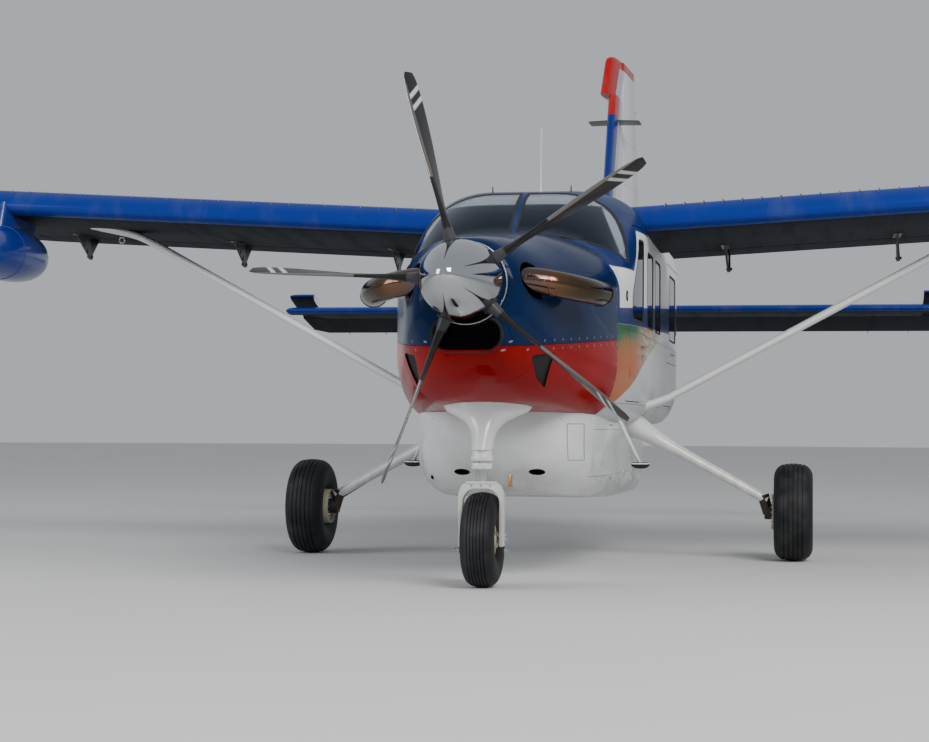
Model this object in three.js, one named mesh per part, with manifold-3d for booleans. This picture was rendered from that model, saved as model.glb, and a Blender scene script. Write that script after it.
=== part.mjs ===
// Single-engine turboprop utility plane, parked on its tricycle gear.
// Millimetres. +X is the plane's left (port) side, the nose points to -Y, +Z is up, the ground is z = 0.
// Stations along Y are counted from the nose wheel's axle; the last lines centre the whole plane on the origin.
import * as THREE from 'three';
import { mergeVertices } from 'three/addons/utils/BufferGeometryUtils.js';
import Module from 'manifold-3d';

const wasm = await Module();
wasm.setup();

// Driving dimensions.
const SEAT = 0.3; // gap that touching pieces keep
const NOSE_TIP = -1302;
const LENGTH = 10400;
const TAIL_END = NOSE_TIP + LENGTH;
const SPAN = 13720;
const WHEELBASE = 2870;
const TRACK = 3640;

// Fuselage outline: a row is one cross-section, joined to the next by straight lines.
const STATION = 0, HALF_WIDTH = 1, BOTTOM = 2, TOP = 3, TOP_ARC_X = 4, TOP_ARC_Z = 5, LOW_ARC_X = 6, LOW_ARC_Z = 7;
const FUSELAGE = [
  // station, half width, bottom, top, upper corner (x, z), lower corner (x, z)
  [-580, 300, 1375, 2055, 290, 330, 230, 300],
  [-350, 405, 1235, 2090, 370, 350, 260, 330],
  [0, 510, 1115, 2125, 430, 370, 250, 360],
  [500, 645, 1060, 2195, 520, 400, 230, 380],
  [900, 722, 1025, 2232, 600, 400, 220, 380],
  [1085, 742, 1015, 2240, 620, 380, 215, 370],
  [1250, 755, 1010, 2362, 620, 430, 210, 360],
  [1450, 768, 1004, 2490, 600, 480, 205, 350],
  [1680, 778, 1000, 2585, 560, 470, 200, 340],
  [1950, 785, 1000, 2632, 500, 400, 195, 330],
  [2250, 790, 1000, 2655, 440, 330, 190, 320],
  [5200, 790, 1000, 2640, 430, 330, 190, 320],
  [5700, 745, 1110, 2612, 420, 350, 210, 330],
  [6500, 535, 1400, 2560, 330, 330, 230, 300],
  [7300, 310, 1700, 2505, 220, 260, 170, 240],
  [7990, 92, 2000, 2450, 70, 120, 70, 120],
];
const UPPER_CORNER_STEPS = 5;
const LOWER_CORNER_STEPS = 3;
const WALL = { side: 30, top: 40, bottom: 70 }; // cabin wall, roof and floor depth
const THIN_WALL = { side: 18, top: 18, bottom: 18 }; // cowling and tail cone skins

// Where the fuselage is parted.
const FIREWALL_Y = 900;
const FIREWALL_DEPTH = 20;
const CABIN_END_Y = 5700;
const COWL_SPLIT_Z = 1500;

// Propeller and engine.
const SHAFT_Z = 1796;
const BLADE_PLANE_Y = -781;
const BLADE_COUNT = 5;
const BLADE_PHASE = 32.6; // degrees from +X
const PROPELLER_RADIUS = 1235;
const SPINNER_RADIUS = 240;
const ENGINE_RADIUS = 235;
const ENGINE_FRONT_Y = -545;

// Wing: heights are those of the chord line at the plane's centreline, before dihedral.
const DIHEDRAL = 3.25; // degrees
const WING_LE_Z = 2385;
const WING_TE_Z = 2287;
const WING_LE_Y = 2204;
const WING_TE_Y = 4060;
const TAPER_START_X = 4400;
const TIP_LE_Y = 2400;
const TIP_TE_Y = 3610;
const WING_THICKNESS = 0.165; // of the chord
const FLAP = { inner: 850, outer: 4350, chord: 500, gap: 9, pivotDrop: 180, pivotBehindNose: 60 };
const AILERON = { inner: 4450, outer: 6480, chord: 330, gap: 9 };

// Tail.
const STAB_Z = 2119;
const STAB_LE_Y = 7130;
const STAB_HALF_SPAN = 3240;
const STAB_THICKNESS = 92;
const HORN_INNER_X = 2995;
const HORN_NOSE_Y = 7250;
const ELEVATOR_HINGE_Y = 7850;
const ELEVATOR_CHORD = 580;
const ELEVATOR_DROOP = 15.5; // degrees, trailing edge down at rest
const FIN_TOP_Z = 4262;
const RUDDER_HINGE_Y = 8060;
const RUDDER_TOP_Z = 4690;
const RUDDER_BOTTOM_Z = 2060;
const RUDDER_REST = 8; // degrees, trailing edge to port at rest
const RUDDER_NOSE = 54; // half thickness at the hinge

// Landing gear.
const MAIN_TYRE = { radius: 357, halfWidth: 140, bead: 135, segments: 32 };
const NOSE_TYRE = { radius: 287, halfWidth: 103, bead: 105, segments: 28 };
const NOSE_LEG_Y = -40;

// Reach of cutting bodies: the whole height, and how far a cut runs past the face that it opens.
const BELOW_ALL = 0;
const ABOVE_ALL = 5000;
const PAST = 50;

const radians = THREE.MathUtils.degToRad;
const lerp = THREE.MathUtils.lerp;
const vec = (x, y, z) => new THREE.Vector3(x, y, z);
const SIDES = [
  { name: 'left', sign: 1 },
  { name: 'right', sign: -1 },
];

const COLOURS = {
  navy: ['#0e2350', 0.18, 0.2],
  blue: ['#1a3aa8', 0.3, 0.1],
  red: ['#b3121b', 0.2, 0.1],
  white: ['#d9dbd8', 0.35, 0.0],
  grey: ['#b8bcbd', 0.4, 0.0],
  chrome: ['#c9ccd0', 0.08, 1.0],
  bronze: ['#8c6a55', 0.2, 1.0],
  carbon: ['#1d1d20', 0.35, 0.2],
  glass: ['#22343f', 0.05, 0.0],
  rubber: ['#17181a', 0.85, 0.0],
  hub: ['#cfc6ad', 0.5, 0.0],
  metal: ['#6f747a', 0.4, 0.8],
  leather: ['#3b3d42', 0.7, 0.0],
  black: ['#15171a', 0.6, 0.0],
};

const plane = new THREE.Group();

function addNode(name, solid, colour) {
  const [hex, roughness, metalness] = COLOURS[colour];
  const material = new THREE.MeshStandardMaterial({ color: hex, roughness, metalness });
  const mesh = new THREE.Mesh(toGeometry(solid), material);
  mesh.name = name;
  plane.add(mesh);
}

function toSolid(geometry) {
  const bare = geometry.clone();
  bare.deleteAttribute('normal');
  bare.deleteAttribute('uv');
  const merged = mergeVertices(bare, 1e-3);
  return new wasm.Manifold(new wasm.Mesh({
    numProp: 3,
    vertProperties: merged.attributes.position.array,
    triVerts: new Uint32Array(merged.index.array),
  }));
}

function toGeometry(solid) {
  const mesh = solid.getMesh();
  const geometry = new THREE.BufferGeometry();
  geometry.setAttribute('position', new THREE.BufferAttribute(mesh.vertProperties, 3));
  geometry.setIndex(new THREE.BufferAttribute(mesh.triVerts, 1));
  const flat = geometry.toNonIndexed();
  flat.computeVertexNormals();
  return flat;
}

// A closed body through rings of equally many points, each end closed by a fan from its middle.
// A symmetric one parts the faces of its second half the other way, so that both halves are mirror images.
function loft(rings, symmetric = false) {
  const count = rings[0].length;
  const points = rings.flat().map((p) => [p.x, p.y, p.z]);
  const faces = [];
  for (let i = 0; i < rings.length - 1; i += 1) {
    for (let j = 0; j < count; j += 1) {
      const next = (j + 1) % count;
      const a = i * count + j;
      const b = i * count + next;
      const c = (i + 1) * count + next;
      const d = (i + 1) * count + j;
      if (symmetric && j >= count / 2) faces.push([a, b, d], [b, c, d]);
      else faces.push([a, b, c], [a, c, d]);
    }
  }
  for (const end of [0, rings.length - 1]) {
    const middle = rings[end].reduce((sum, p) => sum.add(p), vec(0, 0, 0)).divideScalar(count);
    const hub = points.push([middle.x, middle.y, middle.z]) - 1;
    for (let j = 0; j < count; j += 1) {
      const a = end * count + j;
      const b = end * count + ((j + 1) % count);
      faces.push(end === 0 ? [hub, b, a] : [hub, a, b]);
    }
  }
  const volume = faces.reduce((sum, face) => {
    const [a, b, c] = face.map((i) => vec(...points[i]));
    return sum + a.dot(b.cross(c));
  }, 0);
  if (volume < 0) faces.forEach((face) => face.reverse());
  const geometry = new THREE.BufferGeometry();
  geometry.setAttribute('position', new THREE.Float32BufferAttribute(points.flat(), 3));
  geometry.setIndex(faces.flat());
  return toSolid(geometry);
}

// The mirror image of a solid across the plane's middle, for the starboard side.
function mirrored(solid) {
  const geometry = toGeometry(solid);
  geometry.applyMatrix4(new THREE.Matrix4().makeScale(-1, 1, 1));
  const position = geometry.attributes.position;
  for (let i = 0; i < position.count; i += 3) {
    const second = vec(0, 0, 0).fromBufferAttribute(position, i + 1);
    const third = vec(0, 0, 0).fromBufferAttribute(position, i + 2);
    position.setXYZ(i + 1, third.x, third.y, third.z);
    position.setXYZ(i + 2, second.x, second.y, second.z);
  }
  return toSolid(geometry);
}

function moved(solid, matrix) {
  const geometry = toGeometry(solid);
  geometry.applyMatrix4(matrix);
  return toSolid(geometry);
}

const shift = (x, y, z) => new THREE.Matrix4().makeTranslation(x, y, z);

// A turn by an angle in degrees about an axis through a point.
function turnAbout(point, axis, degrees) {
  return shift(point.x, point.y, point.z)
    .multiply(new THREE.Matrix4().makeRotationAxis(axis.clone().normalize(), radians(degrees)))
    .multiply(shift(-point.x, -point.y, -point.z));
}

function block(x0, x1, y0, y1, z0, z1) {
  const geometry = new THREE.BoxGeometry(x1 - x0, y1 - y0, z1 - z0);
  geometry.translate((x0 + x1) / 2, (y0 + y1) / 2, (z0 + z1) / 2);
  return toSolid(geometry);
}

// A side-view outline of [y, z] points, drawn across the plane from x0 to x1.
function sidePrism(outline, x0, x1) {
  const shape = new THREE.Shape(outline.map(([y, z]) => new THREE.Vector2(y, z)));
  const geometry = new THREE.ExtrudeGeometry(shape, { depth: x1 - x0, bevelEnabled: false });
  geometry.applyMatrix4(new THREE.Matrix4().makeBasis(vec(0, 1, 0), vec(0, 0, 1), vec(1, 0, 0)));
  geometry.translate(x0, 0, 0);
  return toSolid(geometry);
}

// A side-view rectangle with round corners, as outline points.
function roundedWindow(y0, y1, z0, z1, radius, steps = 3) {
  const corners = [[y1, z0, -90], [y1, z1, 0], [y0, z1, 90], [y0, z0, 180]];
  const middle = [(y0 + y1) / 2, (z0 + z1) / 2];
  return corners.flatMap(([y, z, start]) => Array.from({ length: steps + 1 }, (_, i) => {
    const angle = radians(start + (90 * i) / steps);
    const cy = y + Math.sign(middle[0] - y) * radius;
    const cz = z + Math.sign(middle[1] - z) * radius;
    return [cy + radius * Math.cos(angle), cz + radius * Math.sin(angle)];
  }));
}

// A side-view outline moved outward by a distance (inward if negative); its corners are mitred.
function offsetOutline(outline, distance) {
  const area = outline.reduce((sum, [y, z], i) => {
    const [ny, nz] = outline[(i + 1) % outline.length];
    return sum + y * nz - ny * z;
  }, 0);
  const out = Math.sign(area) * distance;
  return outline.map((point, i) => {
    const before = outline[(i + outline.length - 1) % outline.length];
    const after = outline[(i + 1) % outline.length];
    const p = new THREE.Vector2(...point);
    const d0 = p.clone().sub(new THREE.Vector2(...before)).normalize();
    const d1 = new THREE.Vector2(...after).sub(p).normalize();
    const n0 = new THREE.Vector2(d0.y, -d0.x);
    const n1 = new THREE.Vector2(d1.y, -d1.x);
    const mitre = n0.clone().add(n1);
    mitre.multiplyScalar(out / (1 + n0.dot(n1)));
    return [p.x + mitre.x, p.y + mitre.y];
  });
}

// A body turned round an axis: the profile's [radius, along] points close on themselves or on the axis.
function turned(profile, segments, place, firstAngle = 0) {
  const points = profile.map(([radius, along]) => new THREE.Vector2(radius, along));
  const geometry = new THREE.LatheGeometry(points, segments, firstAngle);
  geometry.applyMatrix4(place);
  const position = geometry.attributes.position;
  let volume = 0;
  const index = geometry.index.array;
  for (let i = 0; i < index.length; i += 3) {
    const [a, b, c] = [0, 1, 2].map((k) => vec(0, 0, 0).fromBufferAttribute(position, index[i + k]));
    volume += a.dot(b.cross(c));
  }
  if (volume < 0) {
    for (let i = 0; i < index.length; i += 3) [index[i], index[i + 1]] = [index[i + 1], index[i]];
  }
  return toSolid(geometry);
}

// Places a lathe's own axis along X, Y or Z, through a point.
const alongX = (x, y, z) => shift(x, y, z).multiply(new THREE.Matrix4().makeRotationZ(-Math.PI / 2));
const alongY = (x, y, z) => shift(x, y, z);
const alongZ = (x, y, z) => shift(x, y, z).multiply(new THREE.Matrix4().makeRotationX(Math.PI / 2));

// A front-view outline of [x, z] points, drawn along the plane from y0 to y1.
function frontPrism(outline, y0, y1) {
  const shape = new THREE.Shape(outline.map(([x, z]) => new THREE.Vector2(x, z)));
  const geometry = new THREE.ExtrudeGeometry(shape, { depth: y1 - y0, bevelEnabled: false });
  geometry.applyMatrix4(new THREE.Matrix4().makeBasis(vec(1, 0, 0), vec(0, 0, 1), vec(0, -1, 0)));
  geometry.translate(0, y1, 0);
  return toSolid(geometry);
}

// A plan-view outline of [x, y] points, drawn upward from z0 to z1.
function planPrism(outline, z0, z1) {
  const shape = new THREE.Shape(outline.map(([x, y]) => new THREE.Vector2(x, y)));
  const geometry = new THREE.ExtrudeGeometry(shape, { depth: z1 - z0, bevelEnabled: false });
  geometry.translate(0, 0, z0);
  return toSolid(geometry);
}

// A rod of round section between two points.
function rod(from, to, radius, segments = 12) {
  const length = from.distanceTo(to);
  const geometry = new THREE.CylinderGeometry(radius, radius, length, segments);
  const turn = new THREE.Quaternion().setFromUnitVectors(vec(0, 1, 0), to.clone().sub(from).normalize());
  geometry.applyQuaternion(turn);
  const middle = from.clone().add(to).divideScalar(2);
  geometry.translate(middle.x, middle.y, middle.z);
  return toSolid(geometry);
}

// A tapered tube of oval section: a row is [x, y, z, half chord along Y, half thickness].
function ovalSweep(rows, segments) {
  const centres = rows.map(([x, y, z]) => vec(x, y, z));
  const rings = rows.map(([, , , chord, thickness], i) => {
    const ahead = centres[Math.min(i + 1, rows.length - 1)];
    const behind = centres[Math.max(i - 1, 0)];
    const along = ahead.clone().sub(behind).normalize();
    const fore = vec(0, 1, 0).addScaledVector(along, -along.y).normalize();
    const across = along.clone().cross(fore);
    return Array.from({ length: segments }, (_, k) => {
      const angle = (2 * Math.PI * k) / segments;
      return centres[i].clone()
        .addScaledVector(fore, chord * Math.cos(angle))
        .addScaledVector(across, thickness * Math.sin(angle));
    });
  });
  return loft(rings);
}

// One fuselage cross-section, grown outward by the given side, top and bottom distances.
function fuselageRing(row, grow) {
  const width = row[HALF_WIDTH] + grow.side;
  const top = row[TOP] + grow.top;
  const bottom = row[BOTTOM] - grow.bottom;
  const upX = Math.max(row[TOP_ARC_X] + grow.side, 5);
  const upZ = Math.max(row[TOP_ARC_Z] + grow.top, 5);
  const lowX = Math.max(row[LOW_ARC_X] + grow.side, 5);
  const lowZ = Math.max(row[LOW_ARC_Z] + Math.min(grow.bottom, grow.side), 5);
  const half = [];
  for (let i = 0; i <= LOWER_CORNER_STEPS; i += 1) {
    const a = radians(-90 + (90 * i) / LOWER_CORNER_STEPS);
    half.push([width - lowX + lowX * Math.cos(a), bottom + lowZ + lowZ * Math.sin(a)]);
  }
  for (let i = 0; i <= UPPER_CORNER_STEPS; i += 1) {
    const a = radians((90 * i) / UPPER_CORNER_STEPS);
    half.push([width - upX + upX * Math.cos(a), top - upZ + upZ * Math.sin(a)]);
  }
  const otherSide = half.slice().reverse().map(([x, z]) => [-x, z]);
  return half.concat(otherSide).map(([x, z]) => vec(x, row[STATION], z));
}

function fuselageRowAt(y) {
  const next = Math.min(Math.max(FUSELAGE.findIndex((row) => row[STATION] >= y), 1), FUSELAGE.length - 1);
  const before = FUSELAGE[next - 1];
  const after = FUSELAGE[next];
  const t = (y - before[STATION]) / (after[STATION] - before[STATION]);
  return before.map((value, i) => lerp(value, after[i], t));
}

// The fuselage between two stations as a full solid.
function fuselageBody(y0, y1, grow) {
  const between = FUSELAGE.filter((row) => row[STATION] > y0 + 1 && row[STATION] < y1 - 1);
  const rows = [fuselageRowAt(y0), ...between, fuselageRowAt(y1)];
  return loft(rows.map((row) => fuselageRing(row, grow)), true);
}

const even = (distance) => ({ side: distance, top: distance, bottom: distance });
const inward = (wall) => ({ side: -wall.side, top: -wall.top, bottom: -wall.bottom });
const outerBody = fuselageBody(FUSELAGE[0][STATION], FUSELAGE.at(-1)[STATION], even(0));
const seatedBody = fuselageBody(FUSELAGE[0][STATION], FUSELAGE.at(-1)[STATION], even(SEAT));

// Cabin: doors and windows, as side-view outlines of [y, z].
const CREW_DOOR = [[1360, 1150], [2140, 1150], [2140, 2370], [1800, 2370], [1360, 1905]];
const CREW_WINDOW = [[1450, 1700], [2060, 1700], [2060, 2275], [1840, 2275], [1450, 1862]];
const WINDSHIELD = [
  [1085, 2236], [1190, 2150], [1310, 2078], [1365, 2078], [1700, 2500], [1700, 2700], [1000, 2700], [1000, 2236],
];
const WINDSHIELD_POST = 22; // half width of the centre post
const CARGO_DOOR = { front: 4160, rear: 5400, bottom: 1150, split: 1500, top: 2300 };
const DOOR_GAP = 6;
const HINGE_GAP = 0.5;
const WINDOW_Z = [1690, 2230];
const SIDE_WINDOWS = {
  left: [[2330, 2840], [3000, 3510]],
  right: [[2330, 2840], [3000, 3510], [3670, 4180], [4340, 4850]],
};
const CARGO_WINDOW = [4420, 5130];
const WINDOW_RADIUS = 70;
const PANE = { recess: 3, depth: 12 };
const OUTSIDE_X = 900;
const WELL_INSIDE_X = 560;

// A skin-following pane: the part of the fuselage between two depths that lies within a side outline.
function skinPiece(outline, outerDepth, innerDepth, x0, x1) {
  const outer = fuselageBody(FIREWALL_Y, CABIN_END_Y, even(-outerDepth));
  const inner = fuselageBody(FIREWALL_Y - 1, CABIN_END_Y + 1, even(-innerDepth));
  return outer.subtract(inner).intersect(sidePrism(outline, x0, x1));
}

// A door leaf: the cabin wall within an outline, with its window cut.
function doorLeaf(outline, windows) {
  let leaf = fuselageBody(FIREWALL_Y, CABIN_END_Y, even(0))
    .subtract(cabinInside())
    .intersect(sidePrism(outline, WELL_INSIDE_X, OUTSIDE_X));
  for (const window of windows) leaf = leaf.subtract(sidePrism(window, WELL_INSIDE_X, OUTSIDE_X));
  return leaf;
}

function cabinInside() {
  return fuselageBody(FIREWALL_Y + FIREWALL_DEPTH, CABIN_END_Y - FIREWALL_DEPTH, inward(WALL));
}

const windowOutline = ([y0, y1]) => roundedWindow(y0, y1, WINDOW_Z[0], WINDOW_Z[1], WINDOW_RADIUS);
const cargoOutline = (z0, z1) => {
  const { front, rear } = CARGO_DOOR;
  return [[front, z0], [rear, z0], [rear, z1], [front, z1]];
};
const bothSides = (outline) => ({
  left: sidePrism(outline, WELL_INSIDE_X, OUTSIDE_X),
  right: sidePrism(outline, -OUTSIDE_X, -WELL_INSIDE_X),
});

function buildCabin() {
  let shell = fuselageBody(FIREWALL_Y, CABIN_END_Y, even(0)).subtract(cabinInside());
  shell = shell.subtract(sidePrism(WINDSHIELD, WINDSHIELD_POST, OUTSIDE_X));
  shell = shell.subtract(sidePrism(WINDSHIELD, -OUTSIDE_X, -WINDSHIELD_POST));
  const hingeY = CREW_DOOR[0][0] - HINGE_GAP;
  const behindHinge = block(-OUTSIDE_X, OUTSIDE_X, hingeY, CABIN_END_Y, BELOW_ALL, ABOVE_ALL);
  const doorway = bothSides(offsetOutline(CREW_DOOR, DOOR_GAP));
  for (const side of SIDES) {
    shell = shell.subtract(doorway[side.name].intersect(behindHinge));
    for (const window of SIDE_WINDOWS[side.name]) {
      shell = shell.subtract(bothSides(windowOutline(window))[side.name]);
    }
  }
  const { front, rear, bottom, top } = CARGO_DOOR;
  const cargoWay = [
    [front - DOOR_GAP, bottom - HINGE_GAP], [rear + DOOR_GAP, bottom - HINGE_GAP],
    [rear + DOOR_GAP, top + HINGE_GAP], [front - DOOR_GAP, top + HINGE_GAP],
  ];
  shell = shell.subtract(bothSides(cargoWay).left);
  addNode('cabin_shell', shell, 'white');

  const paneOutline = offsetOutline(WINDSHIELD, -SEAT * 2);
  const pane = skinPiece(paneOutline, PANE.recess, PANE.recess + PANE.depth, WINDSHIELD_POST + SEAT * 2, OUTSIDE_X);
  addNode('windshield_left', pane, 'glass');
  addNode('windshield_right', mirrored(pane), 'glass');

  const door = doorLeaf(CREW_DOOR, [CREW_WINDOW]);
  const glassOutline = offsetOutline(CREW_WINDOW, -SEAT);
  const doorGlass = skinPiece(glassOutline, PANE.recess, PANE.recess + PANE.depth, WELL_INSIDE_X, OUTSIDE_X);
  for (const side of SIDES) {
    const facing = (solid) => (side.sign > 0 ? solid : mirrored(solid));
    addNode(`crew_door_${side.name}`, facing(door), 'navy');
    addNode(`crew_door_window_${side.name}`, facing(doorGlass), 'glass');
    addNode(`side_windows_${side.name}`, facing(sideWindowRow(SIDE_WINDOWS[side.name])), 'glass');
  }

  const { split } = CARGO_DOOR;
  const cargoGlass = windowOutline(CARGO_WINDOW);
  addNode('cargo_door_upper', doorLeaf(cargoOutline(split + DOOR_GAP / 2, top), [cargoGlass]), 'white');
  addNode('cargo_door_lower', doorLeaf(cargoOutline(bottom, split - DOOR_GAP / 2), []), 'white');
  const inset = offsetOutline(cargoGlass, -SEAT);
  addNode('cargo_door_window', skinPiece(inset, PANE.recess, PANE.recess + PANE.depth, WELL_INSIDE_X, OUTSIDE_X),
    'glass');
}

// The panes of one side, carried by a trim rail that runs along their upper edges inside the cabin wall.
function sideWindowRow(windows) {
  const railDepth = [WALL.side + SEAT, WALL.side + SEAT + 8];
  const railZ = [WINDOW_Z[1] - 34, WINDOW_Z[1] - 4];
  const first = windows[0][0];
  const last = windows.at(-1)[1];
  const railOutline = [
    [first + 60, railZ[0]], [last - 60, railZ[0]], [last - 60, railZ[1]], [first + 60, railZ[1]],
  ];
  let row = skinPiece(railOutline, railDepth[0], railDepth[1], WELL_INSIDE_X, OUTSIDE_X);
  for (const window of windows) {
    const outline = offsetOutline(windowOutline(window), -SEAT);
    const pane = skinPiece(outline, PANE.recess, PANE.recess + PANE.depth, WELL_INSIDE_X, OUTSIDE_X);
    const [y0, y1] = window;
    const lip = [[y0 + 80, railZ[0]], [y1 - 80, railZ[0]], [y1 - 80, railZ[1]], [y0 + 80, railZ[1]]];
    row = row.add(pane).add(skinPiece(lip, PANE.recess + 1, railDepth[1] - 1, WELL_INSIDE_X, OUTSIDE_X));
  }
  return row;
}

// Seats: one profile in side view, from the front of the pan at floor level.
const SEAT_PROFILE = [
  [120, 0], [380, 0], [380, 250], [500, 270], [680, 980], [560, 1010], [410, 410], [0, 400], [0, 260], [120, 250],
];
const SEAT_WIDTH = 440;
const CREW_SEAT = { y: 1880, x: 350 };
const SEAT_ROWS = [2780, 3560];
const ROW_SEAT_X = 350;
const RAIL_HEIGHT = 14;

function seatSolid(x, y, floorZ) {
  const outline = SEAT_PROFILE.map(([dy, dz]) => [y + dy, floorZ + dz]);
  return sidePrism(outline, x - SEAT_WIDTH / 2, x + SEAT_WIDTH / 2);
}

function buildCabinFittings() {
  const floorAt = (y) => fuselageRowAt(y)[BOTTOM] + WALL.bottom + SEAT;
  for (const side of SIDES) {
    const floor = floorAt(CREW_SEAT.y + 120);
    addNode(`crew_seat_${side.name}`, seatSolid(side.sign * CREW_SEAT.x, CREW_SEAT.y, floor), 'leather');
  }
  SEAT_ROWS.forEach((y, i) => {
    const floor = floorAt(y + 380) + RAIL_HEIGHT;
    const pair = seatSolid(-ROW_SEAT_X, y, floor).add(seatSolid(ROW_SEAT_X, y, floor))
      .add(block(-ROW_SEAT_X, ROW_SEAT_X, y + 130, y + 370, floor - RAIL_HEIGHT, floor + 2));
    addNode(`cabin_seats_${i + 1}`, pair, 'leather');
  });
  const panel = [
    [FIREWALL_Y + FIREWALL_DEPTH + SEAT, 1800], [1215, 1800], [1250, 2040], [1190, 2120], [1120, 2170],
    [FIREWALL_Y + FIREWALL_DEPTH + SEAT, 2170],
  ];
  const trimmed = { side: -WALL.side - SEAT, top: -WALL.top - SEAT, bottom: -WALL.bottom };
  const room = fuselageBody(FIREWALL_Y + FIREWALL_DEPTH + SEAT, 1400, trimmed);
  addNode('instrument_panel', sidePrism(panel, -OUTSIDE_X, OUTSIDE_X).intersect(room), 'black');
}

// Exhaust stack, port side: centreline points and tube radius.
const STACK_PATH = [
  [200, -400, 1830], [340, -410, 1824], [470, -370, 1806], [572, -270, 1790], [650, -120, 1780], [700, 70, 1775],
];
const STACK_RADIUS = 82;
const STACK_FLATTENING = 0.9;
const STACK_WALL = 6;
const STACK_SIDES = 12;
const STACK_HOLE = 36; // clearance round the stack in the cowling
const INTAKE = { halfWidth: 200, bottom: 1406, top: 1592, corner: 88, rear: -250 };
const SIDE_VENT = [[345, 1385], [458, 1412], [385, 1200], [352, 1255]];
const SHAFT_HOLE = 150;

// A tube along part of the stack's centreline, lengthened past its mouth.
function stackTube(firstPoint, radius, extraLength) {
  const points = STACK_PATH.slice(firstPoint).map((p) => vec(...p));
  const out = points.at(-1).clone().sub(points.at(-2)).normalize();
  points.push(points.at(-1).clone().addScaledVector(out, extraLength));
  const rings = points.map((centre, i) => {
    const ahead = points[Math.min(i + 1, points.length - 1)];
    const behind = points[Math.max(i - 1, 0)];
    const along = ahead.clone().sub(behind).normalize();
    const across = vec(0, 0, 1).cross(along).normalize();
    const up = along.clone().cross(across);
    return Array.from({ length: STACK_SIDES }, (_, k) => {
      const angle = (2 * Math.PI * k) / STACK_SIDES;
      return centre.clone().addScaledVector(across, radius * Math.cos(angle))
        .addScaledVector(up, radius * STACK_FLATTENING * Math.sin(angle));
    });
  });
  return loft(rings);
}

function buildEngineBay() {
  const front = FUSELAGE[0][STATION];
  const wall = THIN_WALL.side;
  const cowl = fuselageBody(front, FIREWALL_Y - SEAT, even(0))
    .subtract(fuselageBody(front + wall, FIREWALL_Y + wall, inward(THIN_WALL)));
  const { halfWidth, bottom, top, corner, rear } = INTAKE;
  const stackHole = stackTube(0, STACK_RADIUS + STACK_HOLE, 200);
  const vent = frontPrism(SIDE_VENT, front - wall, 300);
  const openings = [
    turned([[0, -wall], [SHAFT_HOLE, -wall], [SHAFT_HOLE, 2 * wall], [0, 2 * wall]], 24, alongY(0, front, SHAFT_Z)),
    frontPrism(roundedWindow(-halfWidth, halfWidth, bottom, top, corner), front - wall, rear),
    stackHole, mirrored(stackHole), vent, mirrored(vent),
  ];
  const open = openings.reduce((solid, opening) => solid.subtract(opening), cowl);
  const slab = (z0, z1) => block(-OUTSIDE_X, OUTSIDE_X, front - wall, FIREWALL_Y, z0, z1);
  addNode('cowling_upper', open.intersect(slab(COWL_SPLIT_Z + SEAT, ABOVE_ALL)), 'navy');
  addNode('cowling_lower', open.intersect(slab(BELOW_ALL, COWL_SPLIT_Z)), 'red');

  const back = FIREWALL_Y - SEAT;
  const caseProfile = (radius) => [[0, ENGINE_FRONT_Y], [SHAFT_HOLE, ENGINE_FRONT_Y],
    [radius, ENGINE_FRONT_Y + 120], [radius, back], [0, back]];
  const stack = stackTube(0, STACK_RADIUS, 2).subtract(stackTube(2, STACK_RADIUS - STACK_WALL, 60))
    .subtract(turned(caseProfile(ENGINE_RADIUS + SEAT), 16, alongY(0, 0, SHAFT_Z)));
  addNode('engine', turned(caseProfile(ENGINE_RADIUS), 16, alongY(0, 0, SHAFT_Z)), 'metal');
  addNode('exhaust_left', stack, 'bronze');
  addNode('exhaust_right', mirrored(stack), 'bronze');
}

// Propeller: the spinner's profile is [radius, distance behind the tip].
const SPINNER = [[0, 0], [38, 12], [82, 55], [128, 130], [176, 245], [214, 380], [235, 520], [SPINNER_RADIUS, 680]];
const BACKPLATE = { depth: 18, radius: 243 };
const SHAFT_RADIUS = 70;
const BLADE_SIDES = 10;
// A blade section: radius from the shaft, chord, thickness, pitch from the plane of rotation in degrees.
const BLADE = [
  [150, 92, 92, 96], [300, 104, 66, 94], [450, 150, 42, 88], [650, 184, 30, 82],
  [850, 192, 22, 77], [1050, 176, 16, 73], [1180, 140, 12, 71], [PROPELLER_RADIUS, 84, 8, 70],
];

// One blade, feathered, standing straight up from the shaft in the plane of rotation.
function bladeSolid() {
  return loft(BLADE.map(([radius, chord, thickness, pitch]) => {
    const a = radians(pitch);
    const lead = vec(-Math.cos(a), -Math.sin(a), 0);
    const face = vec(Math.sin(a), -Math.cos(a), 0);
    const round = chord / thickness < 1.2;
    return Array.from({ length: BLADE_SIDES }, (_, k) => {
      const angle = (2 * Math.PI * k) / BLADE_SIDES;
      const along = Math.cos(angle);
      const taper = round ? 1 : 0.72 + 0.28 * along;
      return vec(0, BLADE_PLANE_Y, SHAFT_Z + radius)
        .addScaledVector(lead, (chord / 2) * along)
        .addScaledVector(face, (thickness / 2) * Math.sin(angle) * taper);
    });
  }));
}

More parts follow.
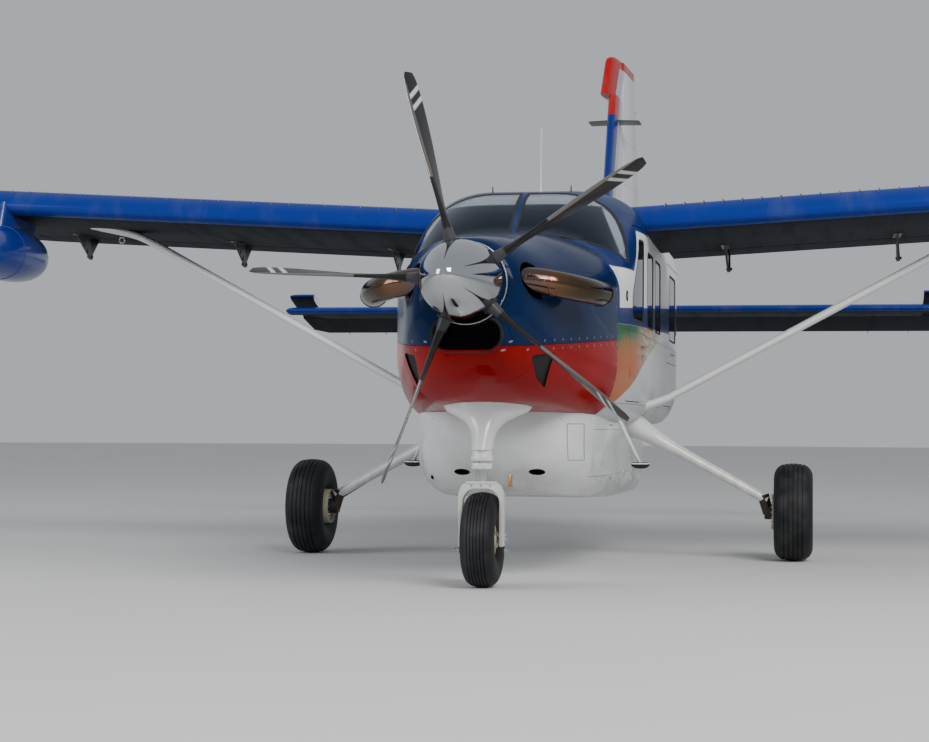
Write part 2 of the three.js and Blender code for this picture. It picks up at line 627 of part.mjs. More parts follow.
function buildPropeller() {
  const shaftAxis = vec(0, 1, 0);
  const centre = vec(0, BLADE_PLANE_Y, SHAFT_Z);
  const spinner = turned([...SPINNER, [0, SPINNER.at(-1)[1]]], 30, alongY(0, NOSE_TIP, SHAFT_Z));
  addNode('spinner', spinner, 'chrome');
  const plate = NOSE_TIP + SPINNER.at(-1)[1] + SEAT;
  addNode('propeller_hub', turned([
    [0, plate], [BACKPLATE.radius, plate], [BACKPLATE.radius, plate + BACKPLATE.depth],
    [SHAFT_RADIUS, plate + BACKPLATE.depth], [SHAFT_RADIUS, ENGINE_FRONT_Y - SEAT], [0, ENGINE_FRONT_Y - SEAT],
  ], 30, alongY(0, 0, SHAFT_Z)), 'metal');
  const around = turned([[0, -SEAT], ...SPINNER.slice(1).map(([r, d]) => [r + SEAT, d]),
    [0, SPINNER.at(-1)[1]]], 30, alongY(0, NOSE_TIP, SHAFT_Z));
  for (let i = 0; i < BLADE_COUNT; i += 1) {
    const fromTop = BLADE_PHASE - 90 + (360 * i) / BLADE_COUNT;
    const blade = moved(bladeSolid(), turnAbout(centre, shaftAxis, -fromTop)).subtract(around);
    addNode(`blade_${i + 1}`, blade, 'carbon');
  }
}

// Wing: built flat, then turned up by the dihedral. A point of a section is given by its share of the chord.
const UPPER = [
  [0.0, 0], [0.012, 0.2], [0.05, 0.38], [0.1, 0.49], [0.25, 0.59], [0.4, 0.56], [0.6, 0.435], [0.8, 0.245],
];
const LOWER = [[0.8, -0.07], [0.55, -0.13], [0.3, -0.19], [0.12, -0.2], [0.04, -0.17], [0.01, -0.11]];
const EDGE_THICKNESS = 10; // of a trailing edge

const wingChordZ = (y) => lerp(WING_LE_Z, WING_TE_Z, (y - WING_LE_Y) / (WING_TE_Y - WING_LE_Y));

// The tip's distance along the raised wing: its lowest corner lies furthest out, at half the span.
const TIP_DROP = WING_LE_Z - wingChordZ(TIP_TE_Y - 110) + EDGE_THICKNESS / 2;
const TIP_X = (SPAN / 2 - TIP_DROP * Math.sin(radians(DIHEDRAL))) / Math.cos(radians(DIHEDRAL));
// A wing section: distance from the centreline, leading edge, trailing edge, thickness share.
const WING = [
  [560, WING_LE_Y, WING_TE_Y, WING_THICKNESS],
  [TAPER_START_X, WING_LE_Y, WING_TE_Y, WING_THICKNESS],
  [6480, TIP_LE_Y - 20, TIP_TE_Y + 30, 0.14],
  [TIP_X - 70, TIP_LE_Y + 45, TIP_TE_Y - 10, 0.1],
  [TIP_X, TIP_LE_Y + 190, TIP_TE_Y - 110, 0.05],
];

function wingRowAt(x) {
  const next = Math.max(WING.findIndex((row) => row[0] >= x), 1);
  const before = WING[next - 1];
  const after = WING[next];
  const t = (x - before[0]) / (after[0] - before[0]);
  return before.map((value, i) => lerp(value, after[i], t));
}

function wingRing([x, leading, trailing, share]) {
  const chord = trailing - leading;
  const thickness = chord * share;
  const at = ([along, height]) => {
    const y = leading + along * chord;
    return vec(x, y, wingChordZ(y) + height * thickness);
  };
  const edge = (side) => vec(x, trailing, wingChordZ(trailing) + (side * EDGE_THICKNESS) / 2);
  return [...UPPER.map(at), edge(1), edge(-1), ...LOWER.map(at)];
}

// The wing's lower or upper surface height at a point, flat wing.
function wingSurfaceZ(x, y, side) {
  const [, leading, trailing, share] = wingRowAt(x);
  const chord = trailing - leading;
  const table = side > 0 ? [...UPPER, [1, 0]] : [[0, 0], ...LOWER.slice().reverse(), [1, 0]];
  const along = (y - leading) / chord;
  const next = Math.max(table.findIndex(([a]) => a >= along), 1);
  const [a0, h0] = table[next - 1];
  const [a1, h1] = table[next];
  return wingChordZ(y) + lerp(h0, h1, (along - a0) / (a1 - a0)) * chord * share;
}

const wingTurn = turnAbout(vec(0, 0, WING_LE_Z), vec(0, 1, 0), -DIHEDRAL);
const FLAP_NOSE_Y = WING_TE_Y - FLAP.chord;
const FLAP_PIVOT = {
  y: FLAP_NOSE_Y + FLAP.pivotBehindNose,
  z: wingChordZ(FLAP_NOSE_Y) - FLAP.pivotDrop,
};
const BRACKETS = [1295, 2585, 3915];
const PLATE = 14; // thickness of a flap bracket and of the arm beside it

function aileronHinge(x) {
  const [, , trailing] = wingRowAt(x);
  const y = trailing - AILERON.chord;
  const half = (wingSurfaceZ(x, y, 1) - wingSurfaceZ(x, y, -1)) / 2;
  return { y, z: (wingSurfaceZ(x, y, 1) + wingSurfaceZ(x, y, -1)) / 2, radius: half - 1 };
}

function trailingEdge(x, y, z) {
  return [vec(x, y, z - EDGE_THICKNESS / 2), vec(x, y, z + EDGE_THICKNESS / 2)];
}

// A control surface's section: a round nose about the hinge, then a wedge to the trailing edge.
function surfaceRing(x, hinge, chord, steps = 6) {
  const nose = Array.from({ length: steps + 1 }, (_, i) => {
    const a = radians(90 + (180 * i) / steps);
    return vec(x, hinge.y + hinge.radius * Math.cos(a), hinge.z + hinge.radius * Math.sin(a));
  });
  return [...nose, ...trailingEdge(x, hinge.y + chord, hinge.edgeZ ?? hinge.z)];
}

function flapSolid() {
  const { inner, outer, gap } = FLAP;
  const noseZ = (x, side) => wingSurfaceZ(x, FLAP_NOSE_Y, side);
  const body = loft([inner, outer].map((x) => {
    const mid = (noseZ(x, 1) + noseZ(x, -1)) / 2;
    const half = (noseZ(x, 1) - noseZ(x, -1)) / 2;
    const nose = Array.from({ length: 7 }, (_, i) => {
      const a = radians(90 + 30 * i);
      return vec(x, FLAP_NOSE_Y + half + half * Math.cos(a), mid + half * Math.sin(a));
    });
    return [...nose, ...trailingEdge(x, WING_TE_Y, wingChordZ(WING_TE_Y))];
  }));
  const arms = BRACKETS.map((x) => sidePrism([
    [FLAP_PIVOT.y - 26, FLAP_PIVOT.z], [FLAP_PIVOT.y, FLAP_PIVOT.z - 26], [FLAP_PIVOT.y + 30, FLAP_PIVOT.z],
    [FLAP_NOSE_Y + 260, wingChordZ(FLAP_NOSE_Y + 260)], [FLAP_NOSE_Y + 70, wingChordZ(FLAP_NOSE_Y + 70) - 10],
  ], x + PLATE / 2 + SEAT, x + PLATE * 1.5 + SEAT));
  return arms.reduce((solid, arm) => solid.add(arm), body);
}

function bracketSolid(x) {
  const z = (y) => wingSurfaceZ(x, y, -1) + 12;
  const front = FLAP_NOSE_Y - 330;
  const rear = FLAP_NOSE_Y - FLAP.gap - 20;
  return sidePrism([
    [front, z(front)], [FLAP_PIVOT.y - 30, FLAP_PIVOT.z - 18], [FLAP_PIVOT.y + 6, FLAP_PIVOT.z - 28],
    [FLAP_PIVOT.y + 28, FLAP_PIVOT.z + 6], [FLAP_PIVOT.y, FLAP_PIVOT.z + 26], [rear, z(rear)],
  ], x - PLATE / 2, x + PLATE / 2);
}

function aileronSolid() {
  const { inner, outer, chord } = AILERON;
  return loft([inner, outer].map((x) => {
    const hinge = aileronHinge(x);
    return surfaceRing(x, { ...hinge, edgeZ: wingChordZ(hinge.y + chord) }, chord);
  }));
}

function buildWings() {
  let wing = loft(WING.map(wingRing));
  const flapFront = FLAP_NOSE_Y - FLAP.gap;
  wing = wing.subtract(block(0, FLAP.outer + FLAP.gap, flapFront, WING_TE_Y + PAST, BELOW_ALL, ABOVE_ALL));
  const cut = [AILERON.inner - AILERON.gap, AILERON.outer + AILERON.gap].map((x) => {
    const hinge = aileronHinge(x);
    return [x, hinge.y - hinge.radius - AILERON.gap];
  });
  const past = WING_TE_Y + PAST;
  wing = wing.subtract(planPrism([cut[0], cut[1], [cut[1][0], past], [cut[0][0], past]], BELOW_ALL, ABOVE_ALL));
  for (const x of BRACKETS) wing = wing.add(bracketSolid(x));

  const ends = [AILERON.inner, AILERON.outer].map((x) => {
    const hinge = aileronHinge(x);
    return vec(x, hinge.y, hinge.z);
  });
  const line = ends[1].clone().sub(ends[0]).normalize();
  const pinRadius = 9;
  const slant = Math.hypot(line.y, line.z) / line.x;
  const pinReach = (AILERON.gap - SEAT) / line.x - pinRadius * slant;
  const innerEnd = ends[0].clone().addScaledVector(line, -pinReach);
  const outerEnd = ends[1].clone().addScaledVector(line, pinReach);
  const pin = rod(innerEnd, outerEnd, pinRadius, 8);
  const aileronTurned = moved(aileronSolid().add(pin), wingTurn);
  const wingTurned = moved(wing, wingTurn).subtract(seatedBody);
  const flapTurned = moved(flapSolid(), wingTurn);
  for (const side of SIDES) {
    const facing = (solid) => (side.sign > 0 ? solid : mirrored(solid));
    addNode(`wing_${side.name}`, facing(wingTurned), 'blue');
    addNode(`flap_${side.name}`, facing(flapTurned), 'blue');
    addNode(`aileron_${side.name}`, facing(aileronTurned), 'blue');
  }
  return wingTurned;
}

// Struts, radar pod: rows of [x, y, z, half chord, half thickness].
const STRUT = [
  [600, 2742, 1085, 100, 48], [720, 2752, 1122, 85, 40], [900, 2765, 1185, 66, 34],
  [3060, 2880, 2358, 62, 34], [3240, 2885, 2446, 95, 36], [3420, 2880, 2496, 150, 42],
  [3600, 2870, 2530, 170, 40],
];
const RADAR_POD = { x: -4075, z: 2262, front: 1720, length: 1150, radius: 205 };
// The radar pod's outline: shares of its radius and of its length.
const RADAR_PROFILE = [
  [0, 0], [0.35, 0.03], [0.62, 0.1], [0.85, 0.22], [1, 0.4], [1, 0.6], [0.86, 0.8], [0.55, 0.93], [0, 1],
];
// The pylon's side view, counted from the pod's front and centre, and its half width.
const PYLON = [[330, 0], [1000, 0], [1150, 420], [480, 420]];
const PYLON_HALF = 70;
const PYLON_TOP = 395;

function buildStruts(wing) {
  const wingGrown = moved(wing, shift(0, 0, -SEAT));
  const strut = ovalSweep(STRUT, 12).subtract(seatedBody).subtract(wing).subtract(wingGrown);
  addNode('strut_left', strut, 'white');
  addNode('strut_right', mirrored(strut), 'white');

  const { x, z, front, length, radius } = RADAR_POD;
  const shell = turned(RADAR_PROFILE.map(([r, a]) => [r * radius, a * length]), 20, alongY(x, front, z));
  const pylon = sidePrism(PYLON.map(([y, dz]) => [front + y, z + dz]), x - PYLON_HALF, x + PYLON_HALF);
  const aboveWing = block(x - radius, x + radius, front, front + 2 * length, z + PYLON_TOP, ABOVE_ALL);
  const pod = shell.add(pylon).subtract(mirrored(wing)).subtract(mirrored(wingGrown)).subtract(aboveWing);
  addNode('radar_pod', pod, 'blue');
}

// Tail surfaces. A section of the tail plane: share of thickness along the fixed chord.
const TAIL_SECTION = [[0, 0], [0.03, 0.42], [0.12, 0.78], [0.4, 1], [1, 0.96]];

// A symmetric fixed surface's ring: leading edge, rear face, half thickness; across() lays out a point.
function fixedRing(leading, rear, half, across) {
  const side = (sign) => TAIL_SECTION.map(([along, share]) => (
    across(lerp(leading, rear, along), sign * share * half)));
  return [...side(1), ...side(-1).slice(1).reverse()];
}

const ELEVATOR_NOSE = 42;
const ELEVATOR_INNER = [185, 385]; // inboard edge at the hinge and at the trailing edge
const ELEVATOR_CORNER = 130; // bevel of the tip's rear corner
const TAIL_GAP = 9;
const TUBE_RADIUS = 24; // of the elevator's torque tube

function elevatorSolid() {
  const hinge = { y: ELEVATOR_HINGE_Y, z: STAB_Z, radius: ELEVATOR_NOSE };
  let body = loft([ELEVATOR_INNER[0], STAB_HALF_SPAN].map((x) => surfaceRing(x, hinge, ELEVATOR_CHORD)));
  const rear = ELEVATOR_HINGE_Y + ELEVATOR_CHORD;
  const [hingeX, edgeX] = ELEVATOR_INNER;
  const innerCorner = [[hingeX - 1, ELEVATOR_HINGE_Y], [edgeX, rear + 1], [hingeX - 1, rear + 1]];
  const tip = STAB_HALF_SPAN + 1;
  const outerCorner = [
    [STAB_HALF_SPAN - ELEVATOR_CORNER, rear + 1], [tip, rear - ELEVATOR_CORNER], [tip, rear + 1],
  ];
  for (const corner of [innerCorner, outerCorner]) body = body.subtract(planPrism(corner, BELOW_ALL, ABOVE_ALL));
  const hornHalf = ELEVATOR_NOSE - 2;
  const horn = loft([HORN_INNER_X, STAB_HALF_SPAN].map((x) => fixedRing(HORN_NOSE_Y, ELEVATOR_HINGE_Y, hornHalf,
    (y, z) => vec(x, y, STAB_Z + z))));
  const tailHalf = fuselageRowAt(ELEVATOR_HINGE_Y - TUBE_RADIUS)[HALF_WIDTH];
  const tube = rod(vec(tailHalf + SEAT, hinge.y, hinge.z), vec(hingeX + 20, hinge.y, hinge.z), TUBE_RADIUS, 12);
  return body.add(horn).add(tube);
}

// Fin: plan outlines at four heights, of [height, leading edge, half thickness].
const FIN = [[2440, 5500, 12], [2620, 5760, 16], [2760, 6420, 40], [3100, 6740, 52], [FIN_TOP_Z, 7400, 50]];
const FIN_REAR_Y = RUDDER_HINGE_Y - RUDDER_NOSE - TAIL_GAP;
// Rudder: [height, how far the trailing edge is cut back] from the foot to the top.
const RUDDER = [[RUDDER_BOTTOM_Z, 0], [2300, 0], [FIN_TOP_Z + 20, -330], [RUDDER_TOP_Z, -400]];
// Its horn ahead of the hinge: [height, leading edge, half thickness].
const RUDDER_HORN = [[FIN_TOP_Z + TAIL_GAP, 7390, 50], [RUDDER_TOP_Z - 60, 7590, 48], [RUDDER_TOP_Z, 7700, 40]];

const TAIL_SOLID_Y = 7760; // the tail cone is solid behind this station
const RUDDER_BEARING = { half: 45, front: 7800, depth: 22 }; // plate under the rudder's foot

function rudderSolid() {
  const ring = (z, edge, half) => {
    const nose = Array.from({ length: 7 }, (_, i) => {
      const a = radians(90 + 30 * i);
      return vec(half * Math.sin(a), RUDDER_HINGE_Y + half * Math.cos(a), z);
    });
    return [...nose, vec(-EDGE_THICKNESS / 2, edge, z), vec(EDGE_THICKNESS / 2, edge, z)];
  };
  const rest = radians(RUDDER_REST);
  const chord = (TAIL_END - RUDDER_HINGE_Y - (EDGE_THICKNESS / 2) * Math.sin(rest)) / Math.cos(rest);
  const body = loft(RUDDER.map(([z, cut]) => ring(z, RUDDER_HINGE_Y + chord + cut, RUDDER_NOSE)));
  const horn = loft(RUDDER_HORN.map(([z, front, half]) => (
    fixedRing(front, RUDDER_HINGE_Y, half, (y, x) => vec(x, y, z)))));
  return body.add(horn);
}

function buildTail() {
  const { half, front, depth } = RUDDER_BEARING;
  const footZ = RUDDER_BOTTOM_Z - SEAT;
  const tail = fuselageBody(CABIN_END_Y + SEAT, FUSELAGE.at(-1)[STATION], even(0))
    .subtract(fuselageBody(CABIN_END_Y - PAST, TAIL_SOLID_Y, inward(THIN_WALL)))
    .add(block(-half, half, front, RUDDER_HINGE_Y + half, footZ - depth, footZ));
  addNode('tail_cone', tail, 'white');

  const fin = loft(FIN.map(([z, leading, halfDepth]) => (
    fixedRing(leading, FIN_REAR_Y, halfDepth, (y, x) => vec(x, y, z))))).subtract(seatedBody);
  addNode('fin', fin, 'white');
  const rudder = moved(rudderSolid(), turnAbout(vec(0, RUDDER_HINGE_Y, 0), vec(0, 0, 1), -RUDDER_REST));
  addNode('rudder', rudder, 'white');

  const stabRear = ELEVATOR_HINGE_Y - ELEVATOR_NOSE - TAIL_GAP;
  const hornNotch = block(HORN_INNER_X - TAIL_GAP, STAB_HALF_SPAN + PAST, HORN_NOSE_Y - TAIL_GAP,
    stabRear + PAST, BELOW_ALL, ABOVE_ALL);
  const stab = loft([60, STAB_HALF_SPAN].map((x) => fixedRing(STAB_LE_Y, stabRear, STAB_THICKNESS / 2,
    (y, z) => vec(x, y, STAB_Z + z)))).subtract(hornNotch).subtract(seatedBody);
  const droop = turnAbout(vec(0, ELEVATOR_HINGE_Y, STAB_Z), vec(1, 0, 0), -ELEVATOR_DROOP);
  const elevator = moved(elevatorSolid(), droop);
  for (const side of SIDES) {
    const facing = (solid) => (side.sign > 0 ? solid : mirrored(solid));
    addNode(`tailplane_${side.name}`, facing(stab), 'blue');
    addNode(`elevator_${side.name}`, facing(elevator), 'blue');
  }
}

// Main gear leg, port side: [x, y, z, half chord, half thickness].
const GEAR_LEG = [
  [540, WHEELBASE, 1060, 200, 120], [660, WHEELBASE, 985, 165, 100], [820, WHEELBASE, 890, 105, 66],
  [1050, WHEELBASE, 760, 72, 46], [1400, WHEELBASE, 570, 58, 40], [1630, WHEELBASE, 440, 50, 38],
];
const AXLE_BOSS = [
  [1600, WHEELBASE, 480, 52, 44], [1622, WHEELBASE, 400, 50, 40], [1640, WHEELBASE, MAIN_TYRE.radius - 10, 48, 42],
];
const AXLE_INNER_X = 1610;
const AXLE_END = 70; // past the wheel's middle
const AXLE_RADIUS = 32;
const HUB_GAP = 0.5;

// A tyre or hub, turned so that the tyre rests on one of its flats and not on an edge.
function wheelPiece(profile, { segments }, x, y, z) {
  return turned(profile, segments, alongX(x, y, z), Math.PI / segments);
}

// A tyre's half outline, [radius, across], from the bead over the tread. Its flats lie at its radius.
function tyreProfile({ radius: flat, halfWidth, bead, segments }) {
  const radius = flat / Math.cos(Math.PI / segments);
  const depth = radius - bead;
  const half = [[bead, 0.66], [bead + depth * 0.25, 0.93], [bead + depth * 0.6, 1],
    [radius - depth * 0.12, 0.87], [radius, 0.5]];
  const points = half.map(([r, w]) => [r, w * halfWidth]);
  return [...points, ...points.slice().reverse().map(([r, w]) => [r, -w])];
}

function buildMainGear(pod) {
  const axleZ = MAIN_TYRE.radius;
  const wheelX = TRACK / 2;
  const axle = rod(vec(AXLE_INNER_X, WHEELBASE, axleZ), vec(wheelX + AXLE_END, WHEELBASE, axleZ), AXLE_RADIUS, 20);
  const leg = ovalSweep(GEAR_LEG, 12).add(ovalSweep(AXLE_BOSS, 12)).add(axle).subtract(seatedBody).subtract(pod);
  const rim = MAIN_TYRE.bead - SEAT;
  const bore = AXLE_RADIUS + HUB_GAP;
  const hubProfile = [
    [bore, -95], [78, -95], [84, -40], [112, -84], [rim, -84], [rim, 84], [112, 84], [98, 50], [58, 92], [bore, 92],
  ];
  const tyre = tyreProfile(MAIN_TYRE);
  const hub = wheelPiece([...hubProfile, hubProfile[0]], MAIN_TYRE, wheelX, WHEELBASE, axleZ);
  const rubber = wheelPiece([...tyre, tyre[0]], MAIN_TYRE, wheelX, WHEELBASE, axleZ);
  for (const side of SIDES) {
    const facing = (solid) => (side.sign > 0 ? solid : mirrored(solid));
    addNode(`gear_leg_${side.name}`, facing(leg), 'white');
    addNode(`main_hub_${side.name}`, facing(hub), 'hub');
    addNode(`main_tyre_${side.name}`, facing(rubber), 'rubber');
  }
}

// Nose gear. The fairing's rows: [height, half width, half length, centre y].
const NOSE_FAIRING = [
  [1190, 292, 205, 190], [1125, 285, 200, 180], [1068, 258, 185, 160], [1030, 185, 155, 125], [990, 118, 125, 80],
  [930, 76, 95, 25], [830, 62, 80, NOSE_LEG_Y],
];
// The collars' half outline, [radius, height], from the top down.
const COLLARS = [
  [0, 830.3], [60, 830.3], [60, 795], [68, 795], [68, 765], [54, 765], [54, 750], [64, 750], [64, 715], [38, 715],
  [38, 640], [0, 640],
];
const FORK = {
  top: 639.5, crown: 596, outer: 138, inner: 112, halfDepth: 34, corner: 60, footDrop: 38, footHeight: 78, axle: 20,
};
const NOSE_AXLE_END = 14; // past the fork's legs

function buildNoseGear(pod) {
  const ring = ([z, a, b, y]) => Array.from({ length: 16 }, (_, k) => {
    const angle = (2 * Math.PI * k) / 16;
    return vec(a * Math.cos(angle), y + b * Math.sin(angle), z);
  });
  const fairing = loft(NOSE_FAIRING.map(ring)).subtract(seatedBody).subtract(pod);
  const axis = alongZ(0, NOSE_LEG_Y, 0);
  addNode('nose_leg', fairing.add(turned(COLLARS.slice().reverse(), 20, axis)), 'white');

  const { top, crown, outer, inner, halfDepth, corner } = FORK;
  const foot = NOSE_TYRE.radius - FORK.footDrop;
  const arch = frontPrism([
    [-outer, foot], [-inner, foot], [-inner, crown - corner], [-inner + 28, crown - 16], [-inner + 60, crown],
    [inner - 60, crown], [inner - 28, crown - 16], [inner, crown - corner], [inner, foot], [outer, foot],
    [outer, top - corner - 10], [outer - 24, top - 16], [outer - 66, top], [-outer + 66, top],
    [-outer + 24, top - 16], [-outer, top - corner - 10],
  ].reverse(), NOSE_LEG_Y - halfDepth, NOSE_LEG_Y + halfDepth);
  const dropouts = [1, -1].map((s) => block(Math.min(s * inner, s * outer), Math.max(s * inner, s * outer),
    NOSE_LEG_Y - halfDepth, halfDepth + 8, foot, foot + FORK.footHeight));
  const end = outer + NOSE_AXLE_END;
  const axle = rod(vec(-end, 0, NOSE_TYRE.radius), vec(end, 0, NOSE_TYRE.radius), FORK.axle, 16);
  addNode('nose_fork', arch.add(dropouts[0]).add(dropouts[1]).add(axle), 'white');

  const rim = NOSE_TYRE.bead - SEAT;
  const bore = FORK.axle + HUB_GAP;
  const hub = [
    [bore, -92], [46, -92], [52, -40], [84, -40], [88, -62], [rim, -62], [rim, 62], [88, 62], [84, 40], [52, 40],
    [46, 92], [bore, 92], [bore, -92],
  ];
  const tyre = tyreProfile(NOSE_TYRE);
  addNode('nose_hub', wheelPiece(hub, NOSE_TYRE, 0, 0, NOSE_TYRE.radius), 'hub');
  addNode('nose_tyre', wheelPiece([...tyre, tyre[0]], NOSE_TYRE, 0, 0, NOSE_TYRE.radius), 'rubber');
}

// Cargo pod: same columns as the fuselage.
const POD = [
  [440, 330, 800, 1140, 120, 90, 200, 170],
  [520, 440, 690, 1140, 120, 90, 230, 230],
  [680, 520, 600, 1140, 120, 90, 250, 240],
  [950, 585, 530, 1140, 120, 90, 230, 220],
  [1450, 612, 496, 1140, 120, 90, 190, 170],
  [3900, 612, 446, 1140, 120, 90, 180, 160],
  [4450, 560, 520, 1140, 120, 90, 200, 200],
  [4900, 400, 800, 1140, 120, 90, 200, 180],
];
const STEP = { y: 1750, padX: 800, padZ: 710, padHalf: 22, rootX: 640, rootZ: 1040 };

function buildUnderside() {
  const pod = loft(POD.map((row) => fuselageRing(row, even(0))), true).subtract(seatedBody);
  addNode('cargo_pod', pod, 'grey');
  const { y, padX, padZ, padHalf, rootX, rootZ } = STEP;
  const pad = planPrism([[padX - 62, y - 85], [padX + 10, y - 80], [padX + 55, y - 45], [padX + 62, y],
    [padX + 55, y + 45], [padX + 10, y + 80], [padX - 62, y + 85]], padZ - padHalf, padZ + padHalf);
  const step = rod(vec(rootX, y - 70, rootZ), vec(padX, y - 10, padZ), 15, 8)
    .add(rod(vec(rootX, y + 70, rootZ), vec(padX, y + 10, padZ), 15, 8)).add(pad).subtract(seatedBody);
  addNode('crew_step_left', step, 'white');
  addNode('crew_step_right', mirrored(step), 'white');
  return loft(POD.map((row) => fuselageRing(row, even(SEAT))), true);
}

buildCabin();
buildCabinFittings();
buildEngineBay();
buildPropeller();
const wing = buildWings();
buildStruts(wing);
buildTail();
const podClearance = buildUnderside();
buildMainGear(podClearance);
buildNoseGear(podClearance);

plane.position.y = -(NOSE_TIP + TAIL_END) / 2;

export default plane;
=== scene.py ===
"""Looks of a single-engine turboprop utility plane, parked on its tricycle gear.

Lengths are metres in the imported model's frame. A station is a distance behind the nose wheel's axle.
"""

import logging
import math
from dataclasses import dataclass, field
from enum import Enum
from functools import cached_property, reduce
from typing import Callable, Iterable, Optional, Sequence, Union

import bmesh
import bpy
from mathutils import Matrix, Vector


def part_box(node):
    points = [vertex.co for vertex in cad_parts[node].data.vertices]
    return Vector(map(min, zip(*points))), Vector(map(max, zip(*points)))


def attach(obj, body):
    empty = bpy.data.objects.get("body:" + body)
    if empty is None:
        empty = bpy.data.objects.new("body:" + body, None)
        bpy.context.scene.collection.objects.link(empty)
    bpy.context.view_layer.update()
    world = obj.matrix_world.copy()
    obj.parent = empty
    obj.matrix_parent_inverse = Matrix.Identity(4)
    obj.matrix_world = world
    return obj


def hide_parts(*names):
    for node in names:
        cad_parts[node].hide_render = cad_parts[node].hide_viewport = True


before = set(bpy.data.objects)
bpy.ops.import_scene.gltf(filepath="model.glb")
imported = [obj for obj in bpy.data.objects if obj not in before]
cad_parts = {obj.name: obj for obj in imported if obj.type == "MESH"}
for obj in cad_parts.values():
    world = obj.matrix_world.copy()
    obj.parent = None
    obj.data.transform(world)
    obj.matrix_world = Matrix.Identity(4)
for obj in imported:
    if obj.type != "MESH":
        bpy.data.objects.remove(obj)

log = logging.getLogger("plane")
STATION_ZERO = -3.898
FULL_TURN = 2 * math.pi
Table = Sequence[Sequence[float]]
Outline = Sequence[tuple[float, float]]


def spot(x: float, station: float, height: float) -> Vector:
    """Returns the point at an X, a station and a height."""
    return Vector((x, station + STATION_ZERO, height))


def spread(first: float, last: float, count: int) -> list[float]:
    """Returns evenly spaced numbers, both ends among them."""
    return [first + (last - first) * i / (count - 1) for i in range(count)]


def around(count: int) -> list[float]:
    """Returns evenly spaced angles round a full turn."""
    return spread(0, FULL_TURN, count + 1)[:-1]


def about(point: Vector, degrees: float, axis: str) -> Matrix:
    """Returns the turn about a point, round an axis of the frame."""
    pivot = Matrix.Translation(point)
    return pivot @ Matrix.Rotation(math.radians(degrees), 4, axis) @ pivot.inverted()


def flowing(points: Table, per_span: int) -> list[tuple[float, ...]]:
    """Samples a smooth curve.

    Args:
        points: The points that the curve passes, each a row of numbers.
        per_span: Samples between two points.

    Returns:
        The samples, both ends among them.
    """
    held = [points[0], *points, points[-1]]
    samples = []
    for a, b, c, d in zip(held, held[1:], held[2:], held[3:]):
        for t in (step / per_span for step in range(per_span)):
            samples.append(tuple(
                0.5 * (2 * q + (r - p) * t + (2 * p - 5 * q + 4 * r - s) * t ** 2 + (3 * q - p - 3 * r + s) * t ** 3)
                for p, q, r, s in zip(a, b, c, d)))
    return [*samples, tuple(points[-1])]


def rounded(low: Sequence[float], high: Sequence[float], radius: float, steps: int) -> list[tuple[float, float]]:
    """Draws a rectangle with round corners.

    Args:
        low: The corner with the lowest values.
        high: The corner with the highest values.
        radius: The corners' radius.
        steps: Facets of a corner.

    Returns:
        The outline.
    """
    outline = []
    for x, y, start in ((high[0], low[1], -90), (high[0], high[1], 0), (low[0], high[1], 90), (low[0], low[1], 180)):
        centre_x = x - math.copysign(radius, x - (low[0] + high[0]) / 2)
        centre_y = y - math.copysign(radius, y - (low[1] + high[1]) / 2)
        for angle in spread(start, start + 90, steps + 1):
            a = math.radians(angle)
            outline.append((centre_x + radius * math.cos(a), centre_y + radius * math.sin(a)))
    return outline


def softened(outline: Outline, radius: float, steps: int = 4) -> list[tuple[float, float]]:
    """Rounds an outline's corners.

    Args:
        outline: The outline's points.
        radius: How far from a corner its curve starts, at most.
        steps: Facets of a corner.

    Returns:
        The rounded outline.
    """
    made = []
    for i, here in enumerate(outline):
        corner = Vector(here)
        before = Vector(outline[i - 1]) - corner
        after = Vector(outline[(i + 1) % len(outline)]) - corner
        reach = min(radius, before.length * 0.45, after.length * 0.45)
        start, end = corner + before.normalized() * reach, corner + after.normalized() * reach
        for t in spread(0, 1, steps + 1):
            made.append(tuple(start * (1 - t) ** 2 + corner * 2 * t * (1 - t) + end * t ** 2))
    return made


def widened(outline: Outline, distance: float) -> list[tuple[float, float]]:
    """Moves an outline outward.

    Args:
        outline: The outline's points.
        distance: How far each side moves, negative for inward.

    Returns:
        The moved outline.
    """
    area = sum(a[0] * b[1] - b[0] * a[1] for a, b in zip(outline, [*outline[1:], outline[0]]))
    made = []
    for i, here in enumerate(outline):
        corner = Vector(here)
        along = (corner - Vector(outline[i - 1])).normalized()
        onward = (Vector(outline[(i + 1) % len(outline)]) - corner).normalized()
        first, second = Vector((along.y, -along.x)), Vector((onward.y, -onward.x))
        shift = (first + second) * math.copysign(distance, area * distance) / (1 + first.dot(second))
        made.append(tuple(corner + shift))
    return made


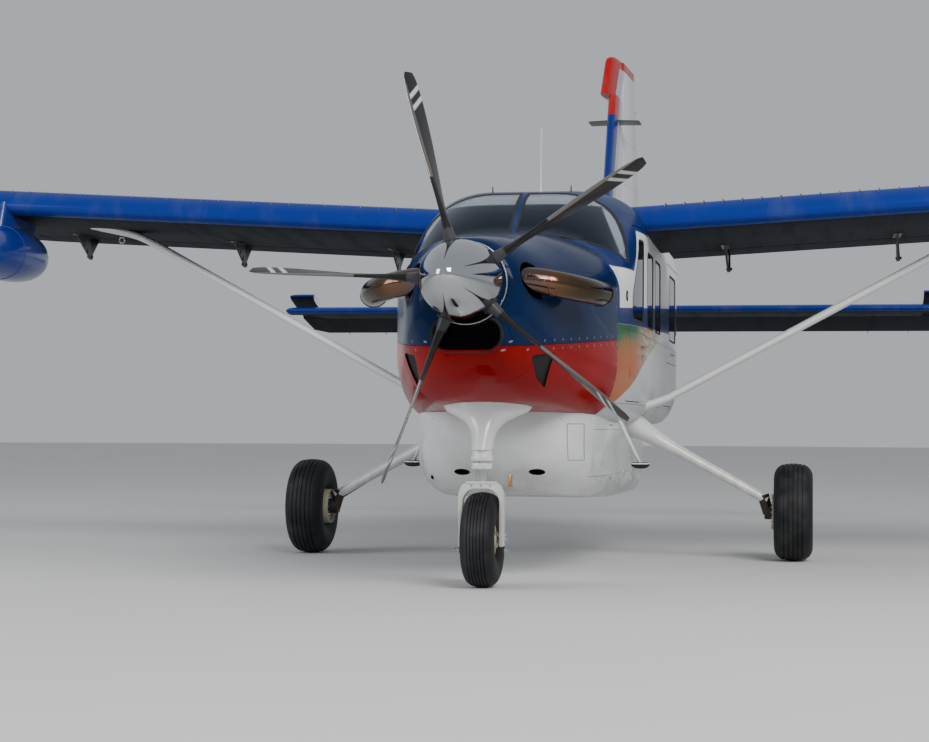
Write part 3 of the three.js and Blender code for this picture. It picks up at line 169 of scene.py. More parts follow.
class Wire:
    """A value that varies over a surface. Arithmetic on it adds Math nodes."""

    def __init__(self, graph: "Graph", socket: bpy.types.NodeSocket) -> None:
        """Wraps a node's output socket."""
        self.graph = graph
        self.socket = socket

    def math(self, operation: str, *values: "Amount") -> "Wire":
        """Returns the result of one Math node on the given values."""
        return self.graph.node("ShaderNodeMath", {"operation": operation}, dict(enumerate(values)))

    def __add__(self, other: "Amount") -> "Wire":
        """Returns the sum."""
        return self.math("ADD", self, other)

    __radd__ = __add__

    def __sub__(self, other: "Amount") -> "Wire":
        """Returns the difference."""
        return self.math("SUBTRACT", self, other)

    def __rsub__(self, other: "Amount") -> "Wire":
        """Returns the difference from a value on the left."""
        return self.math("SUBTRACT", other, self)

    def __mul__(self, other: "Amount") -> "Wire":
        """Returns the product."""
        return self.math("MULTIPLY", self, other)

    __rmul__ = __mul__

    def __truediv__(self, other: "Amount") -> "Wire":
        """Returns the quotient."""
        return self.math("DIVIDE", self, other)

    def __pow__(self, other: "Amount") -> "Wire":
        """Returns the power."""
        return self.math("POWER", self, other)

    def __abs__(self) -> "Wire":
        """Returns the value without its sign."""
        return self.math("ABSOLUTE", self)

    def least(self, other: "Amount") -> "Wire":
        """Returns the smaller of two values."""
        return self.math("MINIMUM", self, other)

    def most(self, other: "Amount") -> "Wire":
        """Returns the larger of two values."""
        return self.math("MAXIMUM", self, other)

    def fraction(self) -> "Wire":
        """Returns what is left past the whole number."""
        return self.math("FRACT", self)

    def rising(self, start: "Amount", end: "Amount") -> "Wire":
        """Returns 0 before start, 1 past end and a soft step between."""
        inputs = {"Value": self, "From Min": start, "From Max": end}
        return self.graph.node("ShaderNodeMapRange", {"interpolation_type": "SMOOTHSTEP"}, inputs)

    def within(self, low: "Amount", high: "Amount", soft: float) -> "Wire":
        """Returns 1 between two limits, with soft edges."""
        return self.rising(low - soft, low + soft) * (1 - self.rising(high - soft, high + soft))

    def near(self, places: Iterable[float], half: float) -> "Wire":
        """Returns 1 at each of the places, falling to 0 at half a line's width."""
        return 1 - self.gap(places).rising(half * 0.4, half)

    def gap(self, places: Iterable[float]) -> "Wire":
        """Returns the distance to the nearest of the places."""
        return reduce(Wire.least, [abs(self - place) for place in places])

    def comb(self, pitch: float) -> "Wire":
        """Returns the distance to the nearest of evenly pitched places."""
        return abs((self / pitch).fraction() - 0.5) * pitch


Amount = Union[Wire, float]
Colour = Union[Wire, tuple[float, float, float]]


class Graph:
    """The node tree of one material."""

    def __init__(self, name: str) -> None:
        """Starts an empty tree with wires for the point, its coordinates and its station.

        Args:
            name: The material's name.
        """
        self.material = bpy.data.materials.new(name)
        self.material.use_nodes = True
        self.tree = self.material.node_tree
        self.tree.nodes.clear()
        self.object_point = self.node("ShaderNodeTexCoord", output="Object")
        parts = self.node("ShaderNodeSeparateXYZ", inputs={"Vector": self.object_point}).socket.node
        self.x, self.y, self.z = (Wire(self, parts.outputs[i]) for i in range(3))
        self.station = self.y - STATION_ZERO

    @staticmethod
    def _socket(sockets: bpy.types.bpy_prop_collection, key: Union[int, str]) -> bpy.types.NodeSocket:
        """Finds a socket.

        Args:
            sockets: A node's inputs or outputs.
            key: The socket's place, identifier or name.

        Returns:
            The socket.
        """
        if isinstance(key, int):
            return sockets[key]
        found = [s for s in sockets if s.identifier == key] or [s for s in sockets if s.name == key and s.enabled]
        return found[0]

    def node(self, kind: str, settings: Optional[dict] = None, inputs: Optional[dict] = None,
             output: Union[int, str] = 0) -> Wire:
        """Adds one node.

        Args:
            kind: The node's type.
            settings: Its own settings; "stops" holds a ramp's places and colours.
            inputs: Values or wires by socket.
            output: The socket that is returned.

        Returns:
            The wire from that socket.
        """
        made = self.tree.nodes.new(kind)
        for name, value in (settings or {}).items():
            if name == "stops":
                ramp = made.color_ramp
                while len(ramp.elements) < len(value):
                    ramp.elements.new(0.5)
                for element, (place, colour) in zip(ramp.elements, value):
                    element.position = place
                    element.color = (*colour, 1)
            else:
                setattr(made, name, value)
        for key, value in (inputs or {}).items():
            socket = self._socket(made.inputs, key)
            if isinstance(value, Wire):
                self.tree.links.new(value.socket, socket)
            elif isinstance(value, tuple) and len(value) == 3 and socket.type == "RGBA":
                socket.default_value = (*value, 1)
            else:
                socket.default_value = value
        return Wire(self, self._socket(made.outputs, output))

    def mix(self, share: Amount, first: Colour, second: Colour) -> Wire:
        """Returns the colour between two, by a share."""
        inputs = {"Factor_Float": share, "A_Color": first, "B_Color": second}
        return self.node("ShaderNodeMix", {"data_type": "RGBA"}, inputs, "Result_Color")

    def shaded(self, colour: Colour, share: Amount) -> Wire:
        """Returns a colour darkened towards black by a share."""
        return self.mix(share, colour, (0.0, 0.0, 0.0))

    def ramp(self, value: Amount, stops: Sequence[tuple[float, tuple[float, float, float]]]) -> Wire:
        """Returns the colour that a ramp holds for a value."""
        return self.node("ShaderNodeValToRGB", {"stops": stops}, {"Fac": value})

    def noise(self, scale: float, detail: float, stretch: tuple[float, float, float] = (1, 1, 1)) -> Wire:
        """Returns a cloudy value around a half, stretched along the axes."""
        point = self.node("ShaderNodeMapping", inputs={"Vector": self.object_point, "Scale": stretch})
        return self.node("ShaderNodeTexNoise", inputs={"Vector": point, "Scale": scale, "Detail": detail})

    def dots(self, along: Wire, across: Wire, pitch: float, rows: Iterable[float], radius: float) -> Wire:
        """Returns 1 on the heads of evenly pitched rivets that stand in rows."""
        reach = (along.comb(pitch) ** 2 + across.gap(rows) ** 2) ** 0.5
        return 1 - reach.rising(radius * 0.6, radius)

    def bump(self, height: Wire, depth: float) -> Wire:
        """Returns the normal of a relief of that depth in metres."""
        return self.node("ShaderNodeBump", inputs={"Height": height, "Distance": depth, "Strength": 1.0})

    def close(self, base: Colour, roughness: Amount, metallic: Amount = 0.0, normal: Optional[Wire] = None,
              **fixed: Union[float, tuple[float, float, float]]) -> None:
        """Ends the tree in a surface shader.

        Args:
            base: The base colour.
            roughness: The roughness.
            metallic: How far the surface is bare metal.
            normal: The normal of a relief.
            fixed: Further sockets with constant values, by name with underscores.
        """
        inputs: dict = {"Base Color": base, "Roughness": roughness, "Metallic": metallic}
        inputs.update({name.replace("_", " "): value for name, value in fixed.items()})
        if normal is not None:
            inputs["Normal"] = normal
        shader = self.node("ShaderNodeBsdfPrincipled", inputs=inputs, output="BSDF")
        output = self.tree.nodes.new("ShaderNodeOutputMaterial")
        self.tree.links.new(shader.socket, output.inputs["Surface"])


class Finish:
    """A finish: it lays its nodes once, under its own name."""

    laid: dict[str, bpy.types.Material] = {}
    name: str

    def material(self) -> bpy.types.Material:
        """Returns the material, made on first use."""
        if self.name not in Finish.laid:
            graph = Graph(self.name)
            self.lay(graph)
            Finish.laid[self.name] = graph.material
        return Finish.laid[self.name]

    def lay(self, graph: Graph) -> None:
        """Builds the material's nodes."""
        raise NotImplementedError


@dataclass(frozen=True)
class Enamel(Finish):
    """Gloss paint with a faint ripple and thin dust."""

    name: str
    colour: tuple[float, float, float]
    roughness: float = 0.16
    coat: float = 0.6
    dust: float = 0.12
    low_dirt: float = 0.0

    def lay(self, graph: Graph) -> None:
        """Builds paint that greys in clouds, and low down by low_dirt."""
        clouds = graph.noise(2.3, 5.0)
        dust = clouds.rising(0.42, 0.75) * self.dust
        if self.low_dirt:
            streaks = graph.noise(3.0, 6.0, (4, 4, 0.6))
            dust = dust + graph.z.rising(1.15, 0.35) * streaks.rising(0.35, 0.7) * self.low_dirt
        base = graph.mix(dust, self.colour, (0.33, 0.31, 0.27))
        ripple = graph.noise(38.0, 2.0)
        graph.close(base, dust * 0.8 + self.roughness, normal=graph.bump(ripple, 0.0002), Coat_Weight=self.coat,
                    Coat_Roughness=0.05)


@dataclass(frozen=True)
class BareMetal(Finish):
    """Bare metal with fine machining or polishing marks."""

    name: str
    colour: tuple[float, float, float]
    roughness: float = 0.2
    marks: float = 0.12

    def lay(self, graph: Graph) -> None:
        """Builds metal whose roughness varies in fine streaks."""
        streaks = graph.noise(22.0, 6.0, (1, 6, 1))
        smears = graph.noise(5.0, 4.0)
        base = graph.shaded(self.colour, smears.rising(0.5, 0.8) * 0.2)
        graph.close(base, streaks * self.marks + self.roughness, 1.0, graph.bump(streaks, 0.00015))


@dataclass(frozen=True)
class SpinnerPolish(Finish):
    """Mirror polish with faint rings round the shaft."""

    name: str = "spinner_polish"
    shaft_height: float = 1.796

    def lay(self, graph: Graph) -> None:
        """Builds polish with rings, haze and insect marks near the tip."""
        rings = graph.noise(60.0, 2.0, (0.02, 3.0, 0.02))
        haze = graph.noise(6.0, 5.0)
        specks = graph.noise(90.0, 2.0).rising(0.7, 0.74) * graph.station.rising(-0.7, -1.2)
        base = graph.mix(specks * 0.6, (0.5, 0.52, 0.54), (0.2, 0.18, 0.15))
        rough = haze.rising(0.35, 0.8) * 0.07 + 0.035 + specks * 0.3
        graph.close(base, rough, 1.0, graph.bump(rings, 0.00012))


@dataclass(frozen=True)
class FuselagePaint(Finish):
    """White cabin sides with a dark blue band, over a green and orange sweep that tapers to the tail."""

    name: str = "fuselage_paint"
    frame_stations: tuple[float, ...] = (0.96, 2.22, 2.92, 3.59, 4.1, 5.47, 5.73, 6.5, 7.25)
    stringer_heights: tuple[float, ...] = (1.13, 1.62, 2.46)

    def lay(self, graph: Graph) -> None:
        """Builds the pattern from stations and heights, then the seams, rivets and dust."""
        s, z = graph.station, graph.z
        wander = (graph.noise(1.7, 4.0, (0.2, 1, 1.6)) - 0.5) * 0.05
        band_top = s * 0.059 + 1.69
        band_low = s * 0.0285 + 1.615
        band = z.within(band_low, band_top, 0.004)
        edge = s * 0.4328 - s ** 2 * 0.0502 + 0.732
        strokes = graph.noise(9.0, 6.0, (0.5, 0.6, 5.0)) - 0.5
        heat = (band_low - z) * 2.6 + (graph.noise(3.2, 5.0) - 0.5) * 0.9 + wander * 3
        leaves = graph.ramp(heat, (
            (0.0, (0.014, 0.09, 0.04)), (0.2, (0.025, 0.12, 0.04)), (0.36, (0.26, 0.12, 0.014)),
            (0.6, (0.4, 0.09, 0.006)), (0.82, (0.37, 0.08, 0.01)), (1.0, (0.43, 0.13, 0.045))))
        tail = graph.mix(strokes.rising(-0.2, 0.2), (0.4, 0.16, 0.08), (0.42, 0.47, 0.4))
        leaves = graph.mix(s.rising(1.5, 2.3), leaves, tail)
        sweep = graph.mix(strokes.rising(0.16, 0.3) * 0.35, leaves, (0.6, 0.58, 0.5))
        below = (band_low - z).rising(-0.004, 0.004)
        over_edge = (z - edge + wander * 0.3).rising(-0.006, 0.006)
        base = graph.mix(below * (1 - over_edge), (0.77, 0.79, 0.79), (0.56, 0.59, 0.6))
        base = graph.mix(below * over_edge * s.rising(3.6, 2.9), base, sweep)
        base = graph.mix(band, base, (0.006, 0.022, 0.11))
        hood_and_roof_shade = (z - (s - 1.36) * 0.93 - 1.885).rising(-0.006, 0.006) * z.rising(2.02, 2.032)
        hood_and_roof_shade = hood_and_roof_shade * s.rising(1.93, 1.92)
        # Dark blue on the roof shoulder ahead of station 2.36, above height 2.33: partly the roof's blue paint, partly
        # painted shade from the wing root.
        hood_and_roof_shade = hood_and_roof_shade.most(z.rising(2.33, 2.34) * s.rising(2.36, 2.35)).most(z.rising(1.7, 1.71) * s.rising(0.967, 0.962))
        base = graph.mix(hood_and_roof_shade, base, (0.006, 0.022, 0.11))
        seams = s.near(self.frame_stations, 0.0022).most(z.near(self.stringer_heights, 0.002) * s.rising(1.0, 1.01))
        rivets = graph.dots(z, s, 0.05, [at + 0.014 for at in self.frame_stations], 0.0042)
        rows = graph.dots(s, z, 0.05, [at - 0.012 for at in self.stringer_heights], 0.0042)
        grime = graph.noise(2.6, 6.0, (1, 0.5, 2.0)).rising(0.45, 0.8) * (0.1 + z.rising(1.5, 1.0) * 0.25)
        base = graph.mix(grime, base, (0.3, 0.28, 0.24))
        base = graph.shaded(base, seams * 0.75)
        relief = (rivets.most(rows) * 0.35 - seams) * 1.0 + graph.noise(1.1, 2.0) * 0.5
        graph.close(base, grime * 0.5 + 0.28, normal=graph.bump(relief, 0.0016), Coat_Weight=0.07, Coat_Roughness=0.04,
                    Specular_IOR_Level=0.04)


@dataclass(frozen=True)
class CowlPaint(Finish):
    """Deep gloss paint with a row of quarter-turn screws along the parting line and the rear edge."""

    name: str
    colour: tuple[float, float, float]
    parting: float = 1.473
    parting_rise: float = 0.07
    rear: float = 0.9
    # strength of a painted warm sheen on the starboard side
    side_warmth: float = 0.0

    def lay(self, graph: Graph) -> None:
        """Builds the paint, a painted warm sheen on the starboard side if one is asked for, the screws and the seams of
        the side doors.
        """
        s, z = graph.station, graph.z
        screws = graph.dots(s, z - s * self.parting_rise, 0.12, (self.parting - 0.025, self.parting + 0.025), 0.008)
        screws = screws.most(graph.dots(z, s, 0.12, (self.rear - 0.025,), 0.008))
        seams = s.near((-0.33,), 0.0022)
        seams = seams.most(z.near((1.93,), 0.002) * s.rising(-0.33, -0.32) * abs(graph.x).rising(0.3, 0.31))
        clouds = graph.noise(1.6, 4.0)
        base = graph.mix(clouds.rising(0.4, 0.75) * 0.25, self.colour, tuple(c * 1.9 + 0.004 for c in self.colour))
        if self.side_warmth:
            # Painted warm sheen: the starboard side above height 1.2 turns bright orange in patches.
            glow = (graph.x * -1).rising(0.44, 0.66) * z.rising(1.2, 1.42) * graph.noise(4.0, 4.0).rising(0.3, 0.6)
            base = graph.mix(glow * self.side_warmth, base, (0.75, 0.2, 0.03))
        base = graph.mix(screws, base, (0.3, 0.3, 0.3))
        base = graph.shaded(base, seams * 0.8)
        dust = graph.noise(5.0, 6.0).rising(0.5, 0.85) * 0.12
        relief = (screws * 0.4 - seams) + graph.noise(1.3, 2.0) * 0.6
        graph.close(base, dust + 0.18, screws * 0.9, graph.bump(relief, 0.0016), Coat_Weight=0.13,
                    Coat_Roughness=0.03, Specular_IOR_Level=0.04)


@dataclass(frozen=True)
class WingPaint(Finish):
    """Royal blue nose and underside, white back, with ribs, rivets and flap stains."""

    name: str
    nose_line: float
    chord_height: float
    chord_slope: float
    dihedral: float
    nose_slope: float = 0.0
    nose_turn: float = 0.0
    upper_depth: float = 0.42
    lower_depth: float = 0.07
    rib_pitch: float = 0.46
    spar_lines: tuple[float, ...] = (0.5, 1.15)

    def lay(self, graph: Graph) -> None:
        """Builds the three fields from the distance behind the nose and the side of the chord."""
        out = abs(graph.x)
        nose = (out - self.nose_turn).most(0.0) * self.nose_slope + self.nose_line
        back = graph.station - nose
        chord = out * math.tan(self.dihedral) + self.chord_height - back * self.chord_slope
        under = (chord - graph.z).rising(-0.003, 0.003)
        upper_blue = back.rising(self.upper_depth + 0.003, self.upper_depth - 0.003)
        blue = graph.mix(graph.noise(1.4, 3.0) * 0.3, BLUE, tuple(c * 1.25 for c in BLUE))
        base = graph.mix(upper_blue.most(under), (0.7, 0.72, 0.73), blue)
        ribs = (out.comb(self.rib_pitch)).rising(0.0022, 0.0009)
        spars = back.near(self.spar_lines, 0.0022)
        seams = ribs.most(spars) * back.rising(0.08, 0.1)
        heads = graph.dots(graph.station, out.comb(self.rib_pitch), 0.05, (0.014,), 0.0042)
        heads = heads.most(graph.dots(out, back, 0.05, [at + 0.014 for at in self.spar_lines], 0.0042))
        grime = graph.noise(2.0, 6.0, (2.4, 0.35, 1.0)).rising(0.5, 0.85) * 0.22
        base = graph.mix(grime, base, (0.2, 0.19, 0.17))
        base = graph.shaded(base, seams * 0.7)
        relief = heads * 0.3 - seams + graph.noise(1.2, 2.0) * 0.4
        graph.close(base, grime * 0.5 + 0.26, normal=graph.bump(relief, 0.0014), Coat_Weight=0.12, Coat_Roughness=0.05,
                    Specular_IOR_Level=0.05)


@dataclass(frozen=True)
class UndersidePaint(Finish):
    """Near-black paint of a wing's underside, a painted shade, with rib lines, rivets and greenish streaks that are a
    painted reflection of the ground.
    """

    name: str
    rib_pitch: float = 0.46
    spar_stations: tuple[float, ...] = (2.7, 3.35, 7.43)

    def lay(self, graph: Graph) -> None:
        """Builds matt near-black paint, a painted shade, streaked fore and aft with a greenish painted reflection of
        the ground.
        """
        out = abs(graph.x)
        streaks = graph.noise(3.0, 6.0, (3.0, 0.35, 1.0)).rising(0.45, 0.8)
        clouds = graph.noise(1.1, 4.0).rising(0.4, 0.7)
        # The near-black base is painted shade; the greenish streak colour is a painted reflection of the ground.
        base = graph.mix(streaks * 0.6, (0.0035, 0.007, 0.015), (0.011, 0.017, 0.016))
        base = graph.mix(clouds * 0.35, base, (0.006, 0.014, 0.03))
        seams = out.comb(self.rib_pitch).rising(0.0022, 0.0009).most(graph.station.near(self.spar_stations, 0.0022))
        heads = graph.dots(graph.station, out.comb(self.rib_pitch), 0.05, (0.014,), 0.0042)
        base = graph.shaded(base, seams * 0.6)
        graph.close(base, streaks * 0.12 + 0.62, normal=graph.bump(heads * 0.3 - seams, 0.0014),
                    Specular_IOR_Level=0.12)


@dataclass(frozen=True)
class FinPaint(Finish):
    """White and pale grey sides, blue nose and red top."""

    name: str = "fin_paint"
    red_from: float = 4.08

    def lay(self, graph: Graph) -> None:
        """Builds the fields from the distance behind the sloping leading edge."""
        s, z = graph.station, graph.z
        back = s - (z - 3.1) * 0.568 - 6.74
        base = graph.mix(back.rising(0.5, 0.51), (0.46, 0.49, 0.56), (0.74, 0.76, 0.77))
        base = graph.mix(back.rising(0.262, 0.256), base, BLUE)
        top = (z - s * 0.05).rising(self.red_from - 0.405, self.red_from - 0.395)
        top = top * back.rising(0.3, 0.294).most(z.rising(4.6, 4.61))
        base = graph.mix(top, base, (0.46, 0.005, 0.006))
        seams = z.near((3.0, 3.45, 3.9), 0.002).most(back.near((0.258, 0.7), 0.002))
        rivets = graph.dots(s, z, 0.05, (3.014, 3.464, 3.914), 0.004)
        grime = graph.noise(2.4, 6.0, (1, 1, 0.4)).rising(0.5, 0.85) * 0.2
        base = graph.shaded(graph.mix(grime, base, (0.3, 0.29, 0.26)), seams * 0.7)
        relief = rivets * 0.3 - seams
        graph.close(base, grime * 0.5 + 0.22, normal=graph.bump(relief, 0.0014), Coat_Weight=0.1, Coat_Roughness=0.05,
                    Specular_IOR_Level=0.08)


@dataclass(frozen=True)
class PodPaint(Finish):
    """Pale grey paint with panel outlines, screw rows, belly dirt and tyre spray."""

    name: str = "pod_paint"

    def lay(self, graph: Graph) -> None:
        """Builds the outlines of the front access panel and the port doors, then the dirt."""
        s, z, x = graph.station, graph.z, graph.x
        seams = s.near((0.87, 1.38, 1.5, 2.72, 2.76, 4.05), 0.003) * z.within(0.65, 0.955, 0.004)
        seams = seams.most(z.near((0.65, 0.955), 0.003) * s.within(0.87, 4.05, 0.004))
        front = x.near((0.445, 0.53), 0.003) * z.within(0.76, 0.99, 0.004) * s.rising(1.0, 0.99)
        front = front.most(z.near((0.76, 0.99), 0.003) * x.within(0.445, 0.53, 0.004) * s.rising(1.0, 0.99))
        seams = seams.most(front)
        screws = graph.dots(s, z, 0.11, (1.02, 0.56), 0.006)
        spray = graph.noise(4.0, 7.0, (1.0, 0.6, 1.4)).rising(0.4, 0.78) * (0.12 + z.rising(0.95, 0.5) * 0.42)
        soot = s.rising(2.4, 4.6) * abs(x).rising(0.5, 0.1) * graph.noise(2.0, 5.0).rising(0.35, 0.7) * 0.3
        specks = graph.noise(120.0, 2.0).rising(0.72, 0.76) * 0.5
        base = graph.mix(spray.most(soot).most(specks), (0.66, 0.68, 0.68), (0.16, 0.14, 0.11))
        base = graph.shaded(base, (seams * 0.65).most(screws * 0.4))
        relief = graph.noise(1.5, 2.0) * 0.5 - seams - screws * 0.3
        graph.close(base, spray * 0.6 + 0.2, normal=graph.bump(relief, 0.0016), Coat_Weight=0.35, Coat_Roughness=0.08)


@dataclass(frozen=True)
class BladeFinish(Finish):
    """Dark composite blade with a bare metal leading edge and two white tip stripes."""

    name: str = "blade_finish"
    shaft_height: float = 1.796
    plane_station: float = -0.781

    def lay(self, graph: Graph) -> None:
        """Builds the zones from the radius round the shaft and the place along it."""
        radius = (graph.x ** 2 + (graph.z - self.shaft_height) ** 2) ** 0.5
        forward = (self.plane_station - graph.station)
        slanted = radius + forward * 0.55
        stripes = slanted.near((1.045, 1.115), 0.02)
        guard = (forward - 0.06).rising(-0.001, 0.001) * radius.rising(0.6, 0.61)
        weave = graph.noise(140.0, 3.0, (1, 0.25, 1))
        scuffs = graph.noise(14.0, 6.0, (1, 2.5, 1)).rising(0.5, 0.8)
        base = graph.mix(scuffs * 0.35, (0.011, 0.011, 0.012), (0.05, 0.045, 0.042))
        base = graph.mix(stripes * 0.9, base, (0.62, 0.63, 0.64))
        base = graph.mix(guard, base, (0.24, 0.22, 0.21))
        collar = radius.rising(0.31, 0.3)
        base = graph.mix(collar, base, (0.05, 0.05, 0.055))
        graph.close(base, scuffs * 0.2 + 0.3, guard * 0.9, graph.bump(weave + scuffs * 0.5, 0.0002),
                    Coat_Weight=0.1, Coat_Roughness=0.1, Specular_IOR_Level=0.15)


@dataclass(frozen=True)
class StackSteel(Finish):
    """Polished steel of an exhaust stack, heat-tinted bronze, straw and violet, sooty at the mouth."""

    name: str = "stack_steel"

    def lay(self, graph: Graph) -> None:
        """Builds the tint from the distance out along the stack."""
        out = abs(graph.x)
        heat = out.rising(0.2, 0.75) + (graph.noise(5.0, 5.0) - 0.5) * 0.5
        tint = graph.ramp(heat, (
            (0.0, (0.1, 0.1, 0.12)), (0.25, (0.16, 0.1, 0.085)), (0.5, (0.19, 0.1, 0.062)),
            (0.75, (0.11, 0.07, 0.04)), (1.0, (0.07, 0.05, 0.03))))
        soot = (graph.station + out * 0.3).rising(0.24, 0.33) * graph.noise(8.0, 5.0).rising(0.25, 0.6)
        pits = graph.noise(45.0, 5.0).rising(0.62, 0.7) * 0.5
        base = graph.mix(soot.most(pits), tint, (0.05, 0.035, 0.025))
        weld = out.near((0.46,), 0.006)
        graph.close(base, soot * 0.4 + pits * 0.3 + 0.13, 1.0 - soot * 0.4, graph.bump(weld + pits, 0.0012))


@dataclass(frozen=True)
class Acrylic(Finish):
    """Clear window acrylic with a light tint and fine wiping marks."""

    name: str
    tint: tuple[float, float, float] = (0.12, 0.2, 0.27)
    # height above which the windscreen glass is paler, for a painted reflection of the sky
    band: Optional[float] = None
    gleam: tuple[float, float, float] = (1.0, 1.0, 1.0)

    def lay(self, graph: Graph) -> None:
        """Builds slightly hazed, tinted glass; where it has a band, it is paler above that height and at the sides, for
        a painted reflection of the sky.
        """
        wipes = graph.noise(9.0, 5.0, (0.4, 1.0, 2.0))
        base = graph.mix(wipes.rising(0.55, 0.85) * 0.2, self.tint, (0.42, 0.5, 0.54))
        if self.band is not None:
            # Above the band and at the sides the glass is paler, so the pale strip behind shows through: a painted
            # reflection of the sky.
            beside = (abs(graph.x) + (graph.z - self.band) * 0.46 - 0.53).rising(0.0, 0.006)
            base = graph.mix(graph.z.rising(self.band, self.band + 0.006).most(beside), base, (0.85, 0.9, 0.95))
        graph.close(base, wipes.rising(0.6, 0.9) * 0.04 + 0.015, normal=graph.bump(wipes, 0.00008),
                    Transmission_Weight=1.0, IOR=1.45, Specular_IOR_Level=0.3, Specular_Tint=self.gleam)


@dataclass(frozen=True)
class TyreRubber(Finish):
    """Black rubber, dusty on the tread, with a faint sidewall grain."""

    name: str
    hub_station: float
    hub_height: float
    radius: float

    def lay(self, graph: Graph) -> None:
        """Builds the dust from the radius round the axle."""
        out = ((graph.station - self.hub_station) ** 2 + (graph.z - self.hub_height) ** 2) ** 0.5
        tread = out.rising(self.radius * 0.9, self.radius * 0.97)
        grain = graph.noise(160.0, 4.0)
        dust = graph.noise(7.0, 6.0).rising(0.4, 0.8)
        base = graph.mix(dust * (tread * 0.18 + 0.08), (0.008, 0.009, 0.011), (0.13, 0.13, 0.13))
        rings = out.near((self.radius * 0.62, self.radius * 0.8), 0.003)
        graph.close(base, dust * 0.12 + 0.6, normal=graph.bump(grain * 0.4 + rings, 0.001), Specular_IOR_Level=0.3)


@dataclass(frozen=True)
class Leather(Finish):
    """Dark leather with a pebbled grain and worn crowns."""

    name: str = "seat_leather"
    colour: tuple[float, float, float] = (0.035, 0.04, 0.052)

    def lay(self, graph: Graph) -> None:
        """Builds the grain from cells and the wear from clouds."""
        cells = graph.node("ShaderNodeTexVoronoi", inputs={"Vector": graph.object_point, "Scale": 260.0})
        wear = graph.noise(7.0, 5.0).rising(0.5, 0.8)
        base = graph.mix(wear * 0.5, self.colour, tuple(c * 2.2 + 0.01 for c in self.colour))
        graph.close(base, 0.5 - wear * 0.12, normal=graph.bump(cells + graph.noise(30.0, 3.0) * 0.8, 0.0006))


@dataclass(frozen=True)
class Trim(Finish):
    """Moulded or woven matt trim."""

    name: str
    colour: tuple[float, float, float]
    roughness: float = 0.7
    grain: float = 220.0
    metallic: float = 0.0

    def lay(self, graph: Graph) -> None:
        """Builds a fine grain with light scuffs."""
        fine = graph.noise(self.grain, 3.0)
        scuffs = graph.noise(8.0, 6.0).rising(0.5, 0.85)
        base = graph.mix(scuffs * 0.3, self.colour, tuple(min(c * 1.7 + 0.012, 1.0) for c in self.colour))
        graph.close(base, self.roughness - scuffs * 0.12, self.metallic, graph.bump(fine, 0.0004))


@dataclass(frozen=True)
class Display(Finish):
    """Dark glass of an instrument display with faint glowing bars."""

    name: str = "panel_display"

    def lay(self, graph: Graph) -> None:
        """Builds a few pale bars on black glass."""
        bars = graph.z.comb(0.055).rising(0.004, 0.002) * graph.x.comb(0.12).rising(0.045, 0.03)
        base = graph.mix(bars * 0.5, (0.006, 0.008, 0.012), (0.05, 0.16, 0.22))
        graph.close(base, graph.noise(12.0, 4.0) * 0.1 + 0.06, Coat_Weight=0.8)


@dataclass(frozen=True)
class Lamp(Finish):
    """Clear or coloured lamp cover."""

    name: str
    colour: tuple[float, float, float]

    def lay(self, graph: Graph) -> None:
        """Builds a ribbed, half-clear cover."""
        ribs = graph.z.comb(0.008).rising(0.0, 0.004)
        base = graph.shaded(self.colour, ribs * 0.3)
        graph.close(base, ribs * 0.05 + 0.06, normal=graph.bump(ribs, 0.0006), Transmission_Weight=0.6, IOR=1.45)


NAVY = (0.003, 0.014, 0.055)
BLUE = (0.006, 0.027, 0.21)
RED = (0.23, 0.002, 0.003)
WHITE = (0.74, 0.755, 0.75)
WHITE_PAINT = Enamel("white_enamel", WHITE, low_dirt=0.5)
BLACK_PAINT = Enamel("black_enamel", (0.012, 0.012, 0.014), roughness=0.35, coat=0.1)
CREAM_PAINT = Enamel("wheel_cream", (0.56, 0.5, 0.36), roughness=0.3, coat=0.2, dust=0.4)
RUBBER_SEAL = Trim("rubber_seal", (0.012, 0.012, 0.013), 0.75)
# Near-black for dark fittings, soot in the stack bores, and the insides of openings (intake duct, scoops, stack wells,
# pod inlets), where it is painted shade.
BLACK_AND_SHADE = Trim("black_and_shade", (0.006, 0.006, 0.006), 0.85, 60.0)
CABIN_TRIM = Trim("cabin_trim", (0.26, 0.265, 0.27), 0.85, 300.0)
CARPET = Trim("cabin_carpet", (0.045, 0.05, 0.058), 0.95, 420.0)
STEEL = BareMetal("bare_steel", (0.5, 0.51, 0.53), 0.25)
CHROME = BareMetal("piston_chrome", (0.82, 0.83, 0.85), 0.06, 0.04)
COPPER = BareMetal("drain_copper", (0.55, 0.27, 0.12), 0.3)
CASTING = Trim("engine_casting", (0.16, 0.165, 0.17), 0.5, 40.0, 0.8)
BRAKE_METAL = Trim("brake_metal", (0.05, 0.042, 0.035), 0.5, 60.0, 0.5)
PANEL_PLASTIC = Trim("panel_plastic", (0.016, 0.018, 0.02), 0.6, 260.0)
GLASS = Acrylic("window_acrylic")
# The windscreen's pale top band and side columns, with the pale strip behind them, are a painted reflection of the sky.
WINDSCREEN = Acrylic("windscreen_acrylic", (0.045, 0.1, 0.2), 2.478, (0.35, 0.62, 1.0))
SKY_REFLECTION_BAND = Trim("sky_reflection_band", (0.42, 0.48, 0.52), 0.8, 500.0)
WING_PAINT = WingPaint("wing_paint", 2.204, 2.385, 0.0528, math.radians(3.25), nose_slope=0.085, nose_turn=4.4)
# Near-black underside finish for the wings and the tailplane: painted shade.
WING_UNDERSIDE_SHADE = UndersidePaint("wing_underside")
STAB_PAINT = WingPaint("tailplane_paint", 7.13, 2.119, 0.0, 0.0, upper_depth=0.2, lower_depth=0.05,
                       rib_pitch=0.38, spar_lines=(0.3,))


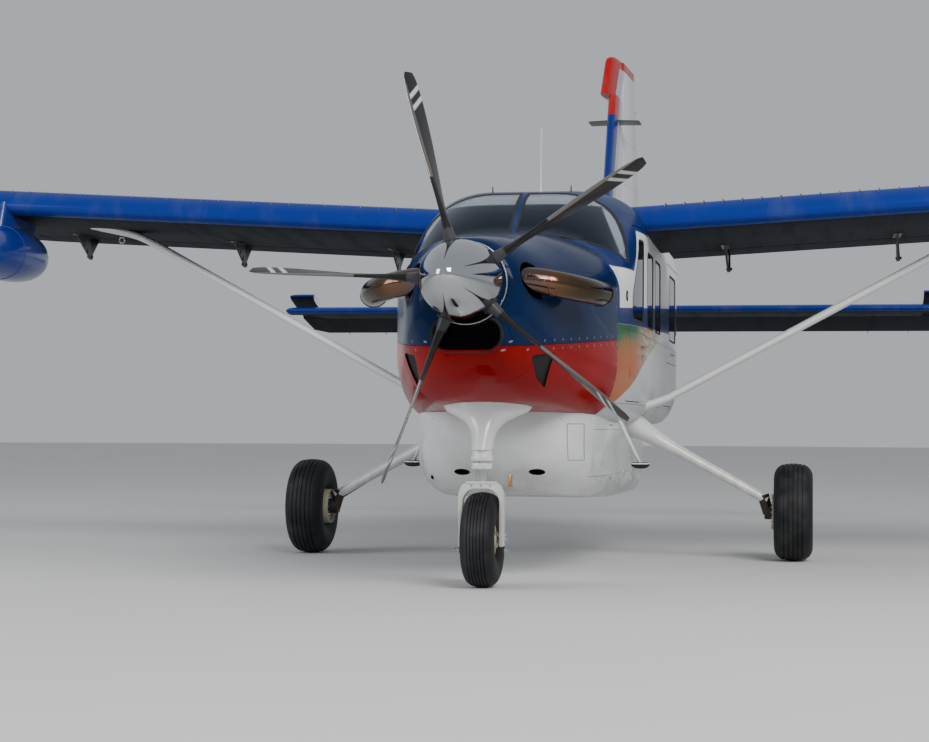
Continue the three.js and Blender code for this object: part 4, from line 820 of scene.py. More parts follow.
class Axis(Enum):
    """An axis of the plane's frame."""

    X = Vector((1, 0, 0))
    Y = Vector((0, 1, 0))
    Z = Vector((0, 0, 1))

    @property
    def across(self) -> Vector:
        """Returns the direction from which a turn round this axis starts."""
        return Axis.X.value if self is Axis.Z else Axis.Z.value


class Side(Enum):
    """A side of the plane: its name and the sign of its X."""

    PORT = ("left", 1)
    STARBOARD = ("right", -1)

    @property
    def word(self) -> str:
        """Returns the side's name."""
        return self.value[0]

    @property
    def sign(self) -> int:
        """Returns the sign of X on this side."""
        return self.value[1]


class Shape:
    """A mesh in the making, in the plane's frame."""

    def __init__(self) -> None:
        """Starts an empty mesh."""
        self.mesh = bmesh.new()

    @classmethod
    def loft(cls, rings: Sequence[Sequence[Vector]]) -> "Shape":
        """Draws a closed body through rings of equally many points.

        Args:
            rings: The rings, from one end to the other.

        Returns:
            The body, its ends closed.
        """
        shape = cls()
        bm = shape.mesh
        current = bmesh.ops.create_circle(bm, segments=len(rings[0]), radius=1.0)["verts"]
        first = cls._edges_of(current)
        for vert, point in zip(current, rings[0]):
            vert.co = point
        for ring in rings[1:]:
            grown = bmesh.ops.extrude_edge_only(bm, edges=cls._edges_of(current))["geom"]
            fresh = {v for v in grown if isinstance(v, bmesh.types.BMVert)}
            current = [next(e.other_vert(v) for e in v.link_edges if e.other_vert(v) in fresh) for v in current]
            for vert, point in zip(current, ring):
                vert.co = point
        for loop in (first, cls._edges_of(current)):
            bmesh.ops.edgeloop_fill(bm, edges=loop)
        return shape.outward()

    @staticmethod
    def _edges_of(ring: Sequence[bmesh.types.BMVert]) -> list[bmesh.types.BMEdge]:
        """Returns the edges that join a ring's vertices, in the same order on each run."""
        members = set(ring)
        return list(dict.fromkeys(e for v in ring for e in v.link_edges if e.other_vert(v) in members))

    @classmethod
    def prism(cls, outline: Outline, axis: Axis, low: float, high: float) -> "Shape":
        """Draws an outline along an axis.

        Args:
            outline: Points of station and height, of X and height, or of X and station.
            axis: The axis X, Y or Z that the outline is drawn along.
            low: Where the body starts.
            high: Where it ends.

        Returns:
            The closed body.
        """
        place = {
            Axis.X: lambda p, at: spot(at, p[0], p[1]),
            Axis.Y: lambda p, at: spot(p[0], at, p[1]),
            Axis.Z: lambda p, at: spot(p[0], p[1], at),
        }[axis]
        return cls.loft([[place(p, at) for p in outline] for at in (low, high)])

    @classmethod
    def box(cls, low: Vector, high: Vector, bevel: float = 0.0, segments: int = 2) -> "Shape":
        """Makes a block.

        Args:
            low: The corner with the lowest values.
            high: The corner with the highest values.
            bevel: The width of its edges' rounding, or 0 for sharp edges.
            segments: Facets of a rounded edge.

        Returns:
            The block.
        """
        shape = cls()
        bmesh.ops.create_cube(shape.mesh, size=1.0)
        bmesh.ops.scale(shape.mesh, vec=high - low, verts=shape.mesh.verts)
        bmesh.ops.translate(shape.mesh, vec=(low + high) / 2, verts=shape.mesh.verts)
        return shape.bevelled(bevel, segments) if bevel else shape

    @classmethod
    def turned(cls, profile: Table, centre: Vector, axis: Axis, steps: int) -> "Shape":
        """Spins a profile round an axis.

        Args:
            profile: Points of radius and distance along the axis, closed on themselves or on the axis.
            centre: Where the distances start.
            axis: The axis of the turn.
            steps: Facets round the axis.

        Returns:
            The closed body.
        """
        shape = cls()
        bm = shape.mesh
        verts = [bmesh.ops.create_vert(bm, co=centre + axis.across * r + axis.value * along)["vert"][0]
                 for r, along in profile]
        edges = [bm.edges.new(pair) for pair in zip(verts, verts[1:])]
        bmesh.ops.spin(bm, geom=[*verts, *edges], cent=centre, axis=axis.value, angle=FULL_TURN, steps=steps,
                       use_merge=True, use_normal_flip=False, use_duplicate=False, dvec=(0, 0, 0))
        bmesh.ops.remove_doubles(bm, verts=bm.verts, dist=1e-5)
        return shape.outward()

    @classmethod
    def drum(cls, radius: float, low: float, high: float, centre: Vector, axis: Axis, steps: int) -> "Shape":
        """Returns a cylinder between two distances from a centre along an axis."""
        return cls.turned([(0, low), (radius, low), (radius, high), (0, high)], centre, axis, steps)

    @classmethod
    def tube(cls, path: Sequence[Vector], radii: Union[float, Sequence[float]], sides: int,
             flat: float = 1.0, hint: Vector = Axis.Z.value) -> "Shape":
        """Draws a closed tube along a path.

        Args:
            path: The centreline's points.
            radii: One radius, or one for each point.
            sides: Points round the tube.
            flat: The radius along the hint as a share of the radius across it.
            hint: A direction that the tube's second radius keeps to.

        Returns:
            The tube with flat ends.
        """
        sizes = [radii] * len(path) if isinstance(radii, (int, float)) else radii
        rings = []
        for i, centre in enumerate(path):
            along = (path[min(i + 1, len(path) - 1)] - path[max(i - 1, 0)]).normalized()
            across = hint.cross(along).normalized()
            up = along.cross(across)
            rings.append([centre + across * sizes[i] * math.cos(a) + up * sizes[i] * flat * math.sin(a)
                          for a in around(sides)])
        return cls.loft(rings)

    def outward(self) -> "Shape":
        """Turns every face outward."""
        bmesh.ops.recalc_face_normals(self.mesh, faces=self.mesh.faces)
        return self

    def bevelled(self, width: float, segments: int = 2, limit: float = 35.0) -> "Shape":
        """Rounds the sharp edges.

        Args:
            width: The rounding's width.
            segments: Its facets.
            limit: The angle in degrees from which an edge is sharp.

        Returns:
            This shape.
        """
        edges = [e for e in self.mesh.edges if e.is_manifold and e.calc_face_angle(0) > math.radians(limit)]
        bmesh.ops.bevel(self.mesh, geom=edges, offset=width, segments=segments, profile=0.5, affect="EDGES",
                        material=-1, clamp_overlap=True)
        return self

    def moved(self, matrix: Matrix) -> "Shape":
        """Moves the whole mesh by a matrix."""
        bmesh.ops.transform(self.mesh, matrix=matrix, verts=self.mesh.verts)
        return self

    def copy(self) -> "Shape":
        """Returns a copy of the mesh."""
        twin = Shape()
        twin.mesh = self.mesh.copy()
        return twin

    def mirrored(self) -> "Shape":
        """Returns the mirror image across the plane's middle."""
        twin = self.copy()
        bmesh.ops.scale(twin.mesh, vec=(-1, 1, 1), verts=twin.mesh.verts)
        bmesh.ops.reverse_faces(twin.mesh, faces=twin.mesh.faces)
        return twin

    def facing(self, side: Side) -> "Shape":
        """Returns the shape itself to port, and its mirror image to starboard."""
        return self if side is Side.PORT else self.mirrored()

    def with_parts(self, *others: "Shape") -> "Shape":
        """Takes in the meshes of other shapes.

        Args:
            others: The other shapes, which stay as they are.

        Returns:
            This shape.
        """
        for other in others:
            scratch = bpy.data.meshes.new("scratch")
            other.mesh.to_mesh(scratch)
            self.mesh.from_mesh(scratch)
            bpy.data.meshes.remove(scratch)
        return self

    def painted(self, paint: int, test: Callable[[bmesh.types.BMFace], bool] = lambda face: True) -> "Shape":
        """Gives faces a finish.

        Args:
            paint: The finish's place in the piece's list.
            test: Says which faces get it.

        Returns:
            This shape.
        """
        for face in filter(test, self.mesh.faces):
            face.material_index = paint
        return self

    def _scratch(self) -> bpy.types.Object:
        """Returns a scene object with this mesh, for a boolean."""
        data = bpy.data.meshes.new("scratch")
        self.mesh.to_mesh(data)
        for _ in range(4):
            data.materials.append(None)
        body = bpy.data.objects.new("scratch", data)
        bpy.context.collection.objects.link(body)
        return body

    def carved(self, operation: str, *tools: "Shape") -> "Shape":
        """Returns this body after booleans.

        Args:
            operation: DIFFERENCE, INTERSECT or UNION.
            tools: The bodies that are taken off, kept or added, one after the other.

        Returns:
            The new body.
        """
        body = self._scratch()
        helpers = [tool._scratch() for tool in tools]
        for helper in helpers:
            step = body.modifiers.new("carve", "BOOLEAN")
            step.operation = operation
            step.solver = "EXACT"
            step.object = helper
        made = bpy.data.meshes.new_from_object(body.evaluated_get(bpy.context.evaluated_depsgraph_get()))
        result = Shape()
        result.mesh.from_mesh(made)
        for item in (body, *helpers):
            data = item.data
            bpy.data.objects.remove(item)
            bpy.data.meshes.remove(data)
        bpy.data.meshes.remove(made)
        return result

    def less(self, *tools: "Shape") -> "Shape":
        """Returns this body with the tools cut away."""
        return self.carved("DIFFERENCE", *tools)

    def within(self, tool: "Shape") -> "Shape":
        """Returns the part of this body that lies inside another."""
        return self.carved("INTERSECT", tool)

    def piece(self, name: str, finishes: Union[Finish, Sequence[Finish]], slot: str, *nodes: str,
              body: str = "airframe", smooth: float = 32.0) -> bpy.types.Object:
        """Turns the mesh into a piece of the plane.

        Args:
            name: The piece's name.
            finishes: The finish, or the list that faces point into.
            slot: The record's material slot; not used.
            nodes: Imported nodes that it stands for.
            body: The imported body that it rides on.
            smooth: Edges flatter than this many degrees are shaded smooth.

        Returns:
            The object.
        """
        for edge in self.mesh.edges:
            edge.smooth = edge.calc_face_angle(math.pi) < math.radians(smooth)
        for face in self.mesh.faces:
            face.smooth = True
        data = bpy.data.meshes.new(name)
        self.mesh.to_mesh(data)
        self.mesh.free()
        for finish in ([finishes] if isinstance(finishes, Finish) else finishes):
            data.materials.append(finish.material())
        made = bpy.data.objects.new(name, data)
        bpy.context.collection.objects.link(made)
        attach(made, body)
        if nodes:
            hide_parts(*nodes)
        log.info("%s: %d faces on %s", name, len(data.polygons), body)
        return made

    def pair(self, name: str, finishes: Union[Finish, Sequence[Finish]], slot: str, *nodes: str,
             body: str = "airframe") -> None:
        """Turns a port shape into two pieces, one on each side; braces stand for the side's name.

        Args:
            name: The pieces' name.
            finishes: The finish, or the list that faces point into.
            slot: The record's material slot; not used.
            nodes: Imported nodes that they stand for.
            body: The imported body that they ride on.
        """
        for side in Side:
            self.facing(side).copy().piece(name.format(side.word), finishes, slot,
                                           *[node.format(side.word) for node in nodes], body=body.format(side.word))


def dress(node: str, finish: Finish) -> None:
    """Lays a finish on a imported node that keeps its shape.

    Args:
        node: The node's name.
        finish: Its finish.
    """
    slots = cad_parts[node].data.materials
    slots.clear()
    slots.append(finish.material())
    log.info("%s keeps its shape, finished in %s", node, finish.name)


@dataclass(frozen=True)
class Wall:
    """How far a fuselage form is grown outward, or inward if negative."""

    side: float = 0.0
    top: float = 0.0
    bottom: float = 0.0

    @classmethod
    def even(cls, distance: float) -> "Wall":
        """Returns the same growth on all sides."""
        return cls(distance, distance, distance)


@dataclass
class FuselageForm:
    """The fuselage's outline, eased between cross-sections from the cowling's front to the rudder."""

    rows: Table = (
        # station, half width, bottom, top, upper corner (x, z), lower corner (x, z)
        (-0.58, 0.3, 1.375, 2.055, 0.29, 0.33, 0.23, 0.3),
        (-0.35, 0.405, 1.235, 2.09, 0.37, 0.35, 0.26, 0.33),
        (0.0, 0.51, 1.115, 2.125, 0.43, 0.37, 0.25, 0.36),
        (0.5, 0.645, 1.06, 2.195, 0.52, 0.4, 0.23, 0.38),
        (0.9, 0.722, 1.025, 2.232, 0.6, 0.4, 0.22, 0.38),
        (1.085, 0.742, 1.015, 2.24, 0.62, 0.38, 0.215, 0.37),
        (1.25, 0.755, 1.01, 2.362, 0.62, 0.43, 0.21, 0.36),
        (1.45, 0.768, 1.004, 2.49, 0.6, 0.48, 0.205, 0.35),
        (1.68, 0.778, 1.0, 2.585, 0.56, 0.47, 0.2, 0.34),
        (1.95, 0.785, 1.0, 2.632, 0.5, 0.4, 0.195, 0.33),
        (2.25, 0.79, 1.0, 2.655, 0.44, 0.33, 0.19, 0.32),
        (5.2, 0.79, 1.0, 2.64, 0.43, 0.33, 0.19, 0.32),
        (5.7, 0.745, 1.11, 2.612, 0.42, 0.35, 0.21, 0.33),
        (6.5, 0.535, 1.4, 2.56, 0.33, 0.33, 0.23, 0.3),
        (7.3, 0.31, 1.7, 2.505, 0.22, 0.26, 0.17, 0.24),
        (7.99, 0.092, 2.0, 2.45, 0.07, 0.12, 0.07, 0.12),
    )
    nose_depth: float = 0.08
    nose_round: float = 0.07
    slopes: list[list[float]] = field(default_factory=list)

    def __post_init__(self) -> None:
        """Works out the slope of each column at each row, so that no curve overshoots."""
        last = len(self.rows) - 1
        gaps = [self.rows[i + 1][0] - self.rows[i][0] for i in range(last)]
        for column in range(1, len(self.rows[0])):
            rise = [(self.rows[i + 1][column] - self.rows[i][column]) / gaps[i] for i in range(last)]
            slopes = [rise[0]]
            for i in range(1, last):
                first, second = rise[i - 1], rise[i]
                weight, other = 2 * gaps[i] + gaps[i - 1], gaps[i] + 2 * gaps[i - 1]
                level = first * second <= 0
                slopes.append(0.0 if level else (weight + other) / (weight / first + other / second))
            self.slopes.append([*slopes, rise[-1]])

    def row(self, station: float) -> list[float]:
        """Eases between the two rows beside a station.

        Args:
            station: The station.

        Returns:
            The row's numbers there.
        """
        after = max(next((i for i, row in enumerate(self.rows) if row[0] >= station), len(self.rows) - 1), 1)
        low, high = self.rows[after - 1], self.rows[after]
        gap = high[0] - low[0]
        t = (station - low[0]) / gap
        made = [station]
        for column in range(1, len(low)):
            start, end = self.slopes[column - 1][after - 1] * gap, self.slopes[column - 1][after] * gap
            made.append((2 * t ** 3 - 3 * t ** 2 + 1) * low[column] + (t ** 3 - 2 * t ** 2 + t) * start
                        + (3 * t ** 2 - 2 * t ** 3) * high[column] + (t ** 3 - t ** 2) * end)
        return made

    def ring(self, station: float, grow: Wall) -> list[Vector]:
        """Draws one cross-section, drawn in at the nose.

        Args:
            station: Where it lies.
            grow: How far it is grown.

        Returns:
            Its points, starting below and going round by the port side.
        """
        first, last = self.rows[0][0], self.rows[-1][0]
        _, half, bottom, top, up_x, up_z, low_x, low_z = self.row(min(max(station, first), last))
        tip = min(max((first + self.nose_depth - station) / self.nose_depth, 0.0), 1.0)
        drawn = self.nose_round * (1 - math.sqrt(1 - tip ** 2))
        side, over, under = grow.side - drawn, grow.top - drawn, grow.bottom - drawn
        half, top, bottom = half + side, top + over, bottom - under
        up_x, up_z = max(up_x + side, 0.005), max(up_z + over, 0.005)
        low_x, low_z = max(low_x + side, 0.005), max(low_z + min(side, under), 0.005)
        port = [(half - low_x + low_x * math.cos(a), bottom + low_z + low_z * math.sin(a))
                for a in spread(-math.pi / 2, 0, 10)]
        port += [(half - up_x + up_x * math.cos(a), top - up_z + up_z * math.sin(a))
                 for a in spread(0, math.pi / 2, 14)]
        starboard = [(-x, z) for x, z in reversed(port)]
        return [spot(x, station, z) for x, z in (*port, *starboard)]

    def solid(self, first: float, last: float, grow: Wall = Wall(), pitch: float = 0.075) -> Shape:
        """Draws a length of the fuselage as a full body.

        Args:
            first: Its first station.
            last: Its last station.
            grow: How far it is grown.
            pitch: The distance between cross-sections.

        Returns:
            The closed body.
        """
        stations = spread(first, last, max(int((last - first) / pitch) + 1, 3))
        tip = self.rows[0][0]
        if first <= tip + 0.01:
            lip = [tip + self.nose_depth * share for share in (0.05, 0.15, 0.3, 0.5, 0.75)]
            stations = [first, *lip, *[s for s in stations if s > tip + self.nose_depth]]
        return Shape.loft([self.ring(s, grow) for s in stations])

    def skin(self, first: float, last: float, outer: float, inner: float) -> Shape:
        """Returns the layer between two depths under a length of the fuselage's surface."""
        core = self.solid(first - 0.02, last + 0.02, Wall.even(-inner))
        return self.solid(first, last, Wall.even(-outer)).less(core)


FORM = FuselageForm()
SNUG = Wall.even(0.0005)


@dataclass
class Cowling:
    """Upper and lower cowling with chin intake, shaft hole, side vents and stack holes."""

    front: float = -0.58
    rear: float = 0.8995
    parting: float = 1.473
    parting_rise: float = 0.07
    gap: float = 0.0014
    wall: float = 0.018
    shaft_height: float = 1.796
    shaft_hole: float = 0.15
    intake_low: tuple[float, float] = (-0.2, 1.406)
    intake_high: tuple[float, float] = (0.2, 1.592)
    intake_corner: float = 0.088
    vent: Outline = ((0.345, 1.385), (0.458, 1.412), (0.385, 1.2), (0.352, 1.255))
    vent_centre: tuple[float, float] = (0.39, 1.33)
    # stations and heights past the cowling, for the bodies that cut it in two
    span: tuple[float, float] = (-0.7, 1.0)
    heights: tuple[float, float] = (0.8, 2.6)
    # stations of a duct's rings, each with its share of the opening's size
    duct: Table = ((-0.568, 1.0), (-0.42, 0.98), (-0.3, 0.86), (-0.26, 0.8))
    duct_hollow: Table = ((-0.58, 1.0), (-0.42, 0.96), (-0.31, 0.84), (-0.28, 0.78))
    scoop: Table = ((-0.5, 1.0), (0.1, 1.0), (0.2, 0.8))

    def build(self, stack_hole: Shape) -> None:
        """Builds both halves with the intake's lip and duct, and the vents' scoops.

        Args:
            stack_hole: The body that cuts the port stack's hole.
        """
        intake = rounded(self.intake_low, self.intake_high, self.intake_corner, 10)
        vent = Shape.prism(softened(self.vent, 0.02), Axis.Y, self.front - 0.02, 0.3)
        cowl = FORM.solid(self.front, self.rear, pitch=0.045).less(
            FORM.solid(self.front + self.wall, self.rear + 0.02, Wall.even(-self.wall)),
            Shape.drum(self.shaft_hole, -0.03, 0.05, spot(0, self.front, self.shaft_height), Axis.Y, 48),
            Shape.prism(intake, Axis.Y, self.front - 0.02, -0.25),
            vent, vent.mirrored(), stack_hole, stack_hole.mirrored())
        (first, last), (bottom, top) = self.span, self.heights
        front, rear = (self.parting + self.parting_rise * station for station in self.span)
        upper = Shape.prism([(first, front + self.gap), (last, rear + self.gap), (last, top), (first, top)],
                            Axis.X, -1, 1)
        lower = Shape.prism([(first, bottom), (last, bottom), (last, rear - self.gap), (first, front - self.gap)],
                            Axis.X, -1, 1)
        # The red lower cowling carries a painted warm sheen on its starboard side.
        red = CowlPaint("cowl_red", RED, side_warmth=0.7)
        cowl.within(upper).piece("upper_cowling", CowlPaint("cowl_navy", NAVY), "cowl_navy", "cowling_upper")
        cowl.within(lower).piece("lower_cowling", red, "cowl_red", "cowling_lower")
        lip = Shape.prism(widened(intake, 0.016), Axis.Y, self.front - 0.01, self.front + 0.014)
        lip = lip.less(Shape.prism(widened(intake, -0.004), Axis.Y, self.front - 0.05, self.front + 0.05))
        # The lip's upper faces, under the spinner beside the navy cowling, take the near-black finish: dark paint and
        # painted shade.
        lip.bevelled(0.006, 3, 60.0).painted(1, lambda f: f.calc_center_median().z > self.parting - 0.04)
        lip.piece("intake_lip", [red, BLACK_AND_SHADE], "cowl_red")
        middle = (0, (self.intake_low[1] + self.intake_high[1]) / 2)
        # The intake duct is near-black: painted shade inside the opening.
        duct = self.drawn_in(widened(intake, 0.004), middle, self.duct)
        duct = duct.less(self.drawn_in(widened(intake, -0.003), middle, self.duct_hollow))
        duct.piece("intake_duct", BLACK_AND_SHADE, "cowl_red")
        # The vent scoops are near-black: painted shade inside the vents.
        scoop = self.drawn_in(softened(widened(self.vent, 0.006), 0.02), self.vent_centre, self.scoop)
        scoop = scoop.within(FORM.solid(self.front + self.wall, self.rear, Wall.even(-self.wall + 0.002)))
        scoop.pair("vent_scoop_{}", BLACK_AND_SHADE, "cowl_red")

    @staticmethod
    def drawn_in(outline: Outline, centre: Sequence[float], rings: Table) -> Shape:
        """Draws an outline aft while it shrinks.

        Args:
            outline: Points of X and height.
            centre: The point that it shrinks to.
            rings: Rows of station and share of the full size.

        Returns:
            The closed body.
        """
        across, up = centre
        return Shape.loft([[spot(across + (x - across) * share, station, up + (z - up) * share) for x, z in outline]
                           for station, share in rings])


@dataclass
class Exhausts:
    """Two stacks that leave wells in the upper cowling and bend back."""

    path: Table = ((0.2, -0.4, 1.83), (0.34, -0.41, 1.824), (0.47, -0.37, 1.806), (0.572, -0.27, 1.79),
                   (0.65, -0.12, 1.78), (0.7, 0.07, 1.775))
    radius: float = 0.082
    flat: float = 0.9
    wall: float = 0.005
    hole_gap: float = 0.036

    def centreline(self, extra: float = 0.0) -> list[Vector]:
        """Returns the port stack's path, lengthened past its mouth."""
        points = [spot(*p) for p in flowing(self.path, 5)]
        away = (points[-1] - points[-2]).normalized()
        return [*points, points[-1] + away * extra] if extra else points

    def hole(self) -> Shape:
        """Returns the body that cuts the port stack's hole in the cowling."""
        return Shape.tube(self.centreline(0.2), self.radius + self.hole_gap, 28, self.flat)

    def build(self) -> None:
        """Builds both stacks with their wells."""
        path = self.centreline()
        swell = [self.radius * (1.0 + 0.05 * math.sin(t)) for t in
                 (math.pi * i / (len(path) - 1) for i in range(len(path)))]
        outer = Shape.tube(path, swell, 32, self.flat)
        bore_path = self.centreline(0.05)[4:]
        bore = Shape.tube(bore_path, self.radius - self.wall, 32, self.flat)
        lip_path = [path[-2].lerp(path[-1], 0.75), path[-1] + (path[-1] - path[-2]).normalized() * 0.002]
        lip = Shape.tube(lip_path, self.radius + 0.004, 32, self.flat).less(bore)
        # The bore is near-black: soot, and painted shade inside the pipe.
        stack = outer.less(bore.painted(1)).with_parts(lip)
        stack.pair("stack_{}", [StackSteel(), BLACK_AND_SHADE], "stack_bronze", "exhaust_{}")
        # The wells round the stacks are near-black: painted shade in the holes.
        well = Shape.tube([path[1], path[4], path[6]], self.radius + self.hole_gap - 0.001, 28, self.flat)
        well = well.less(Shape.tube([path[2], path[4], path[9]], self.radius + self.hole_gap - 0.005, 28, self.flat))
        well.within(FORM.solid(-0.7, 0.3, Wall.even(-0.003))).pair("stack_well_{}", BLACK_AND_SHADE, "cowl_navy")


@dataclass
class Cabin:
    """Cabin shell, windshield, side windows, doors and their seals."""

    front: float = 0.9
    rear: float = 5.7
    bulkhead: float = 0.02
    wall: Wall = Wall(-0.03, -0.04, -0.07)
    inner_reach: float = 0.56
    reach: float = 0.9
    post_half: float = 0.022
    windshield: Outline = ((1.085, 2.236), (1.19, 2.15), (1.31, 2.078), (1.365, 2.078), (1.7, 2.5), (1.7, 2.7),
                           (1.0, 2.7), (1.0, 2.236))
    shield_clear: Outline = ((0.82, 1.85), (0.567, 2.4), (0.52, 2.478), (-0.52, 2.478), (-0.567, 2.4), (-0.82, 1.85))
    crew_door: Outline = ((1.36, 1.15), (2.14, 1.15), (2.14, 2.37), (1.8, 2.37), (1.36, 1.905))
    crew_window: Outline = ((1.45, 1.7), (2.06, 1.7), (2.06, 2.275), (1.84, 2.275), (1.45, 1.862))
    window_heights: tuple[float, float] = (1.69, 2.23)
    window_corner: float = 0.07
    port_windows: Table = ((2.33, 2.84), (3.0, 3.51))
    starboard_windows: Table = ((2.33, 2.84), (3.0, 3.51), (3.67, 4.18), (4.34, 4.85))
    cargo_window: tuple[float, float] = (4.42, 5.13)
    cargo: tuple[float, float] = (4.16, 5.4)
    cargo_heights: tuple[float, float, float] = (1.15, 1.5, 2.3)
    door_gap: float = 0.006
    pane: tuple[float, float] = (0.003, 0.015)
    seal: tuple[float, float] = (-0.0015, 0.004)
    # depths of the layer that the pale strip behind the windscreen is cut from; the strip is a painted reflection of
    # the sky
    lining: tuple[float, float] = (0.02, 0.023)
    # radius and distance along the axis of a handle's dish and of the side port
    dish: Table = ((0, -0.004), (0.032, -0.004), (0.036, 0.0), (0.032, 0.004), (0, 0.004))
    static_port: Table = ((0, -0.01), (0.034, -0.01), (0.038, 0.002), (0.031, 0.006), (0.026, -0.003), (0, -0.003))

    @cached_property
    def glass_layer(self) -> Shape:
        """Returns the layer that the panes are cut from."""
        return FORM.skin(self.front, self.rear, *self.pane)

    @cached_property
    def seal_layer(self) -> Shape:
        """Returns the layer that the seals are cut from."""
        return FORM.skin(self.front, self.rear, *self.seal)

    def across(self, outline: Outline, side: Side, inner: Optional[float] = None) -> Shape:
        """Returns a side outline as a cutter through one side's wall."""
        return Shape.prism(outline, Axis.X, inner or self.inner_reach, self.reach).facing(side)

    def window(self, stations: Sequence[float]) -> list[tuple[float, float]]:
        """Returns a side window's outline."""
        low, high = self.window_heights
        return rounded((stations[0], low), (stations[1], high), self.window_corner, 8)

    def inside(self) -> Shape:
        """Returns the cabin's hollow."""
        core = FORM.solid(self.front + self.bulkhead, self.rear - self.bulkhead, self.wall, 0.16)
        return core.painted(1).painted(2, lambda f: f.normal.z < -0.9)

    def cargo_leaf(self, low: float, high: float) -> list[tuple[float, float]]:
        """Returns the outline of one cargo door leaf."""
        return [(self.cargo[0], low), (self.cargo[1], low), (self.cargo[1], high), (self.cargo[0], high)]

    def strip(self, outline: Outline, side: Side, out: float = 0.006, back: float = 0.008,
              posts: Sequence[Optional[float]] = (None, None)) -> Shape:
        """Returns the strip round a pane. Posts say where its two cuts start, if not at the side wall."""
        outside = self.seal_layer.within(self.across(widened(outline, out), side, posts[0]))
        return outside.less(self.across(widened(outline, -back), side, posts[1]))

    def fit_window(self, outlines: Sequence[Outline], side: Side, names: Sequence[str], node: str,
                   body: str = "airframe") -> None:
        """Fits panes with their rubber seals.

        Args:
            outlines: The windows' outlines.
            side: Their side of the plane.
            names: The names of the panes' piece and the seals' piece.
            node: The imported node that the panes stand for.
            body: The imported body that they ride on.
        """
        panes = Shape().with_parts(*[self.glass_layer.within(self.across(widened(outline, -0.0005), side))
                                     for outline in outlines])
        seals = Shape().with_parts(*[self.strip(outline, side) for outline in outlines])
        panes.piece(names[0], GLASS, "glass", node, body=body)
        seals.piece(names[1], RUBBER_SEAL, "panel_black", body=body)

    def build(self) -> None:
        """Builds the shell, then what closes its openings."""
        door, glass_door = softened(self.crew_door, 0.06), softened(self.crew_window, 0.05)
        shield = softened(self.windshield, 0.04)
        low, split, high = self.cargo_heights
        rows = {side: [self.window(row) for row in table]
                for side, table in zip(Side, (self.port_windows, self.starboard_windows))}
        tools = [self.inside()]
        for side in Side:
            tools += [self.across(shield, side, self.post_half), self.across(widened(door, self.door_gap), side)]
            tools += [self.across(outline, side) for outline in rows[side]]
        tools.append(self.across(widened(self.cargo_leaf(low, high), self.door_gap), Side.PORT))
        solid = FORM.solid(self.front, self.rear, pitch=0.06)
        paints = [FuselagePaint(), CABIN_TRIM, CARPET]
        solid.less(*tools).piece("cabin_skin", paints, "cabin_white", "cabin_shell")
        wall = solid.less(self.inside())
        # A pale strip inside the windscreen's top and sides: a painted reflection of the sky.
        lining = FORM.skin(self.front, self.rear, *self.lining)
        lining = lining.less(Shape.prism(self.shield_clear, Axis.Y, self.front, 2.2))
        for side in Side:
            word = side.word
            leaf = wall.within(self.across(door, side)).less(self.across(glass_door, side))
            body = f"crew_door_{word}"
            leaf.piece(f"crew_leaf_{word}", paints, "door_paint", body, body=body)
            node = f"crew_door_window_{word}"
            self.fit_window([glass_door], side, (f"pane_{node}", f"seal_{node}"), node, body)
            self.fit_window(rows[side], side, (f"side_panes_{word}", f"side_seals_{word}"), f"side_windows_{word}")
            glass = self.glass_layer.within(self.across(widened(shield, -0.001), side, self.post_half + 0.001))
            glass.piece(f"windshield_pane_{word}", WINDSCREEN, "glass", f"windshield_{word}")
            posts = (self.post_half - 0.008, self.post_half + 0.01)
            self.strip(shield, side, 0.009, 0.012, posts).piece(f"windshield_seal_{word}", RUBBER_SEAL, "panel_black")
            # The pale strip behind this half of the windscreen: a painted reflection of the sky.
            band = lining.within(self.across(widened(shield, 0.004), side, self.post_half))
            band.piece(f"sky_reflection_band_{word}", SKY_REFLECTION_BAND, "panel_black")
        window = self.window(self.cargo_window)
        upper = wall.within(self.across(self.cargo_leaf(split + 0.003, high), Side.PORT))
        upper = upper.less(self.across(window, Side.PORT))
        lower = wall.within(self.across(self.cargo_leaf(low, split - 0.003), Side.PORT))
        for name, leaf in (("upper", upper), ("lower", lower)):
            body = f"cargo_door_{name}"
            leaf.piece(f"cargo_leaf_{name}", paints, "door_paint", body, body=body)
        node = "cargo_door_window"
        self.fit_window([window], Side.PORT, (f"pane_{node}", f"seal_{node}"), node, "cargo_door_upper")
        self.hardware()

    @staticmethod
    def handle(foot: Vector, length: float, bow: float) -> Shape:
        """Returns a grip that starts at a foot, runs aft and bows outward."""
        return Shape.tube([foot + Vector((bow * math.sin(math.pi * t), length * t, 0)) for t in spread(0, 1, 13)],
                          0.008, 12)

